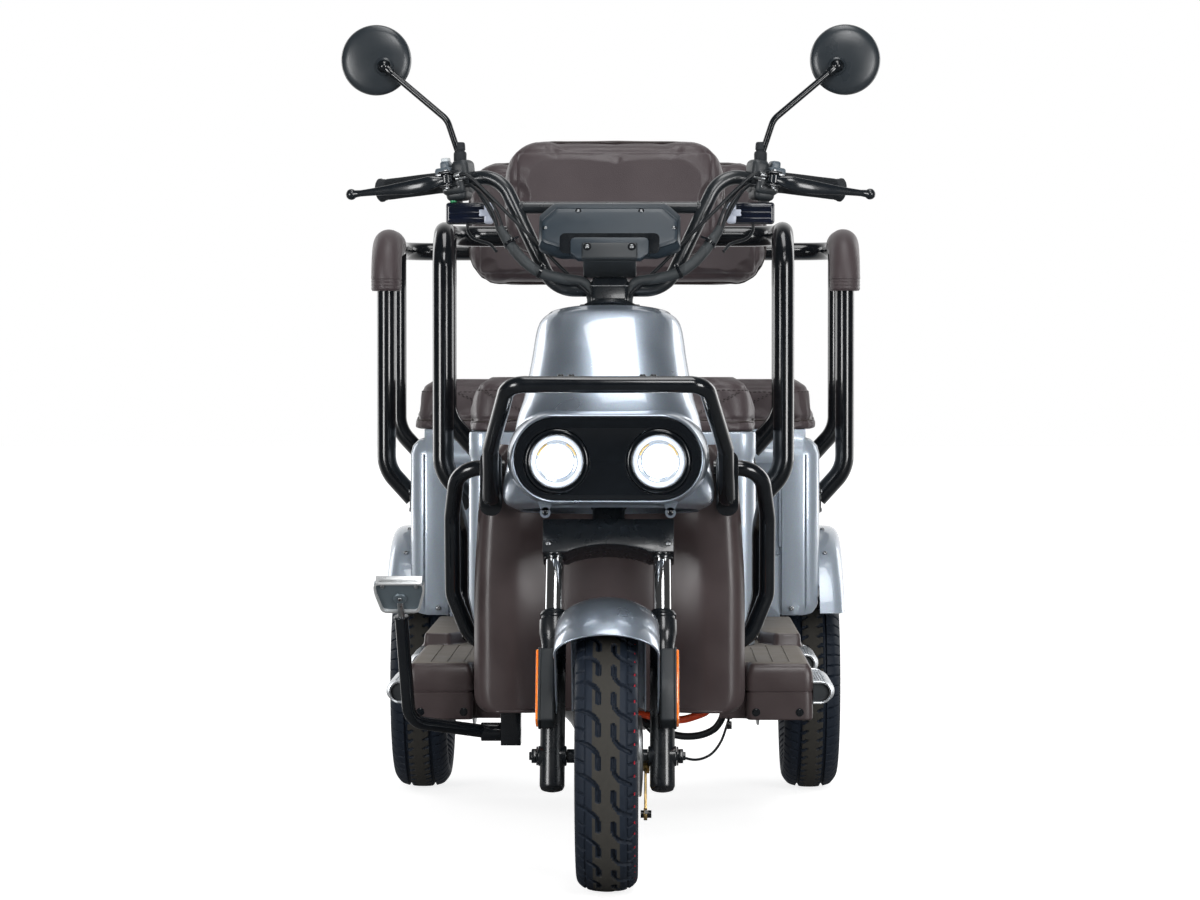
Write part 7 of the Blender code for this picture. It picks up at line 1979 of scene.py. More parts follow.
@dataclass
class WiringLoom(Paired):
    """Leads from the switches that run into a tape-wrapped bundle, and the brake cable beside it."""

    loom: tuple = (
        (0.2220, 0.3475, 1.0280), (0.2073, 0.3400, 1.0265), (0.193, 0.3210, 1.008), (0.177, 0.3125, 0.980),
        (0.159, 0.303, 0.948), (0.134, 0.290, 0.915), (0.105, 0.286, 0.893), (0.070, 0.293, 0.884),
        (0.044, 0.303, 0.880), (0.0300, 0.308, 0.868), (0.0268, 0.306, 0.852), (0.0258, 0.300, 0.834))
    cable: tuple = (
        (0.2376, 0.3360, 1.0413), (0.2179, 0.3259, 1.0423), (0.190, 0.318, 1.018), (0.150, 0.309, 0.978),
        (0.112, 0.306, 0.940), (0.078, 0.300, 0.905), (0.050, 0.297, 0.878), (0.030, 0.301, 0.858),
        (0.024, 0.299, 0.838))
    wrapped_from: float = 0.962
    radius: float = 0.0085
    cable_radius: float = 0.0028

    def make(self, side: Side) -> Piece:
        """One side's loom."""
        piece = Piece(f"wiring_loom_{side.word}_wrapped", "steering", CABLE_SHEATH, f"wiring_loom_{side.word}")
        route = smooth_route(self.loom, 14)
        wrapped = [point for point in route if point.z < self.wrapped_from]
        radii = []
        travelled = 0.0
        for i, point in enumerate(wrapped):
            travelled += (point - wrapped[max(i - 1, 0)]).length
            lap = (travelled / 0.0115) % 1.0
            radii.append((0.80 + 0.20 * blended(0, 0.03, travelled)) * (0.955 + 0.045 * lap
                                                                        + 0.02 * math.sin(travelled * 310)))
        piece.add(tube(wrapped, self.radius, 24, radii), LOOM_TAPE)
        for k, (dx, dy, dz) in enumerate(((0.0035, -0.004, 0.0), (-0.004, 0.001, 0.001), (0.002, 0.0045, -0.001))):
            sway = 0.006 + 0.004 * k
            lead = []
            for point in [p for p in route if p.z >= self.wrapped_from - 0.008]:
                share = min(max((point.z - self.wrapped_from) / 0.062, 0.0), 1.0)
                lean = math.sin(math.pi * share) * sway
                lead.append(point + Vector((dx - lean * (1 - k * 0.5), dy - lean * 0.3 * k, dz)))
            piece.add(tube(lead, 0.0026 - 0.0003 * k, 12), CABLE_SHEATH)
        cable = smooth_route(self.cable, 12)
        piece.add(tube(cable, self.cable_radius, 14), CABLE_SHEATH)
        ferrule = rod(cable[0], cable[6], self.cable_radius + 0.0012, 20, bevel=0.0006)
        piece.add(ferrule, CAST_ALUMINIUM)
        self.tie(piece, wrapped)
        return piece

    def tie(self, piece: Piece, wrapped: Route) -> None:
        """Two cable ties round the bundle, each with its locking head and its cut tail."""
        for height in (0.8925, 0.9370):
            spot = min(range(1, len(wrapped) - 1), key=lambda i: abs(wrapped[i].z - height))
            place = aligned(wrapped[spot - 1], wrapped[spot + 1])
            band = turned([(self.radius - 0.0004, 0.0), (self.radius + 0.0012, 0.0), (self.radius + 0.0012, 0.0042),
                           (self.radius - 0.0004, 0.0042)], 32, closed=True)
            head = centred_block((self.radius + 0.0028, 0, 0.0021), (0.0050, 0.0058, 0.0056), 0.0010, 2)
            tail = centred_block((self.radius + 0.0040, 0.0068, 0.0021), (0.0010, 0.0120, 0.0036), 0.0003, 1)
            piece.add(joined(band, head, tail), GLOSS_BLACK, place)


def build_start_button() -> None:
    """The start button on the right housing's rider side."""
    seat = Vector((ControlPerch.inner - ControlPerch.button_in, 0.0183, 0.004))
    piece = Piece("start_button_moulded", "button", PALE_BUTTON, "start_button")
    profile = [(0, 0), (0.0060, 0), (0.0060, 0.0066), (0.0052, 0.0078), (0.0036, 0.0080), (0.0, 0.0072)]
    place = MIRROR_X @ BAR @ Matrix.Translation(seat) @ FACE_BACK
    piece.add(turned(profile, 36), PALE_BUTTON, place)
    piece.place()


# Front body

@dataclass
class Cowl:
    """The front cowl, lofted over sections of (front z, rear z, front y, rear y, half width)."""

    sections: tuple = (
        (0.547, 0.530, 0.056, 0.245, 0.134), (0.560, 0.538, 0.041, 0.245, 0.1515),
        (0.585, 0.553, 0.038, 0.245, 0.1555), (0.620, 0.576, 0.038, 0.245, 0.1505),
        (0.662, 0.606, 0.043, 0.245, 0.1415), (0.700, 0.644, 0.063, 0.255, 0.134),
        (0.734, 0.674, 0.090, 0.297, 0.125), (0.785, 0.727, 0.138, 0.341, 0.1165),
        (0.8290, 0.785, 0.191, 0.367, 0.1085), (0.8420, 0.812, 0.220, 0.367, 0.0925))
    squareness: float = 2.45
    points: int = 112
    wall: float = 0.003
    panel_width: float = 0.268
    panel_height: float = 0.118
    panel_z: float = 0.618
    panel_front: float = 0.030
    panel_back: float = 0.056
    lamp_x: float = 0.0735
    lamp_z: float = 0.614
    lamp_radius: float = 0.0472
    neck_radius: float = 0.0395
    neck_y: float = 0.303
    clip_x: float = 0.0905
    clip_z: float = 0.5395

    def ring(self, section: Sequence[float]) -> list[Point]:
        """One closed ring, tilted from its front height to its rear height."""
        front_z, rear_z, front_y, rear_y, half = section
        power = 2 / self.squareness
        ring = []
        for i in range(self.points):
            turn = 2 * math.pi * (i + 0.5) / self.points
            u = math.copysign(abs(math.cos(turn)) ** power, math.cos(turn))
            v = math.copysign(abs(math.sin(turn)) ** power, math.sin(turn))
            mix = (v + 1) / 2
            ring.append((half * u, front_y + (rear_y - front_y) * mix, front_z + (rear_z - front_z) * mix))
        return ring

    def neck(self) -> list[Point]:
        """The ring round the head tube where the cowl's top closes in."""
        turns = [2 * math.pi * (i + 0.5) / self.points for i in range(self.points)]
        return [(self.neck_radius * math.cos(turn), self.neck_y + self.neck_radius * math.sin(turn), 0.8425)
                for turn in turns]

    def shell(self) -> Mesh:
        """The cowl's wall, open at its foot."""
        fine = smooth_points(np.array(self.sections), 9)
        rings = [self.ring(section) for section in fine]
        last, neck = np.array(rings[-1]), np.array(self.neck())
        for step in range(1, 7):
            share = step / 6
            rise = 0.0015 * math.sin(math.pi * min(share * 1.2, 1.0))
            ring = last + (neck - last) * share + np.array([0, 0, rise])
            rings.append(ring.tolist())
        return hollow_shell(rings, self.wall, (0, -1, 0), lambda face: -face.calc_center_median().y)

    def stadium(self, grow: float) -> Outline:
        """The lamp panel's outline, grown by a margin."""
        radius = self.panel_height / 2 + grow
        return rounded_rectangle(self.panel_width + 2 * grow, self.panel_height + 2 * grow, radius - 0.0001,
                                 24, (0, self.panel_z))

    def surround(self) -> Mesh:
        """The lip that the cowl turns forward round the lamp panel."""
        rings = []
        for grow, y in ((0.0006, 0.060), (0.0006, 0.0345), (0.0014, 0.0325), (0.0030, 0.0320), (0.0044, 0.0335),
                        (0.0058, 0.0375), (0.0082, 0.050), (0.0115, 0.072), (0.0135, 0.105)):
            rings.append([(x, y, z) for x, z in self.stadium(grow)])
        return loft(rings, caps=False)

    def build(self) -> None:
        """Make the cowl, the panel and both headlamps."""
        cowl = Piece("front_cowl_lacquered", "chassis", SILVER, "front_cowl")
        cowl.add(self.shell(), SILVER).add(self.surround(), SILVER)
        clips = []
        for side in Side:
            x = side.value * self.clip_x
            tab = upright(plate([(x - 0.006, 0.543), (x + 0.006, 0.543), (x + 0.012, 0.558), (x - 0.012, 0.558)],
                                0.003), 0.052)
            ring = moved(turned([(0.004, 0), (0.0078, 0), (0.0078, 0.003), (0.004, 0.003)], 24, closed=True),
                         Matrix.Translation((x, 0.055, self.clip_z)) @ FACE_FRONT)
            clips += [tab, ring]
        cowl.add(joined(*clips), SILVER)
        spots = [((side.value * self.clip_x, 0.0535, self.clip_z), (0, -1, 0)) for side in Side]
        cowl.screws(spots, 0.0045, finish=GLOSS_BLACK)
        collar = turned([(0.0405, 0), (0.0448, 0), (0.0456, 0.0008), (0.0448, 0.0024), (0.0405, 0.0026)], 64,
                        closed=True)
        cowl.add(collar, BLACK_PLASTIC, Matrix.Translation((0, self.neck_y, 0.8427)))
        cowl.place(angle=50)
        holes = [circle(self.lamp_radius + 0.0007, 72, (side.value * self.lamp_x, self.lamp_z)) for side in Side]
        panel = Piece("lamp_panel_polished", "chassis", GLOSS_PANEL, "lamp_panel")
        body = upright(plate(self.stadium(0), self.panel_back - self.panel_front, holes), self.panel_front)
        panel.add(rounded(body, 0.003, 4, 60), GLOSS_PANEL).place()
        for side in Side:
            self.headlamp(side)

    def headlamp(self, side: Side) -> None:
        """One round headlamp: bezel, reflector, light ring, projector and clear lens."""
        place = Matrix.Translation((side.value * self.lamp_x, self.panel_front - 0.004, self.lamp_z)) @ FACE_BACK
        r = self.lamp_radius
        piece = Piece(f"headlamp_{side.word}_dressed", "chassis", LENS, f"headlamp_{side.word}")
        bezel = [(r, 0.050), (r, 0.0055), (r - 0.0015, 0.003), (r - 0.0035, 0.0022), (r - 0.0050, 0.0036),
                 (r - 0.0062, 0.0042), (r - 0.0072, 0.0018), (r - 0.0086, 0.0014), (r - 0.0093, 0.003),
                 (r - 0.0095, 0.012), (r - 0.0095, 0.050)]
        piece.add(turned(bezel, 96, closed=True), GLOSS_BLACK, place)
        bowl = [(0, 0.030), (0.0245, 0.030), (0.0262, 0.0125), (0.0285, 0.0115), (0.0300, 0.0125), (0.0304, 0.014),
                (0.0376, 0.014), (0.0376, 0.034), (0, 0.034)]
        piece.add(turned(bowl, 96), REFLECTOR, place)
        ring = [(0.0306, 0.0138), (0.0306, 0.0075), (0.0318, 0.0062), (0.0362, 0.0062), (0.0374, 0.0075),
                (0.0374, 0.0138)]
        piece.add(turned(ring, 96, closed=True), RING_GLOW, place)
        dome = [(0, 0.0062)] + [(0.0244 * math.sin(a), 0.0062 + 0.0095 * (1 - math.cos(a)))
                                for a in [math.radians(90) * i / 12 for i in range(1, 13)]] + [(0.0244, 0.029)]
        piece.add(turned(dome + [(0, 0.029)], 96), LAMP_GLOW, place)
        # Brass arcs in two lower quadrants only: a painted reflection in the projector's chrome ring, not a full ring
        painted_reflection_arcs = [tube([Vector((0.0284 * math.cos(math.radians(a)), 0.0284 * math.sin(math.radians(a)), 0.0105))
                      for a in range(start, start + 43, 3)], 0.0014, 8) for start in (108, 210)]
        piece.add(joined(*painted_reflection_arcs), BRASS, place @ Matrix.Rotation(math.radians(90), 4, "Z"))
        front = [(0, 0.0), (0.018, 0.0004), (0.030, 0.0020), (0.0376, 0.0045)]
        lens = front + [(radius, depth + 0.0011) for radius, depth in reversed(front)]
        piece.add(turned(lens, 96), LENS, place)
        piece.place()


@dataclass
class LegShield:
    """The leg shield: hollow in its middle, bulging before the rider's shins."""

    half_width: float = 0.203
    crest_y: float = SHIELD_CREST
    wall: float = 0.004
    rows: tuple = ((0.233, 0.925), (0.242, 0.976), (0.258, 0.998), (0.290, 1.0), (0.340, 1.0), (0.420, 1.0),
                   (0.500, 0.98), (0.570, 0.955), (0.608, 0.92), (0.634, 0.82))
    columns: tuple = ((0.0, 0.042), (0.15, 0.0405), (0.30, 0.035), (0.40, 0.0265), (0.50, 0.017), (0.59, 0.0085),
                      (0.68, 0.002), (0.76, 0.0), (0.85, 0.0), (0.90, 0.0015), (0.945, 0.007), (0.975, 0.0145),
                      (1.0, 0.026))

    def build(self) -> None:
        """Make the shield with its folded edge."""
        columns = [(-u, back) for u, back in reversed(self.columns[1:])] + list(self.columns)
        grid = np.array([[(u * share * self.half_width, self.crest_y + back, z) for u, back in columns]
                         for z, share in self.rows])
        grid = smooth_points(grid, 8)
        grid = smooth_points(grid.transpose(1, 0, 2), 5).transpose(1, 0, 2)
        piece = Piece("leg_shield_moulded", "chassis", BROWN_PLASTIC, "leg_shield")
        piece.add(walled(sheet(grid.tolist(), (0, -1, 0)), self.wall), BROWN_PLASTIC)
        border = border_of(grid)
        middle = Vector((0, 0, 0.43))
        inset = [p + Vector(((middle - p).x, 0, (middle - p).z)).normalized() * 0.0022 + Vector((0, 0.0012, 0))
                 for p in border]
        piece.add(tube(inset, 0.0024, 8, loop=True), BROWN_PLASTIC)
        piece.place(angle=60)


@dataclass
class TubeGuards:
    """The front guard and the doubled crash bars."""

    radius: float = 0.012
    crest_y: float = SHIELD_CREST
    foot_x: float = 0.1755
    foot_z: float = 0.578
    foot_height: float = 0.098

    def guard(self) -> None:
        """The bar before the lamps with its bolt plates and basket tabs."""
        plate_back = self.crest_y - 2 * (self.radius + GAP)
        corners = [(0.1745, plate_back - 0.0025, 0.556), (0.1745, 0.168, 0.556), (0.170, 0.070, 0.632),
                   (0.1395, -0.070, 0.725)]
        piece = Piece("front_guard_bent", "chassis", GLOSS_BLACK, "front_guard")
        piece.add(tube(bent_route(both_sides(corners), 0.028, 10), self.radius, 24), GLOSS_BLACK)
        spots = []
        for side in Side:
            s = side.value
            outline = rounded_rectangle(0.033, self.foot_height, 0.0155, 8, (s * self.foot_x, self.foot_z))
            hole = circle(0.004, 20, (s * self.foot_x, self.foot_z + self.foot_height * 0.36))
            foot = rounded(upright(plate(outline, 0.005, [hole]), plate_back - 0.005), 0.001, 2, 60)
            tab = centred_block((s * 0.058, -0.052, 0.735), (0.026, 0.024, 0.003), 0.001, 2)
            piece.add(joined(foot, tab), GLOSS_BLACK)
            spots += [((s * 0.0655, -0.052, 0.7363), (0, 0, 1)), ((s * 0.0505, -0.052, 0.7363), (0, 0, 1)),
                      ((s * self.foot_x, plate_back - 0.005, 0.548), (0, -1, 0)),
                      ((s * 0.1476, -0.0365, 0.7115), (s * 0.25, -0.75, 0.55))]
        piece.screws(spots, 0.0048, finish=GLOSS_BLACK)
        piece.place()

    def crash_bar(self, side: Side) -> Piece:
        """One side's doubled D-shaped bar."""
        tube_y = self.crest_y - self.radius - GAP
        half, top, foot_z, foot_y = 0.238, 0.600, 0.332, 0.300
        outer = [(0.1555, tube_y, top), (half - 0.012, tube_y, top), (half, tube_y + 0.065, top - 0.075),
                 (half, foot_y, foot_z + 0.075), (half - 0.030, foot_y, foot_z), (0.1643, foot_y, foot_z)]
        inner = [(half - 0.004, tube_y + 0.045, top - 0.050), (half - 0.010, tube_y + 0.130, top - 0.095),
                 (half - 0.010, tube_y + 0.130, foot_z + 0.070), (half - 0.026, foot_y, foot_z + 0.010)]
        piece = Piece(f"crash_bar_{side.word}_bent", "chassis", GLOSS_BLACK, f"crash_bar_{side.word}")
        piece.add(tube(bent_route(outer, 0.040, 12), self.radius, 24), GLOSS_BLACK)
        piece.add(tube(bent_route(inner, 0.040, 12), self.radius * 0.995, 24), GLOSS_BLACK)
        return piece

    def build(self) -> None:
        """Make the guard and both crash bars."""
        self.guard()
        pair(self.crash_bar)


# Armrest frames

@dataclass
class ArmrestFrame:
    """A bent tube from foot to foot round a seat's back, with a second leg on each side."""

    name: str
    node: str
    x: float
    top: float
    front: float
    foot: float
    face: float
    back: float
    radius: float
    leg_y: float
    leg_foot: float
    bend: float = 0.062
    disc: float = 0.005
    bolts: float = 0.0205

    def build(self) -> None:
        """Make the frame with its welded mount discs and their bolts."""
        rise = (self.x - self.face) * 1.1
        corners = [(self.face, self.front, self.foot), (self.x, self.front, self.foot + rise),
                   (self.x, self.front, self.top), (self.x, self.back, self.top)]
        piece = Piece(self.name, "chassis", GLOSS_BLACK, self.node)
        piece.add(tube(bent_route(both_sides(corners), self.bend, 14), self.radius, 28), GLOSS_BLACK)
        spots = []
        for side in Side:
            s = side.value
            leg = [(s * self.face, self.leg_y, self.leg_foot), (s * self.x, self.leg_y, self.leg_foot + rise),
                   (s * self.x, self.leg_y, self.top)]
            piece.add(tube(bent_route(leg, self.bend, 12), self.radius * 0.92, 24), GLOSS_BLACK)
            for y, z in ((self.front, self.foot), (self.leg_y, self.leg_foot)):
                out = s * (self.face + self.disc)
                piece.add(rod((s * self.face, y, z), (out, y, z), 0.026, 40, bevel=0.0015), GLOSS_BLACK)
                spots += [((out, y + self.bolts * math.cos(a), z + self.bolts * math.sin(a)), (s, 0, 0))
                          for a in (0.4, 2.5, 4.6)]
        piece.screws(spots, 0.0038)
        piece.place()


@dataclass
class ArmrestSleeve:
    """The leather sleeve sewn round the rear frame's front bend."""

    x: float = 0.4025
    front: float = 1.150
    top: float = 0.970
    bottom: float = 0.886
    reach: float = 0.130
    radius: float = 0.027

    def make(self, side: Side) -> Piece:
        """One sleeve with its rings at both ends and the seam on its inside."""
        corners = [(self.x, self.front, self.bottom), (self.x, self.front, self.top),
                   (self.x, self.front + self.reach, self.top)]
        route = bent_route(corners, 0.062, 40)
        even = [route[0] + (route[1] - route[0]) * i / 24 for i in range(24)] + route[1:-1]
        even += [route[-2] + (route[-1] - route[-2]) * i / 24 for i in range(1, 25)]
        run = [0.0]
        for a, b in zip(even, even[1:]):
            run.append(run[-1] + (b - a).length)
        radii = []
        for place in run:
            end = min(place, run[-1] - place)
            ridge = max(math.exp(-((end - ring) / 0.0016) ** 2) for ring in (0.0045, 0.0105, 0.0165))
            radii.append(0.955 + 0.045 * blended(0.0, 0.003, end) - 0.035 * blended(0.0225, 0.030, end) * 0.4
                         + 0.020 * ridge * (end < 0.024) - (0.03 if end < 0.021 else 0.0))
        piece = Piece(f"armrest_sleeve_{side.word}", "chassis", BROWN_LEATHER, f"armrest_pad_{side.word}")
        piece.add(tube(even, self.radius, 40, radii), BROWN_LEATHER)
        seam = [point + Vector((-self.radius * 0.965, 0, 0)) for point in even[4:-4]]
        piece.add(STITCHES.along(seam, 0.0055, 0.0008, 0.0075, THREAD), THREAD)
        return piece


# Cushions

# How many frames the cloth simulation runs
CLOTH_STEPS = 20


def relaxed(mesh: Mesh, voxel: float, cap: float, held: Callable[[Vector], bool]) -> Mesh:
    """Puff a cushion's cover as its foam does, by cloth under pressure.

    Args:
        mesh: the cushion's closed form, which is used up.
        voxel: the size of the cloth's mesh.
        cap: how far a point may move.
        held: whether a point is glued down.

    Returns:
        The puffed mesh.
    """
    fine = finished_shape(mesh, "REMESH", mode="VOXEL", voxel_size=voxel)
    start = np.array([vert.co for vert in fine.vertices])
    cover = put("cover", fine)
    pins = cover.vertex_groups.new(name="held")
    pins.add([vert.index for vert in fine.vertices if held(vert.co)], 1.0, "REPLACE")
    cloth = cover.modifiers.new("cloth", "CLOTH")
    rules = cloth.settings
    rules.quality = 4
    rules.mass = 0.3
    rules.tension_stiffness = rules.compression_stiffness = 14
    rules.shear_stiffness = 6
    rules.bending_stiffness = 0.8
    rules.use_pressure = True
    rules.uniform_pressure_force = 4.0
    rules.effector_weights.gravity = 0.0
    rules.vertex_group_mass = "held"
    scene = bpy.context.scene
    for step in range(1, CLOTH_STEPS + 1):
        scene.frame_set(step)
    made = evaluated(cover)
    scene.frame_set(1)
    end = np.array([vert.co for vert in made.vertices])
    move = end - start
    length = np.linalg.norm(move, axis=1, keepdims=True)
    move *= np.minimum(1.0, cap / np.maximum(length, 1e-9))
    made.vertices.foreach_set("co", (start + move).astype(np.float32).ravel())
    bpy.data.objects.remove(cover, do_unlink=True)
    bpy.data.meshes.remove(fine)
    return finished_shape(made, "SUBSURF", levels=1, render_levels=1)


def pressed_in(mesh: Mesh, dip: Callable[[np.ndarray], np.ndarray]) -> Mesh:
    """Draw a mesh in along its normals.

    Args:
        mesh: the mesh, which is changed.
        dip: how far each point sinks, from an array of points.

    Returns:
        The same mesh.
    """
    points = np.zeros(len(mesh.vertices) * 3, np.float32)
    mesh.vertices.foreach_get("co", points)
    points = points.reshape(-1, 3)
    normals = np.array([n.vector for n in mesh.vertex_normals])
    points -= normals * dip(points)[:, None]
    mesh.vertices.foreach_set("co", points.ravel())
    mesh.update()
    return mesh


def laid_on(mesh: Mesh, points: Sequence[Sequence[float]], lift: float = 0.0) -> list[Vector]:
    """Points moved onto the nearest spots of a cover, and a little off it."""
    cover = BVHTree.FromPolygons([vert.co for vert in mesh.vertices],
                                 [tuple(face.vertices) for face in mesh.polygons])
    laid = []
    for point in points:
        spot, normal, _, _ = cover.find_nearest(Vector(point))
        laid.append(spot + normal * lift)
    return laid


def kept_within(mesh: Mesh, low: Point, high: Point) -> Mesh:
    """Keep a mesh inside the box between two corners."""
    points = np.clip([vert.co for vert in mesh.vertices], low, high)
    mesh.vertices.foreach_set("co", points.astype(np.float32).ravel())
    mesh.update()
    return mesh


def resampled(ring: list[Point], count: int) -> list[Point]:
    """A closed outline in even steps."""
    points = np.array(ring + ring[:1])
    run = np.concatenate([[0], np.cumsum(np.linalg.norm(np.diff(points, axis=0), axis=1))])
    even = np.linspace(0, run[-1], count, endpoint=False)
    return np.stack([np.interp(even, run, points[:, k]) for k in range(3)], axis=1).tolist()


def seam_dip(distance: np.ndarray, width: float, depth: float) -> np.ndarray:
    """How far a sewn seam draws the cover in, at distances from its line."""
    return np.exp(-(distance / width) ** 2) * depth


@dataclass
class SeatCushion:
    """A seat cushion on its hinged board: a lip band, drawn-in sides and a crowned top."""

    name: str
    node: str
    body: str
    half_x: float
    front: float
    back: float
    low: float
    top: float
    corner: float = 0.045
    voxel: float = 0.005
    lip: float = 0.019

    def ring(self, rise: float, inset: float, drawn: float) -> list[Point]:
        """One ring of the cushion at a share of its height."""
        middle = (self.front + self.back) / 2
        width, depth = 2 * self.half_x, self.back - self.front
        radius = max(self.corner - inset * 0.4, 0.012)
        ring = []
        for x, y in self.edge(width - 2 * inset, depth - 2 * inset, radius, middle):
            u = min(1.0, abs(x) / (self.half_x - inset))
            v = min(1.0, abs(y - middle) / (depth / 2 - inset))
            pull = drawn * (1 - min(u, v) ** 2)
            shrink_x = 1 - pull / self.half_x * (u > 0.99)
            shrink_y = 1 - pull / (depth / 2) * (v > 0.99)
            ring.append((x * shrink_x, middle + (y - middle) * shrink_y, self.low + (self.top - self.low) * rise))
        return ring

    @staticmethod
    def edge(width: float, depth: float, radius: float, middle: float) -> Outline:
        """A rounded rectangle with points along its sides too."""
        corners = rounded_rectangle(width, depth, radius, 8, (0, middle))
        points = []
        for a, b in zip(corners, corners[1:] + corners[:1]):
            count = max(1, round(math.hypot(b[0] - a[0], b[1] - a[1]) / 0.012))
            points += [(a[0] + (b[0] - a[0]) * i / count, a[1] + (b[1] - a[1]) * i / count) for i in range(count)]
        return points

    def form(self) -> Mesh:
        """The cushion's closed form before it is puffed."""
        layers = np.array([(0.0, 0.0015, 0.0), (0.14, 0.0015, 0.0), (0.24, 0.0030, 0.002), (0.50, 0.0025, 0.004),
                           (0.76, 0.0045, 0.003), (0.87, 0.0105, 0.0), (0.94, 0.0225, 0.0), (0.985, 0.050, 0.0),
                           (0.995, 0.095, 0.0)])
        rings = [self.ring(*layer) for layer in smooth_points(layers, 3)]
        return loft([resampled(ring, 160) for ring in rings])

    def build(self) -> None:
        """Make the cushion, its seams, piping and stitches."""
        piece = Piece(self.name, self.body, BROWN_LEATHER, self.node)
        height = self.top - self.low
        mesh = relaxed(self.form(), self.voxel, 0.007, lambda co: co.z < self.low + 0.006)
        seam_z = self.low + self.lip
        top_seam = self.low + height * 0.80

        def dip(points: np.ndarray) -> np.ndarray:
            """The seams' depth at points of the cover."""
            level = points[:, 2]
            return seam_dip(level - seam_z, 0.0032, 0.0035) + seam_dip(level - top_seam, 0.0030, 0.0016)

        kept_within(pressed_in(mesh, dip), (-self.half_x, self.front, self.low), (self.half_x, self.back, self.top))
        welt = laid_on(mesh, resampled(self.ring(self.lip / height, 0.0015, 0.0), 140), 0.0004)
        line = laid_on(mesh, resampled(self.ring(0.80, 0.0052, 0.002), 220))
        crosses = []
        for side in Side:
            for shift in (0.0, 0.006):
                run = [(side.value * (self.half_x * 0.56 + shift + 0.075 * i / 20), self.front + 0.0008,
                        seam_z + 0.008 + (top_seam - seam_z - 0.012) * i / 20) for i in range(21)]
                crosses.append(laid_on(mesh, run))
        piece.add(mesh, BROWN_LEATHER)
        piece.add(tube(welt, 0.0016, 10, loop=True), PIPING)
        piece.add(STITCHES.along(line + line[:1], 0.0060, 0.0009, 0.0085, THREAD), THREAD)
        for run in crosses:
            piece.add(STITCHES.along(run, 0.0050, 0.0009, 0.0072, THREAD), THREAD)
        made = piece.place(angle=60)


@dataclass
class Backrest:
    """A backrest pad: a flat back, a piped edge, drawn-in sides and a crowned face."""

    name: str
    node: str
    half_x: float
    low: float
    high: float
    front: float
    depth: float = 0.060
    corner: float = 0.062

    def outline(self, inset: float) -> Outline:
        """The pad's outline, set in by a margin, in even steps."""
        corners = rounded_rectangle(2 * (self.half_x - inset), self.high - self.low - 2 * inset,
                                    max(self.corner - inset * 0.5, 0.015), 10, (0, (self.low + self.high) / 2))
        ring = resampled([(x, z, 0.0) for x, z in corners], 160)
        return [(x, z) for x, z, _ in ring]

    def build(self) -> None:
        """Make the pad, its border seam and piping."""
        layers = np.array([(1.0, 0.012), (0.93, 0.0035), (0.74, 0.0025), (0.60, 0.0025), (0.38, 0.0035),
                           (0.18, 0.0115), (0.06, 0.030), (0.012, 0.066)])
        rings = [[(x, self.front + self.depth * share, z) for x, z in self.outline(inset)]
                 for share, inset in smooth_points(layers, 3)]
        mesh = relaxed(loft(rings), 0.005, 0.007, lambda co: co.y > self.front + self.depth - 0.004)
        seam_y = self.front + self.depth * 0.64
        middle = (self.low + self.high) / 2
        half_z = (self.high - self.low) / 2

        def dip(points: np.ndarray) -> np.ndarray:
            """The seams' depth at points of the cover."""
            edge = np.minimum(self.half_x - np.abs(points[:, 0]), half_z - np.abs(points[:, 2] - middle))
            face = points[:, 1] < self.front + 0.022
            return seam_dip(points[:, 1] - seam_y, 0.0032, 0.0032) + seam_dip(edge - 0.022, 0.0030, 0.0020) * face

        kept_within(pressed_in(mesh, dip), (-self.half_x, self.front, self.low),
                    (self.half_x, self.front + self.depth, self.high))
        welt = laid_on(mesh, [(x, seam_y, z) for x, z in self.outline(0.0022)], 0.0006)
        piece = Piece(self.name, "chassis", BROWN_LEATHER, self.node).add(mesh, BROWN_LEATHER)
        piece.add(tube(welt, 0.0018, 10, loop=True), PIPING)
        piece.place(angle=60)


# Floor, steps and boxes

def set_in(outline: Sequence[tuple[float, float]], distance: float) -> Outline:
    """Shrink a closed outline, run anticlockwise, by a distance."""
    shrunk = []
    count = len(outline)
    for i, (x, y) in enumerate(outline):
        before, after = Vector(outline[i - 1]), Vector(outline[(i + 1) % count])
        here = Vector((x, y))
        a, b = (here - before).normalized(), (after - here).normalized()
        na, nb = Vector((-a.y, a.x)), Vector((-b.y, b.x))
        middle = (na + nb).normalized()
        reach = distance / max(middle.dot(na), 0.4)
        shrunk.append((x + middle.x * reach, y + middle.y * reach))
    return shrunk


def softened(corners: Sequence[tuple[float, float]], radius: float, steps: int = 5) -> Outline:
    """An outline with its corners rounded.

    Args:
        corners: the outline's corners, anticlockwise.
        radius: how far each rounding reaches along the edges.
        steps: how many steps a rounding has.

    Returns:
        The rounded outline.
    """
    made = []
    count = len(corners)
    for i, corner in enumerate(corners):
        here = Vector(corner)
        before, after = Vector(corners[i - 1]) - here, Vector(corners[(i + 1) % count]) - here
        reach = min(radius, before.length * 0.45, after.length * 0.45)
        start, end = here + before.normalized() * reach, here + after.normalized() * reach
        for step in range(steps + 1):
            t = step / steps
            made.append(tuple(start * (1 - t) ** 2 + here * 2 * t * (1 - t) + end * t * t))
    return made


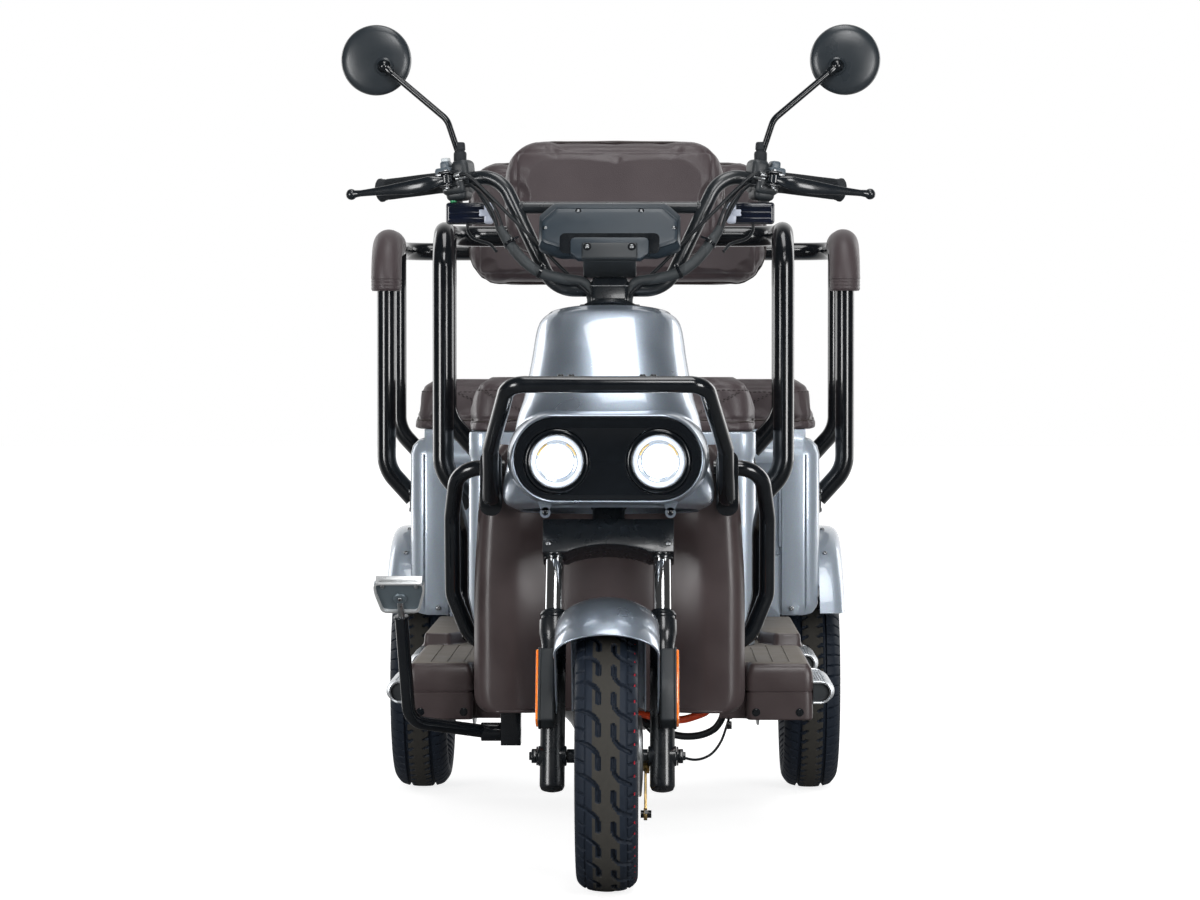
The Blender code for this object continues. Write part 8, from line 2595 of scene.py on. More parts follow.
@dataclass
class FootBoard:
    """The moulded foot board: a crowned rim with a parting line, mat grooves and raised rear corners."""

    half: float = 0.309
    front: float = 0.300
    centre_front: float = 0.325
    shield_edge: float = 0.2065
    back: float = 1.045
    low: float = 0.215
    top: float = 0.302
    wall: float = 0.0035
    raise_inner: float = 0.240
    raise_outer: float = 0.305

    def build(self) -> None:
        """Make the board."""
        edge, front, centre, half, back = self.shield_edge, self.front, self.centre_front, self.half, self.back
        corners = [(edge, centre), (edge, front), (half, front), (half, back), (-half, back), (-half, front),
                   (-edge, front), (-edge, centre)]
        levels = ((self.low, 0.0030), (self.low + 0.0022, 0.0008), (0.2250, 0.0003), (0.2560, 0.0012),
                  (0.2568, 0.0024), (0.2580, 0.0026), (0.2588, 0.0012), (0.2640, 0.0002), (0.2760, 0.0000),
                  (0.2860, 0.0009), (0.2930, 0.0026), (0.2975, 0.0050), (0.3004, 0.0084), (self.top, 0.0125))
        hollow = ((self.low, 0.0072), (0.2850, 0.0066), (self.top - self.wall, 0.0150))
        shape = bmesh.new()
        outer, inner = ([[shape.verts.new((x, y, z))
                          for x, y in softened(set_in(corners, inset), max(0.014 - inset, 0.003), 6)]
                         for z, inset in rows] for rows in (levels, hollow))
        for rows in (outer, inner, [inner[0], outer[0]]):
            band(shape, rows)
        shape.faces.new(outer[-1])
        shape.faces.new(inner[-1])
        board = as_mesh(shape)
        roof_line = self.top - self.wall - 0.0001
        tools = [block((-0.167, start, self.low - 0.02), (0.167, start + 0.05, roof_line))
                 for start in (centre - 0.02, back - 0.03)]
        tools.append(block((-0.027, centre - 0.03, roof_line - 0.03), (0.027, centre + 0.048, self.top + 0.02)))
        grooves = [block((s * x - 0.0012, y, self.top - 0.0014), (s * x + 0.0012, end, self.top + 0.01))
                   for s in (1, -1) for x, y, end in ((0.222, 0.318, 0.600), (0.247, 0.316, 0.640),
                                                      (0.272, 0.316, 0.640))]
        board = carved(board, tools.pop(), *tools, joined(*grooves))
        piece = Piece("foot_board_moulded", "chassis", BROWN_PLASTIC, "foot_board")
        piece.add(board, BROWN_PLASTIC, None, DUSTY_MAT, lambda middle: middle.z > self.top - 0.0016)
        for side in Side:
            self.corner(piece, side.value)
            for x in (0.222, 0.288):
                spot = (side.value * x, front, self.low + 0.012)
                cap = turned([(0.0, 0.0012), (0.0042, 0.0012), (0.0050, 0.0004), (0.0062, 0.0004), (0.0062, -0.001),
                              (0, -0.001)], 28)
                piece.add(cap, GLOSS_BLACK, Matrix.Translation(spot) @ FACE_FRONT)
        piece.place(angle=40)

    def corner(self, piece: Piece, s: int) -> None:
        """One raised rear corner, stepped up beside the seat box."""
        a, b = self.raise_inner, self.raise_outer
        corners = [(a, 0.700), (a + 0.022, 0.650), (b, 0.650), (b, self.back - 0.010), (a, self.back - 0.010)]
        outline = softened(corners, 0.008, 4)
        rings = [[(s * x, y, z) for x, y in set_in(outline, inset)]
                 for z, inset in ((self.top - 0.002, -0.004), (self.top + 0.0004, -0.0015), (self.top + 0.003, 0.0),
                                  (self.top + 0.0150, 0.001), (self.top + 0.0186, 0.0028), (self.top + 0.020, 0.006))]
        piece.add(loft(rings), BROWN_PLASTIC, None, DUSTY_MAT, lambda middle: middle.z > self.top + 0.0187)


@dataclass
class InnerPanel:
    """The tray behind the shield, with its rolled rim, key barrel, charging flap and pocket."""

    half: float = 0.165
    back: float = 0.375
    low: float = 0.360
    high: float = 0.606
    key: Point = (0.070, 0.375, 0.560)

    def build(self) -> None:
        """Make the tray."""
        piece = Piece("inner_panel_moulded", "chassis", BROWN_PLASTIC, "inner_panel")
        middle = (0, (self.low + self.high) / 2)
        width, height = 2 * self.half, self.high - self.low
        rings = []
        for inset, y in ((0.0, 0.276), (0.0, 0.360), (0.0016, 0.3662), (0.0055, 0.3712), (0.0110, 0.3742),
                         (0.0180, 0.3749)):
            ring = rounded_rectangle(width - 2 * inset, height - 2 * inset, 0.022 - inset * 0.5, 8, middle)
            rings.append([(x, y, z) for x, z in ring])
        tray = hollow_shell(rings, 0.003, (0, 1, 0), lambda face: face.calc_area(), cap=-1)
        slot = block((-0.027, 0.20, self.low - 0.01), (0.027, self.back - 0.006, self.low + 0.008))
        x, _, z = self.key
        hole = rod((x, self.back - 0.02, z), (x, self.back + 0.02, z), 0.0125, 32)
        piece.add(carved(tray, slot, hole), BROWN_PLASTIC)
        barrel = [(0.0066, 0.020), (0.0066, -0.0052), (0.0080, -0.0060), (0.0112, -0.0060), (0.0128, -0.0048),
                  (0.0130, -0.002), (0.0130, 0.0006), (0.0122, 0.0010), (0.0122, 0.020)]
        place = Matrix.Translation((x, self.back, z)) @ FACE_FRONT
        piece.add(turned(barrel, 48, closed=True), STEEL, place)
        pocket = upright(plate(rounded_rectangle(0.190, 0.090, 0.014, 6, (-0.020, 0.440)), 0.004), self.back - 0.002)
        piece.add(rounded(pocket, 0.0014, 3, 50), BROWN_PLASTIC)
        lip = block((-0.098, self.back + 0.0012, 0.4705), (0.058, self.back + 0.0052, 0.4775), 0.0018, 3)
        piece.add(lip, BROWN_PLASTIC)
        hooks = joined(block((-0.009, self.back - 0.001, 0.545), (0.009, self.back + 0.004, 0.575), 0.002, 3),
                       tube(bent_route([(0, self.back + 0.001, 0.567), (0, self.back + 0.0058, 0.556)], 0.0, 3),
                            0.0032, 16))
        piece.add(hooks, BLACK_PLASTIC)
        spots = [((s * 0.148, self.back + 0.0001, level), (0, 1, 0)) for s in (1, -1) for level in (0.385, 0.580)]
        piece.screws(spots, 0.0042)
        piece.place(angle=40)


@dataclass
class SideStep:
    """An extruded aluminium side step, open at its ends, with a ribbed tread."""

    face: float = 0.3093
    out: float = 0.034
    low: float = 0.240
    high: float = 0.272

    def make(self, side: Side, word: str, front: float, back: float) -> Piece:
        """One step."""
        piece = Piece(f"side_step_{word}_{side.word}_extruded", "chassis", STEP_ALUMINIUM,
                      f"side_step_{word}_{side.word}")
        half = (self.high - self.low) / 2
        middle = (self.high + self.low) / 2
        rings = []
        spans = [0.0, 0.004, 0.012, 0.024, 0.040]
        length = back - front
        ys = [front + s for s in spans] + [back - s for s in reversed(spans)]
        for y in ys:
            near = min(y - front, back - y)
            reach = self.out * (0.80 + 0.20 * blended(0.0, 0.030, near))
            ring = [(self.face, middle + half)]
            ring += [(self.face + reach - half + half * math.cos(a), middle + half * math.sin(a))
                     for a in [math.radians(90 - 180 * i / 14) for i in range(15)]]
            ring.append((self.face, middle - half))
            rings.append([(x, y, z) for x, z in ring])
        strip = walled(sheet(rings, (0, 0, 1)), 0.0022)
        piece.add(strip, STEP_ALUMINIUM)
        lips = [tube([Vector(point) for point in ring], 0.0016, 8) for ring in (rings[0], rings[-1])]
        piece.add(joined(*lips), STEP_ALUMINIUM)
        plug = [[(x if x < self.face + 0.001 else x - 0.0026, y, middle + (z - middle) * 0.85) for x, _, z in ring]
                for ring, y in ((rings[1], front + 0.006), (rings[-2], back - 0.006))]
        piece.add(loft(plug), BLACK_PLASTIC)
        ribs = [block((self.face + 0.0045 + 0.0042 * i, front + 0.022, self.high - 0.0006),
                      (self.face + 0.0063 + 0.0042 * i, back - 0.022, self.high + 0.0011), 0.0005, 1)
                for i in range(4)]
        piece.add(joined(*ribs), STEP_ALUMINIUM)
        spots = [((self.face + 0.0150, y, self.low - 0.0001), (0, 0, -1)) for y in (front + length * 0.25,
                                                                                  front + length * 0.75)]
        piece.screws(spots, 0.0045, hexagon=True)
        return piece

    def build(self) -> None:
        """Make all four steps."""
        for word, front, back in (("front", 0.315, 0.550), ("rear", 0.830, 1.040)):
            for side in Side:
                self.make(side, word, front, back).place(side)


@dataclass
class SeatBox:
    """The driver's seat box: an open box with a rolled rim and raised side panels."""

    half: float = 0.232
    front: float = 0.630
    back: float = 0.950
    low: float = 0.3023
    top: float = 0.647
    wall: float = 0.003
    corner: float = 0.028

    def build(self) -> None:
        """Make the box."""
        middle = (0, (self.front + self.back) / 2)
        outline = rounded_rectangle(2 * self.half, self.back - self.front, self.corner, 8, middle)
        levels = ((self.low, 0.0040), (self.low + 0.003, 0.0012), (self.low + 0.012, 0.0002), (0.560, 0.0),
                  (0.590, 0.0002), (0.5965, 0.0028), (0.600, 0.0032), (0.6035, 0.0028), (0.610, 0.0002),
                  (self.top - 0.004, 0.0), (self.top - 0.0012, 0.0008), (self.top, 0.003))
        rings = [[(x, y, z) for x, y in set_in(outline, inset)] for z, inset in levels]
        piece = Piece("seat_box_moulded", "chassis", BODY_SILVER, "seat_box")
        piece.add(hollow_shell(rings, self.wall, (0, 0, -1), lambda face: face.calc_area(), cap=0), BODY_SILVER)
        for side in Side:
            s = side.value
            panel = rounded(plate(rounded_rectangle(0.205, 0.180, 0.020, 6, ((self.front + self.back) / 2, 0.455)),
                                  0.002), 0.0008, 2, 60)
            turn = Matrix(((0, 0, 1, s * (self.half - 0.0002)), (1, 0, 0, 0), (0, 1, 0, 0), (0, 0, 0, 1)))
            piece.add(panel, BODY_SILVER, turn)
        catch = block((-0.016, self.front - 0.0012, 0.615), (0.016, self.front + 0.004, 0.634), 0.002, 3)
        piece.add(catch, BODY_SILVER)
        lock = moved(turned([(0, 0.0022), (0.0060, 0.0022), (0.0075, 0.0014), (0.0085, 0.0), (0, 0)], 36),
                     Matrix.Translation((0, self.front - 0.0008, 0.6245)) @ FACE_FRONT)
        piece.add(lock, STEEL)
        piece.place(angle=40)


def copy_of_solid(name: str) -> Mesh:
    """A plain solid's mesh in the datum's frame, with its flat faces whole again."""
    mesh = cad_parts[name].data.copy()
    mesh.transform(Matrix.Translation((0, -DATUM_Y, 0)))
    shape = welded(mesh, 1e-5)
    bmesh.ops.dissolve_limit(shape, angle_limit=math.radians(0.6), verts=shape.verts, edges=shape.edges)
    return as_mesh(shape)


def build_main_frame() -> None:
    """The welded frame with its edges rounded, without the left rail's pedal bracket."""
    piece = Piece("main_frame_welded", "chassis", GLOSS_BLACK, "main_frame")
    spare = block((0.130, 0.240, 0.150), (0.168, 0.305, 0.2299))
    piece.add(rounded(carved(copy_of_solid("main_frame"), spare), 0.0016, 2, 50), GLOSS_BLACK)
    piece.place(angle=35)


@dataclass
class RearBody:
    """The rear body's skin: rounded shell, front panels with their seams, tail lamps."""

    half: float = 0.355
    front: float = 1.050

    def build(self) -> None:
        """Make the body's skin with its small parts."""
        piece = Piece("rear_body_lacquered", "chassis", BODY_SILVER, "rear_body")
        body = rounded(copy_of_solid("rear_body"), 0.0025, 2, 60)
        piece.add(body, BODY_SILVER)
        for side in Side:
            s = side.value
            lamp = block((s * 0.318 - 0.026, REAR_END - 0.0072, 0.470), (s * 0.318 + 0.026, REAR_END - 0.0005, 0.570),
                         0.003, 3)
            piece.add(lamp, RED_PRISMS)
            strap = block((s * 0.292 - 0.009, self.front + 0.0035, 0.440), (s * 0.292 + 0.003, self.front + 0.0105,
                                                                           0.585), 0.0025, 3)
            piece.add(strap, BODY_SILVER)
        spots = [((s * 0.306, self.front - 0.0002, z), (0, -1, 0)) for s in (1, -1) for z in (0.335, 0.590)]
        spots += [((s * (self.half + 0.0002), y, 0.350), (s, 0, 0)) for s in (1, -1) for y in (1.075, 1.585)]
        piece.screws(spots, 0.0042)
        piece.place(angle=35)


@dataclass
class RearFender(Paired):
    """An arched rear fender, rounded over on its outer edge and rolled at its rim."""

    face: float = BODY_FACE
    outer: float = 0.400
    radius: float = 0.254
    centre_z: float = 0.215
    wall: float = 0.003

    def make(self, side: Side) -> Piece:
        """One fender."""
        width = self.outer - self.face
        section = smooth_points(np.array([(0.0, 0.0), (0.35, 0.0002), (0.62, 0.0014), (0.82, 0.0062), (0.94, 0.0150),
                                          (0.985, 0.0270), (1.0, 0.040)]), 4)
        level = self.radius * math.cos(math.radians(64))
        rows = []
        for i in range(65):
            row = []
            for u, drop in section:
                reach = self.radius - drop
                turn = math.acos(level / reach) * (i / 32 - 1)
                row.append((self.face + width * u, WHEELBASE + reach * math.sin(turn),
                            self.centre_z + reach * math.cos(turn)))
            rows.append(row)
        piece = Piece(f"rear_fender_{side.word}_moulded", "chassis", BODY_SILVER, f"rear_fender_{side.word}")
        piece.add(walled(sheet(rows, (0, 0, 1)), self.wall), BODY_SILVER)
        border = [Vector(row[-1]) - Vector((0.0016, 0, 0)) for row in rows]
        piece.add(tube(border, 0.0022, 10), BODY_SILVER)
        spots = []
        for angle in (-34, -12, 12, 34):
            turn = math.radians(angle)
            spots.append(((self.face + 0.012, WHEELBASE + (self.radius + 0.0002) * math.sin(turn),
                           self.centre_z + (self.radius + 0.0002) * math.cos(turn)),
                          (0, math.sin(turn), math.cos(turn))))
        piece.screws(spots, 0.0042)
        return piece


@dataclass
class RearAxle:
    """The axle housing: ribbed motor, bells, brake plates, damper tubes with their dust caps."""

    tube_half: float = 0.262
    tube_radius: float = 0.024
    motor_radius: float = 0.094
    motor_half: float = 0.078
    damper_x: float = DAMPER_X
    damper_y: float = DAMPER_Y
    seat_top: float = 0.230
    bolts: float = 0.048

    def build(self) -> None:
        """Make the housing."""
        piece = Piece("rear_axle_cast", "axle", BLACK_CAST, "rear_axle")
        place = Matrix.Translation((0, WHEELBASE, REAR_AXLE_Z)) @ LAY_ACROSS
        bell, r = self.motor_half + 0.035, self.motor_radius
        half = [(0.0, self.tube_half), (0.020, self.tube_half), (0.022, self.tube_half - 0.002),
                (self.tube_radius, bell + 0.024), (0.027, bell + 0.016), (0.046, bell + 0.004),
                (0.0545, bell - 0.003), (0.058, bell - 0.010), (r - 0.012, self.motor_half + 0.003),
                (r - 0.002, self.motor_half - 0.003), (r, self.motor_half - 0.010)]
        ribs = []
        for level in range(6):
            x = 0.058 - level * 0.0105
            ribs += [(r, x), (r - 0.006, x - 0.0008), (r - 0.006, x - 0.0044), (r, x - 0.0052)]
        profile = half + ribs + [(u, -v) for u, v in reversed(ribs)] + [(u, -v) for u, v in reversed(half)]
        piece.add(turned(profile, 72), BLACK_CAST, place)
        for side in Side:
            s = side.value
            plate_x = s * (self.tube_half - 0.012)
            backing = [(0.0215, 0.0), (0.060, 0.0), (0.064, 0.0015), (0.082, 0.0015), (0.085, 0.003), (0.085, 0.006),
                       (0.0215, 0.006)]
            turned_in = Matrix.Translation((plate_x, WHEELBASE, REAR_AXLE_Z)) @ LAY_ACROSS
            if s < 0:
                turned_in = turned_in @ Matrix.Rotation(math.pi, 4, "X")
            piece.add(turned(backing, 64, closed=True), STEEL, turned_in)
            self.damper(piece, s)
        spots = [((s * (bell - 0.004), WHEELBASE + self.bolts * math.sin(a), REAR_AXLE_Z + self.bolts * math.cos(a)),
                  (s, 0, 0)) for s in (1, -1) for a in [math.radians(30 + 60 * k) for k in range(6)]]
        piece.screws(spots, 0.0050, hexagon=True)
        piece.place(angle=35)

    def damper(self, piece: Piece, s: int) -> None:
        """One side's arm, damper tube and spring seat."""
        x, y = s * self.damper_x, self.damper_y
        arm = block((x - 0.012, WHEELBASE, REAR_AXLE_Z - 0.014), (x + 0.012, y + 0.006, REAR_AXLE_Z + 0.014),
                    0.003, 3)
        piece.add(arm, BLACK_CAST)
        profile = [(0.0, REAR_AXLE_Z - 0.010), (0.0122, REAR_AXLE_Z - 0.010), (0.014, REAR_AXLE_Z - 0.007),
                   (0.014, 0.292), (0.0128, 0.2935), (0.0128, 0.2965), (0.0136, 0.298), (0.0120, 0.300),
                   (0.0092, 0.300), (0.0088, 0.285), (0.0, 0.285)]
        piece.add(turned(profile, 40), BLACK_CAST, Matrix.Translation((x, y, 0)))
        seat = [(0.0138, self.seat_top - 0.006), (0.0270, self.seat_top - 0.006), (0.0285, self.seat_top - 0.0045),
                (0.0285, self.seat_top - 0.0008), (0.0280, self.seat_top), (0.0138, self.seat_top)]
        piece.add(turned(seat, 48, closed=True), STEEL, Matrix.Translation((x, y, 0)))


@dataclass
class RearSpring:
    """A wound spring with flat closed ends round its damper tube."""

    radius: float = 0.0225
    wire: float = 0.0035
    low: float = 0.2338
    high: float = 0.3812
    turns: int = 5
    points: int = 28

    def make(self, side: Side) -> Piece:
        """One spring."""
        count, dead = self.turns * self.points, self.points // 2
        route = []
        for i in range(count + 1):
            turn = 2 * math.pi * i / self.points
            share = min(max((i - dead) / (count - 2 * dead), 0.0), 1.0)
            route.append(Vector((DAMPER_X + self.radius * math.cos(turn), DAMPER_Y + self.radius * math.sin(turn),
                                 self.low + (self.high - self.low) * share)))
        piece = Piece(f"rear_spring_{side.word}_wound", "chassis", SPRING_BLACK, f"rear_spring_{side.word}")
        piece.add(tube(route, self.wire, 14), SPRING_BLACK)
        return piece

    def build(self) -> None:
        """Make both springs, each with its own copy of its mesh."""
        for made in pair(self.make):
            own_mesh(made)


@dataclass
class Pedal:
    """The brake pedal: pivot sleeve, bent arm, and a cast tray with a ribbed rubber face."""

    x: float = -0.308
    y: float = 0.150
    z: float = 0.412
    tilt: float = 48.0
    half_width: float = 0.0375
    half_depth: float = 0.031
    pivot: tuple[float, float] = (0.281, 0.199)

    def build(self) -> None:
        """Make the pedal."""
        piece = Piece("brake_pedal_dressed", "pedal", GLOSS_BLACK, "brake_pedal")
        arm = bent_route([(-0.1863, *self.pivot), (-0.298, 0.215, 0.221), (self.x, self.y + 0.012, self.z - 0.012)],
                         0.035, 14)
        piece.add(tube(arm[:-1] + [arm[-1] - (arm[-1] - arm[-2]).normalized() * 0.020], 0.010, 28), GLOSS_BLACK)
        up = (arm[-1] - arm[-2]).normalized()
        mouth = arm[-1] - up * 0.020
        piece.add(rod(mouth - up * 0.003, mouth + up * 0.0008, 0.0112, 32, bevel=0.001), GLOSS_BLACK)
        piece.add(rod(mouth, arm[-1] + up * 0.008, 0.0048, 20), STEEL)
        sleeve = joined(*[rod((start, *self.pivot), (end, *self.pivot), radius, sides, bevel=bevel)
                          for start, end, radius, sides, bevel in ((-0.1643, -0.1943, 0.014, 36, 0.001),
                                                                   (-0.1883, -0.2003, 0.0075, 6, 0.0),
                                                                   (-0.140, -0.1643, 0.006, 24, 0.0))])
        piece.add(sleeve, GLOSS_BLACK)
        place = Matrix.Translation((self.x, self.y, self.z)) @ Matrix.Rotation(math.radians(-self.tilt), 4, "X")
        w, d = self.half_width, self.half_depth
        corners = [(-w, -d), (w, -d), (w, -d * 0.35), (w * 0.74, d), (-w * 0.74, d), (-w, -d * 0.35)]
        outline = softened(corners, 0.009, 5)
        outer = plate(outline, 0.0088)
        hollow = shifted(plate(set_in(outline, 0.0032), 0.0088), 0, 0, -0.0034)
        piece.add(rounded(carved(outer, hollow), 0.0009, 2, 50), PEDAL_EDGE, place, PEDAL_CAST,
                  lambda middle: middle.z > -0.0006 and max(abs(middle.x) / w, abs(middle.y) / d) < 0.97
                  and middle.z < 0.0035)
        washer = turned([(0, -0.0012), (0.0085, -0.0012), (0.0100, 0.0004), (0.0100, 0.002), (0, 0.002)], 36)
        piece.add(washer, PEDAL_CAST, place @ Matrix.Translation((0, 0.004, -0.001)))
        spots = [((s * w * 0.66, -d * 0.66, 0.0002), (0, 0, -1)) for s in (1, -1)]
        spots.append(((0, 0.004, -0.002), (0, 0, -1)))
        piece.screws(spots, 0.0034, place)
        lip = block((-w + 0.003, -d, -0.0030), (w - 0.003, -d + 0.0030, 0.0125), 0.0012, 3)
        piece.add(lip, PEDAL_EDGE, place)
        pad = [rounded(shifted(plate(set_in(outline, 0.002), 0.003), 0, 0, 0.0052), 0.0008, 2, 50)]
        pad += [block((-w * 0.72, y - 0.0016, 0.0060), (w * 0.72, y + 0.0016, 0.0086), 0.0007, 2)
                for y in (-0.021, -0.013, -0.005, 0.003, 0.011, 0.019)]
        piece.add(joined(*pad), GRIP_RUBBER, place)
        piece.place()


@dataclass
class UnderFloorCables:
    """The leads that hang in loops under the floor, from their clip to the frame."""

    # Each lead's points, radius, sides and sheath
    leads: tuple = (
        (((0.150, 0.430, 0.219), (0.146, 0.432, 0.214), (0.132, 0.436, 0.208), (0.112, 0.442, 0.202),
          (0.090, 0.450, 0.2015), (0.060, 0.470, 0.205), (0.030, 0.500, 0.212), (0.010, 0.530, 0.222)),
         0.0060, 20, ORANGE_SHEATH),
        (((0.176, 0.440, 0.222), (0.175, 0.441, 0.212), (0.171, 0.443, 0.200), (0.160, 0.446, 0.186),
          (0.140, 0.450, 0.177), (0.116, 0.454, 0.1745), (0.094, 0.460, 0.178), (0.066, 0.476, 0.188),
          (0.040, 0.500, 0.200), (0.020, 0.530, 0.214)), 0.0056, 20, CABLE_SHEATH),
        (((0.186, 0.446, 0.222), (0.185, 0.446, 0.208), (0.180, 0.447, 0.190), (0.171, 0.448, 0.166),
          (0.156, 0.450, 0.147), (0.136, 0.452, 0.1385), (0.116, 0.455, 0.1405), (0.098, 0.458, 0.150),
          (0.074, 0.470, 0.168), (0.050, 0.492, 0.190), (0.034, 0.520, 0.212)), 0.0020, 14, CABLE_SHEATH))

    def build(self) -> None:
        """Make the leads and their clip."""
        piece = Piece("under_floor_leads", "chassis", CABLE_SHEATH)
        for points, radius, sides, finish in self.leads:
            piece.add(tube(smooth_route(points, 10), radius, sides), finish)
        clip = joined(centred_block((0.184, 0.444, 0.2120), (0.011, 0.016, 0.018), 0.002, 2),
                      rod((0.184, 0.434, 0.200), (0.184, 0.434, 0.188), 0.0042, 20, bevel=0.0008))
        piece.add(clip, GLOSS_BLACK)
        piece.place()


def build_key() -> None:
    """The ignition key in its barrel."""
    x, y, z = InnerPanel.key
    piece = Piece("ignition_key_dressed", "key", STEEL, "ignition_key")
    blade = block((x - 0.004, y - 0.0117, z - 0.001), (x + 0.004, y + 0.018, z + 0.001), 0.0004, 1)
    piece.add(blade, STEEL)
    bow = turned([(0.0028, -0.0022), (0.0125, -0.0025), (0.0140, -0.0015), (0.0140, 0.0015), (0.0125, 0.0025),
                  (0.0028, 0.0022)], 36, closed=True)
    piece.add(bow, BLACK_PLASTIC, Matrix.Translation((x, y + 0.028, z)))
    piece.place()


# Plain solids that are kept as they are, with what each is made of
SHOWN_SOLIDS = {"battery_pack": BLACK_PLASTIC, "motor_controller": CAST_ALUMINIUM}


# Studio

@dataclass
class Studio:
    """The floor, the light and the camera at the photograph's viewpoint."""

    eye: Point = (0.061, -5.7135, 0.7386)
    pitch: float = -1.23
    yaw: float = 0.82
    lens: float = 105.0
    floor_reach: float = 30.0

    def build(self) -> None:
        """Set up the scene round the machine."""
        scene = bpy.context.scene
        scene.view_settings.view_transform = "Standard"
        self.camera()
        self.floor()
        self.world()
        for name, place, target, size, power in (
                ("key", (0.9, -4.4, 3.7), (0, 0, 0.7), (1.6, 1.6), 80),
                ("top", (0.25, -0.7, 4.2), (0.05, 0.0, 0.6), (1.5, 2.6), 66),
                ("panel_left", (2.7, -3.5, 1.0), (0, -0.1, 0.6), (1.3, 1.6), 82),
                ("panel_right", (-2.7, -3.5, 1.0), (0, -0.1, 0.6), (1.3, 1.6), 82),
                ("rim_left", (2.8, 2.4, 1.5), (0, 0.2, 0.7), (1.6, 2.6), 36),
                ("rim_right", (-2.8, 2.4, 1.5), (0, 0.2, 0.7), (1.6, 2.6), 36)):
            self.lamp(name, place, target, size, power)

    def camera(self) -> None:
        """The camera, for a frame of 1200 by 900."""
        data = bpy.data.cameras.new("view")
        data.lens = self.lens
        data.sensor_width = 36.0
        camera = put("view", data)
        camera.location = self.eye
        camera.rotation_euler = (math.radians(90 + self.pitch), 0, math.radians(self.yaw))
        bpy.context.scene.camera = camera

    def floor(self) -> None:
        """A plain pale floor that fades into the white."""
        mesh = bpy.data.meshes.new("floor")
        reach = self.floor_reach
        mesh.from_pydata([(-reach, -reach, 0), (reach, -reach, 0), (reach, reach, 0), (-reach, reach, 0)], [],
                         [(0, 1, 2, 3)])
        floor = put("floor", mesh)
        material = bpy.data.materials.new("pale_floor")
        material.use_nodes = True
        tree = material.node_tree
        shader = tree.nodes["Principled BSDF"]
        set_inputs(shader, {"Roughness": 0.85, "Specular IOR Level": 0.1})
        path = add_node(tree, "ShaderNodeLightPath")
        tone = add_node(tree, "ShaderNodeMix", {6: (0.58, 0.58, 0.58, 1), 7: (0.12, 0.12, 0.12, 1)},
                        {"Factor": path.outputs["Is Glossy Ray"]}, data_type="RGBA")
        tree.links.new(tone.outputs[2], shader.inputs["Base Color"])
        place = add_node(tree, "ShaderNodeTexCoord")
        split = add_node(tree, "ShaderNodeSeparateXYZ", links={"Vector": place.outputs["Object"]})
        behind = add_node(tree, "ShaderNodeMapRange", {"From Min": 0.2, "From Max": 1.6},
                          {"Value": split.outputs["Y"]})
        gloss = add_node(tree, "ShaderNodeMath", links={0: path.outputs["Is Glossy Ray"],
                                                        1: behind.outputs["Result"]}, operation="MULTIPLY")
        seen = add_node(tree, "ShaderNodeMath", links={0: path.outputs["Is Camera Ray"], 1: gloss.outputs[0]},
                        operation="MAXIMUM")
        clear = add_node(tree, "ShaderNodeMath", links={0: seen.outputs[0], 1: path.outputs["Is Transmission Ray"]},
                         operation="MAXIMUM")
        away = add_node(tree, "ShaderNodeVectorMath", links={0: place.outputs["Object"]}, operation="LENGTH")
        whiter = add_node(tree, "ShaderNodeMapRange",
                          {"From Min": 1.1, "From Max": 3.2, "To Min": 0.80, "To Max": 1.0},
                          {"Value": away.outputs["Value"]}, interpolation_type="SMOOTHSTEP")
        share = add_node(tree, "ShaderNodeMath", links={0: clear.outputs[0], 1: whiter.outputs["Result"]},
                         operation="MULTIPLY")
        set_inputs(shader, {"Emission Color": (1, 1, 1, 1)})
        tree.links.new(share.outputs[0], shader.inputs["Emission Strength"])
        mesh.materials.append(material)

    def world(self) -> None:
        """White where the camera, gloss or glass sees it, and a plain soft light elsewhere."""
        world = bpy.data.worlds.new("studio")
        bpy.context.scene.world = world
        world.use_nodes = True
        tree = world.node_tree
        tree.nodes.clear()
        path = add_node(tree, "ShaderNodeLightPath")
        clear = add_node(tree, "ShaderNodeMath", links={0: path.outputs["Is Camera Ray"],
                                                        1: path.outputs["Is Transmission Ray"]},
                         operation="MAXIMUM")
        place = add_node(tree, "ShaderNodeTexCoord")
        split = add_node(tree, "ShaderNodeSeparateXYZ", links={"Vector": place.outputs["Generated"]})
        wall = add_node(tree, "ShaderNodeMapRange", {"From Min": 0.2, "From Max": 0.9, "To Min": 0.05,
                                                     "To Max": 1.0}, {"Value": split.outputs["Y"]},
                        interpolation_type="SMOOTHSTEP")
        gloss = add_node(tree, "ShaderNodeMix", {2: 0.25}, {"Factor": path.outputs["Is Glossy Ray"],
                                                           3: wall.outputs["Result"]})
        level = add_node(tree, "ShaderNodeMix", {3: 1.0}, {"Factor": clear.outputs[0], 2: gloss.outputs[0]})
        light = add_node(tree, "ShaderNodeBackground", {"Color": (1, 1, 1, 1)}, {"Strength": level.outputs[0]})
        add_node(tree, "ShaderNodeOutputWorld", links={"Surface": light.outputs[0]})

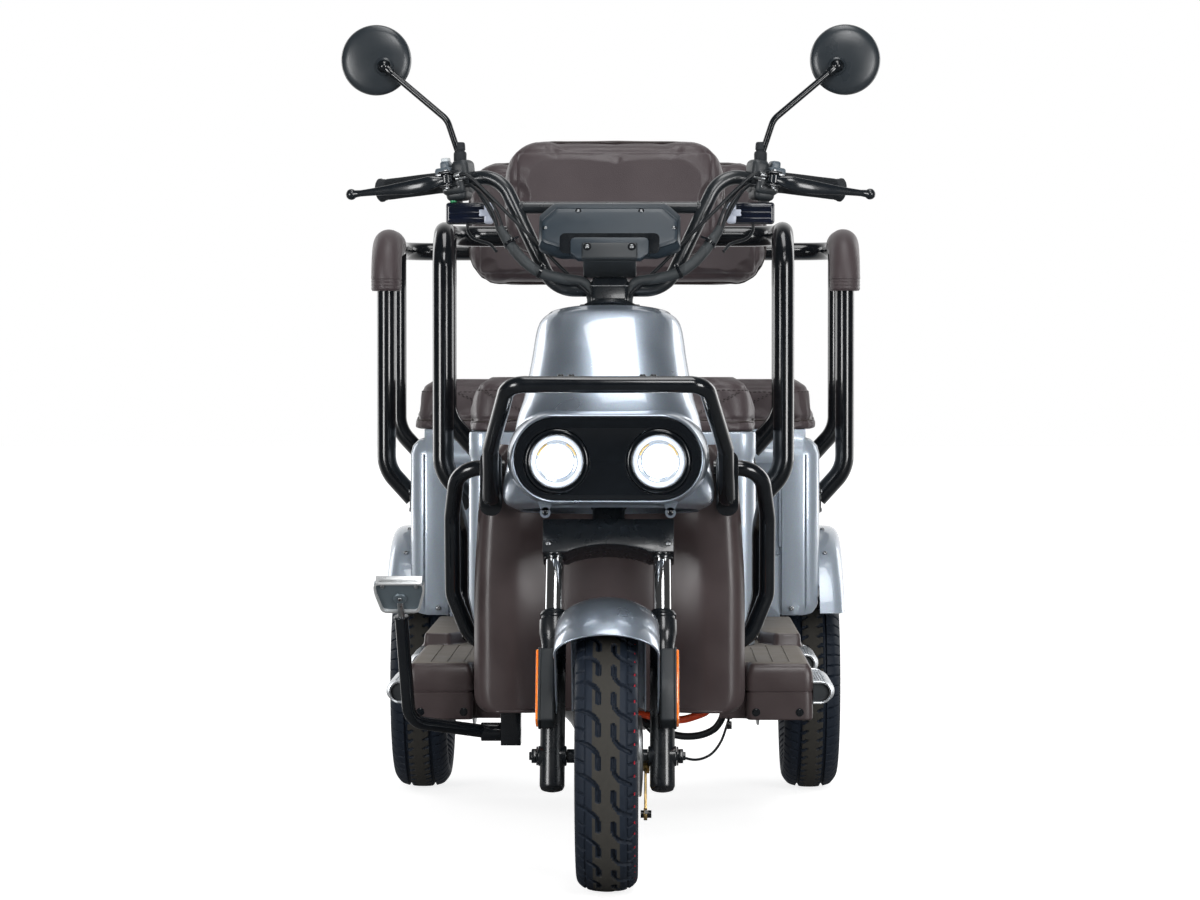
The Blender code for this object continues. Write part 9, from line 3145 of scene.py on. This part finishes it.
    def lamp(self, name: str, place: Point, target: Point, size: tuple[float, float], power: float) -> None:
        """One soft panel lamp aimed at a spot."""
        data = bpy.data.lights.new(name, "AREA")
        data.shape = "RECTANGLE"
        data.size, data.size_y = size
        data.energy = power
        lamp = put(name, data)
        lamp.location = place
        lamp.rotation_euler = (Vector(target) - Vector(place)).to_track_quat("-Z", "Y").to_euler()


def dress_solids() -> None:
    """Give the solids that stay in view their finishes."""
    for name, finish in SHOWN_SOLIDS.items():
        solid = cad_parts[name]
        solid.data.materials.clear()
        solid.data.materials.append(finish.material())


def main() -> None:
    """Build the machine, one sub-assembly after another."""
    logging.basicConfig(level=logging.INFO, format="%(message)s")
    Studio().build()
    Wheels().build()
    FrontFork().build()
    FrontFender().build()
    for part in (Handlebar(), Grip(), ControlPerch(), BrakeLever(), Mirror(), TurnSignal(), Dash(), WiringLoom()):
        part.build()
    build_start_button()
    build_key()
    Cowl().build()
    LegShield().build()
    TubeGuards().build()
    ArmrestFrame("driver_armrest_bent", "driver_armrest_frame", 0.282, 0.977, 0.800, 0.525, 0.2323, 1.0328,
                 0.0175, 0.912, 0.612).build()
    ArmrestFrame("rear_armrest_bent", "rear_armrest_frame", 0.4025, 0.970, 1.150, 0.522, BODY_FACE, 1.5828,
                 0.0165, 1.440, 0.587).build()
    for sleeve in pair(ArmrestSleeve().make):
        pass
    SeatCushion("driver_cushion", "driver_seat", "driver_lid", 0.2315, 0.628, 0.952, 0.6473, 0.735).build()
    SeatCushion("rear_cushion", "rear_seat", "rear_lid", 0.350, 1.058, 1.500, 0.6445, 0.731, voxel=0.006).build()
    Backrest("driver_back_pad", "driver_backrest", 0.1885, 0.939, 1.140, 0.955).build()
    Backrest("rear_back_pad", "rear_backrest", 0.280, 0.903, 1.139, 1.506).build()
    for part in (InnerPanel(), FootBoard(), SideStep(), SeatBox(), RearBody(), RearFender(), RearAxle(),
                 RearSpring(), Pedal(), UnderFloorCables()):
        part.build()
    build_main_frame()
    dress_solids()


if __name__ == "__main__":
    main()
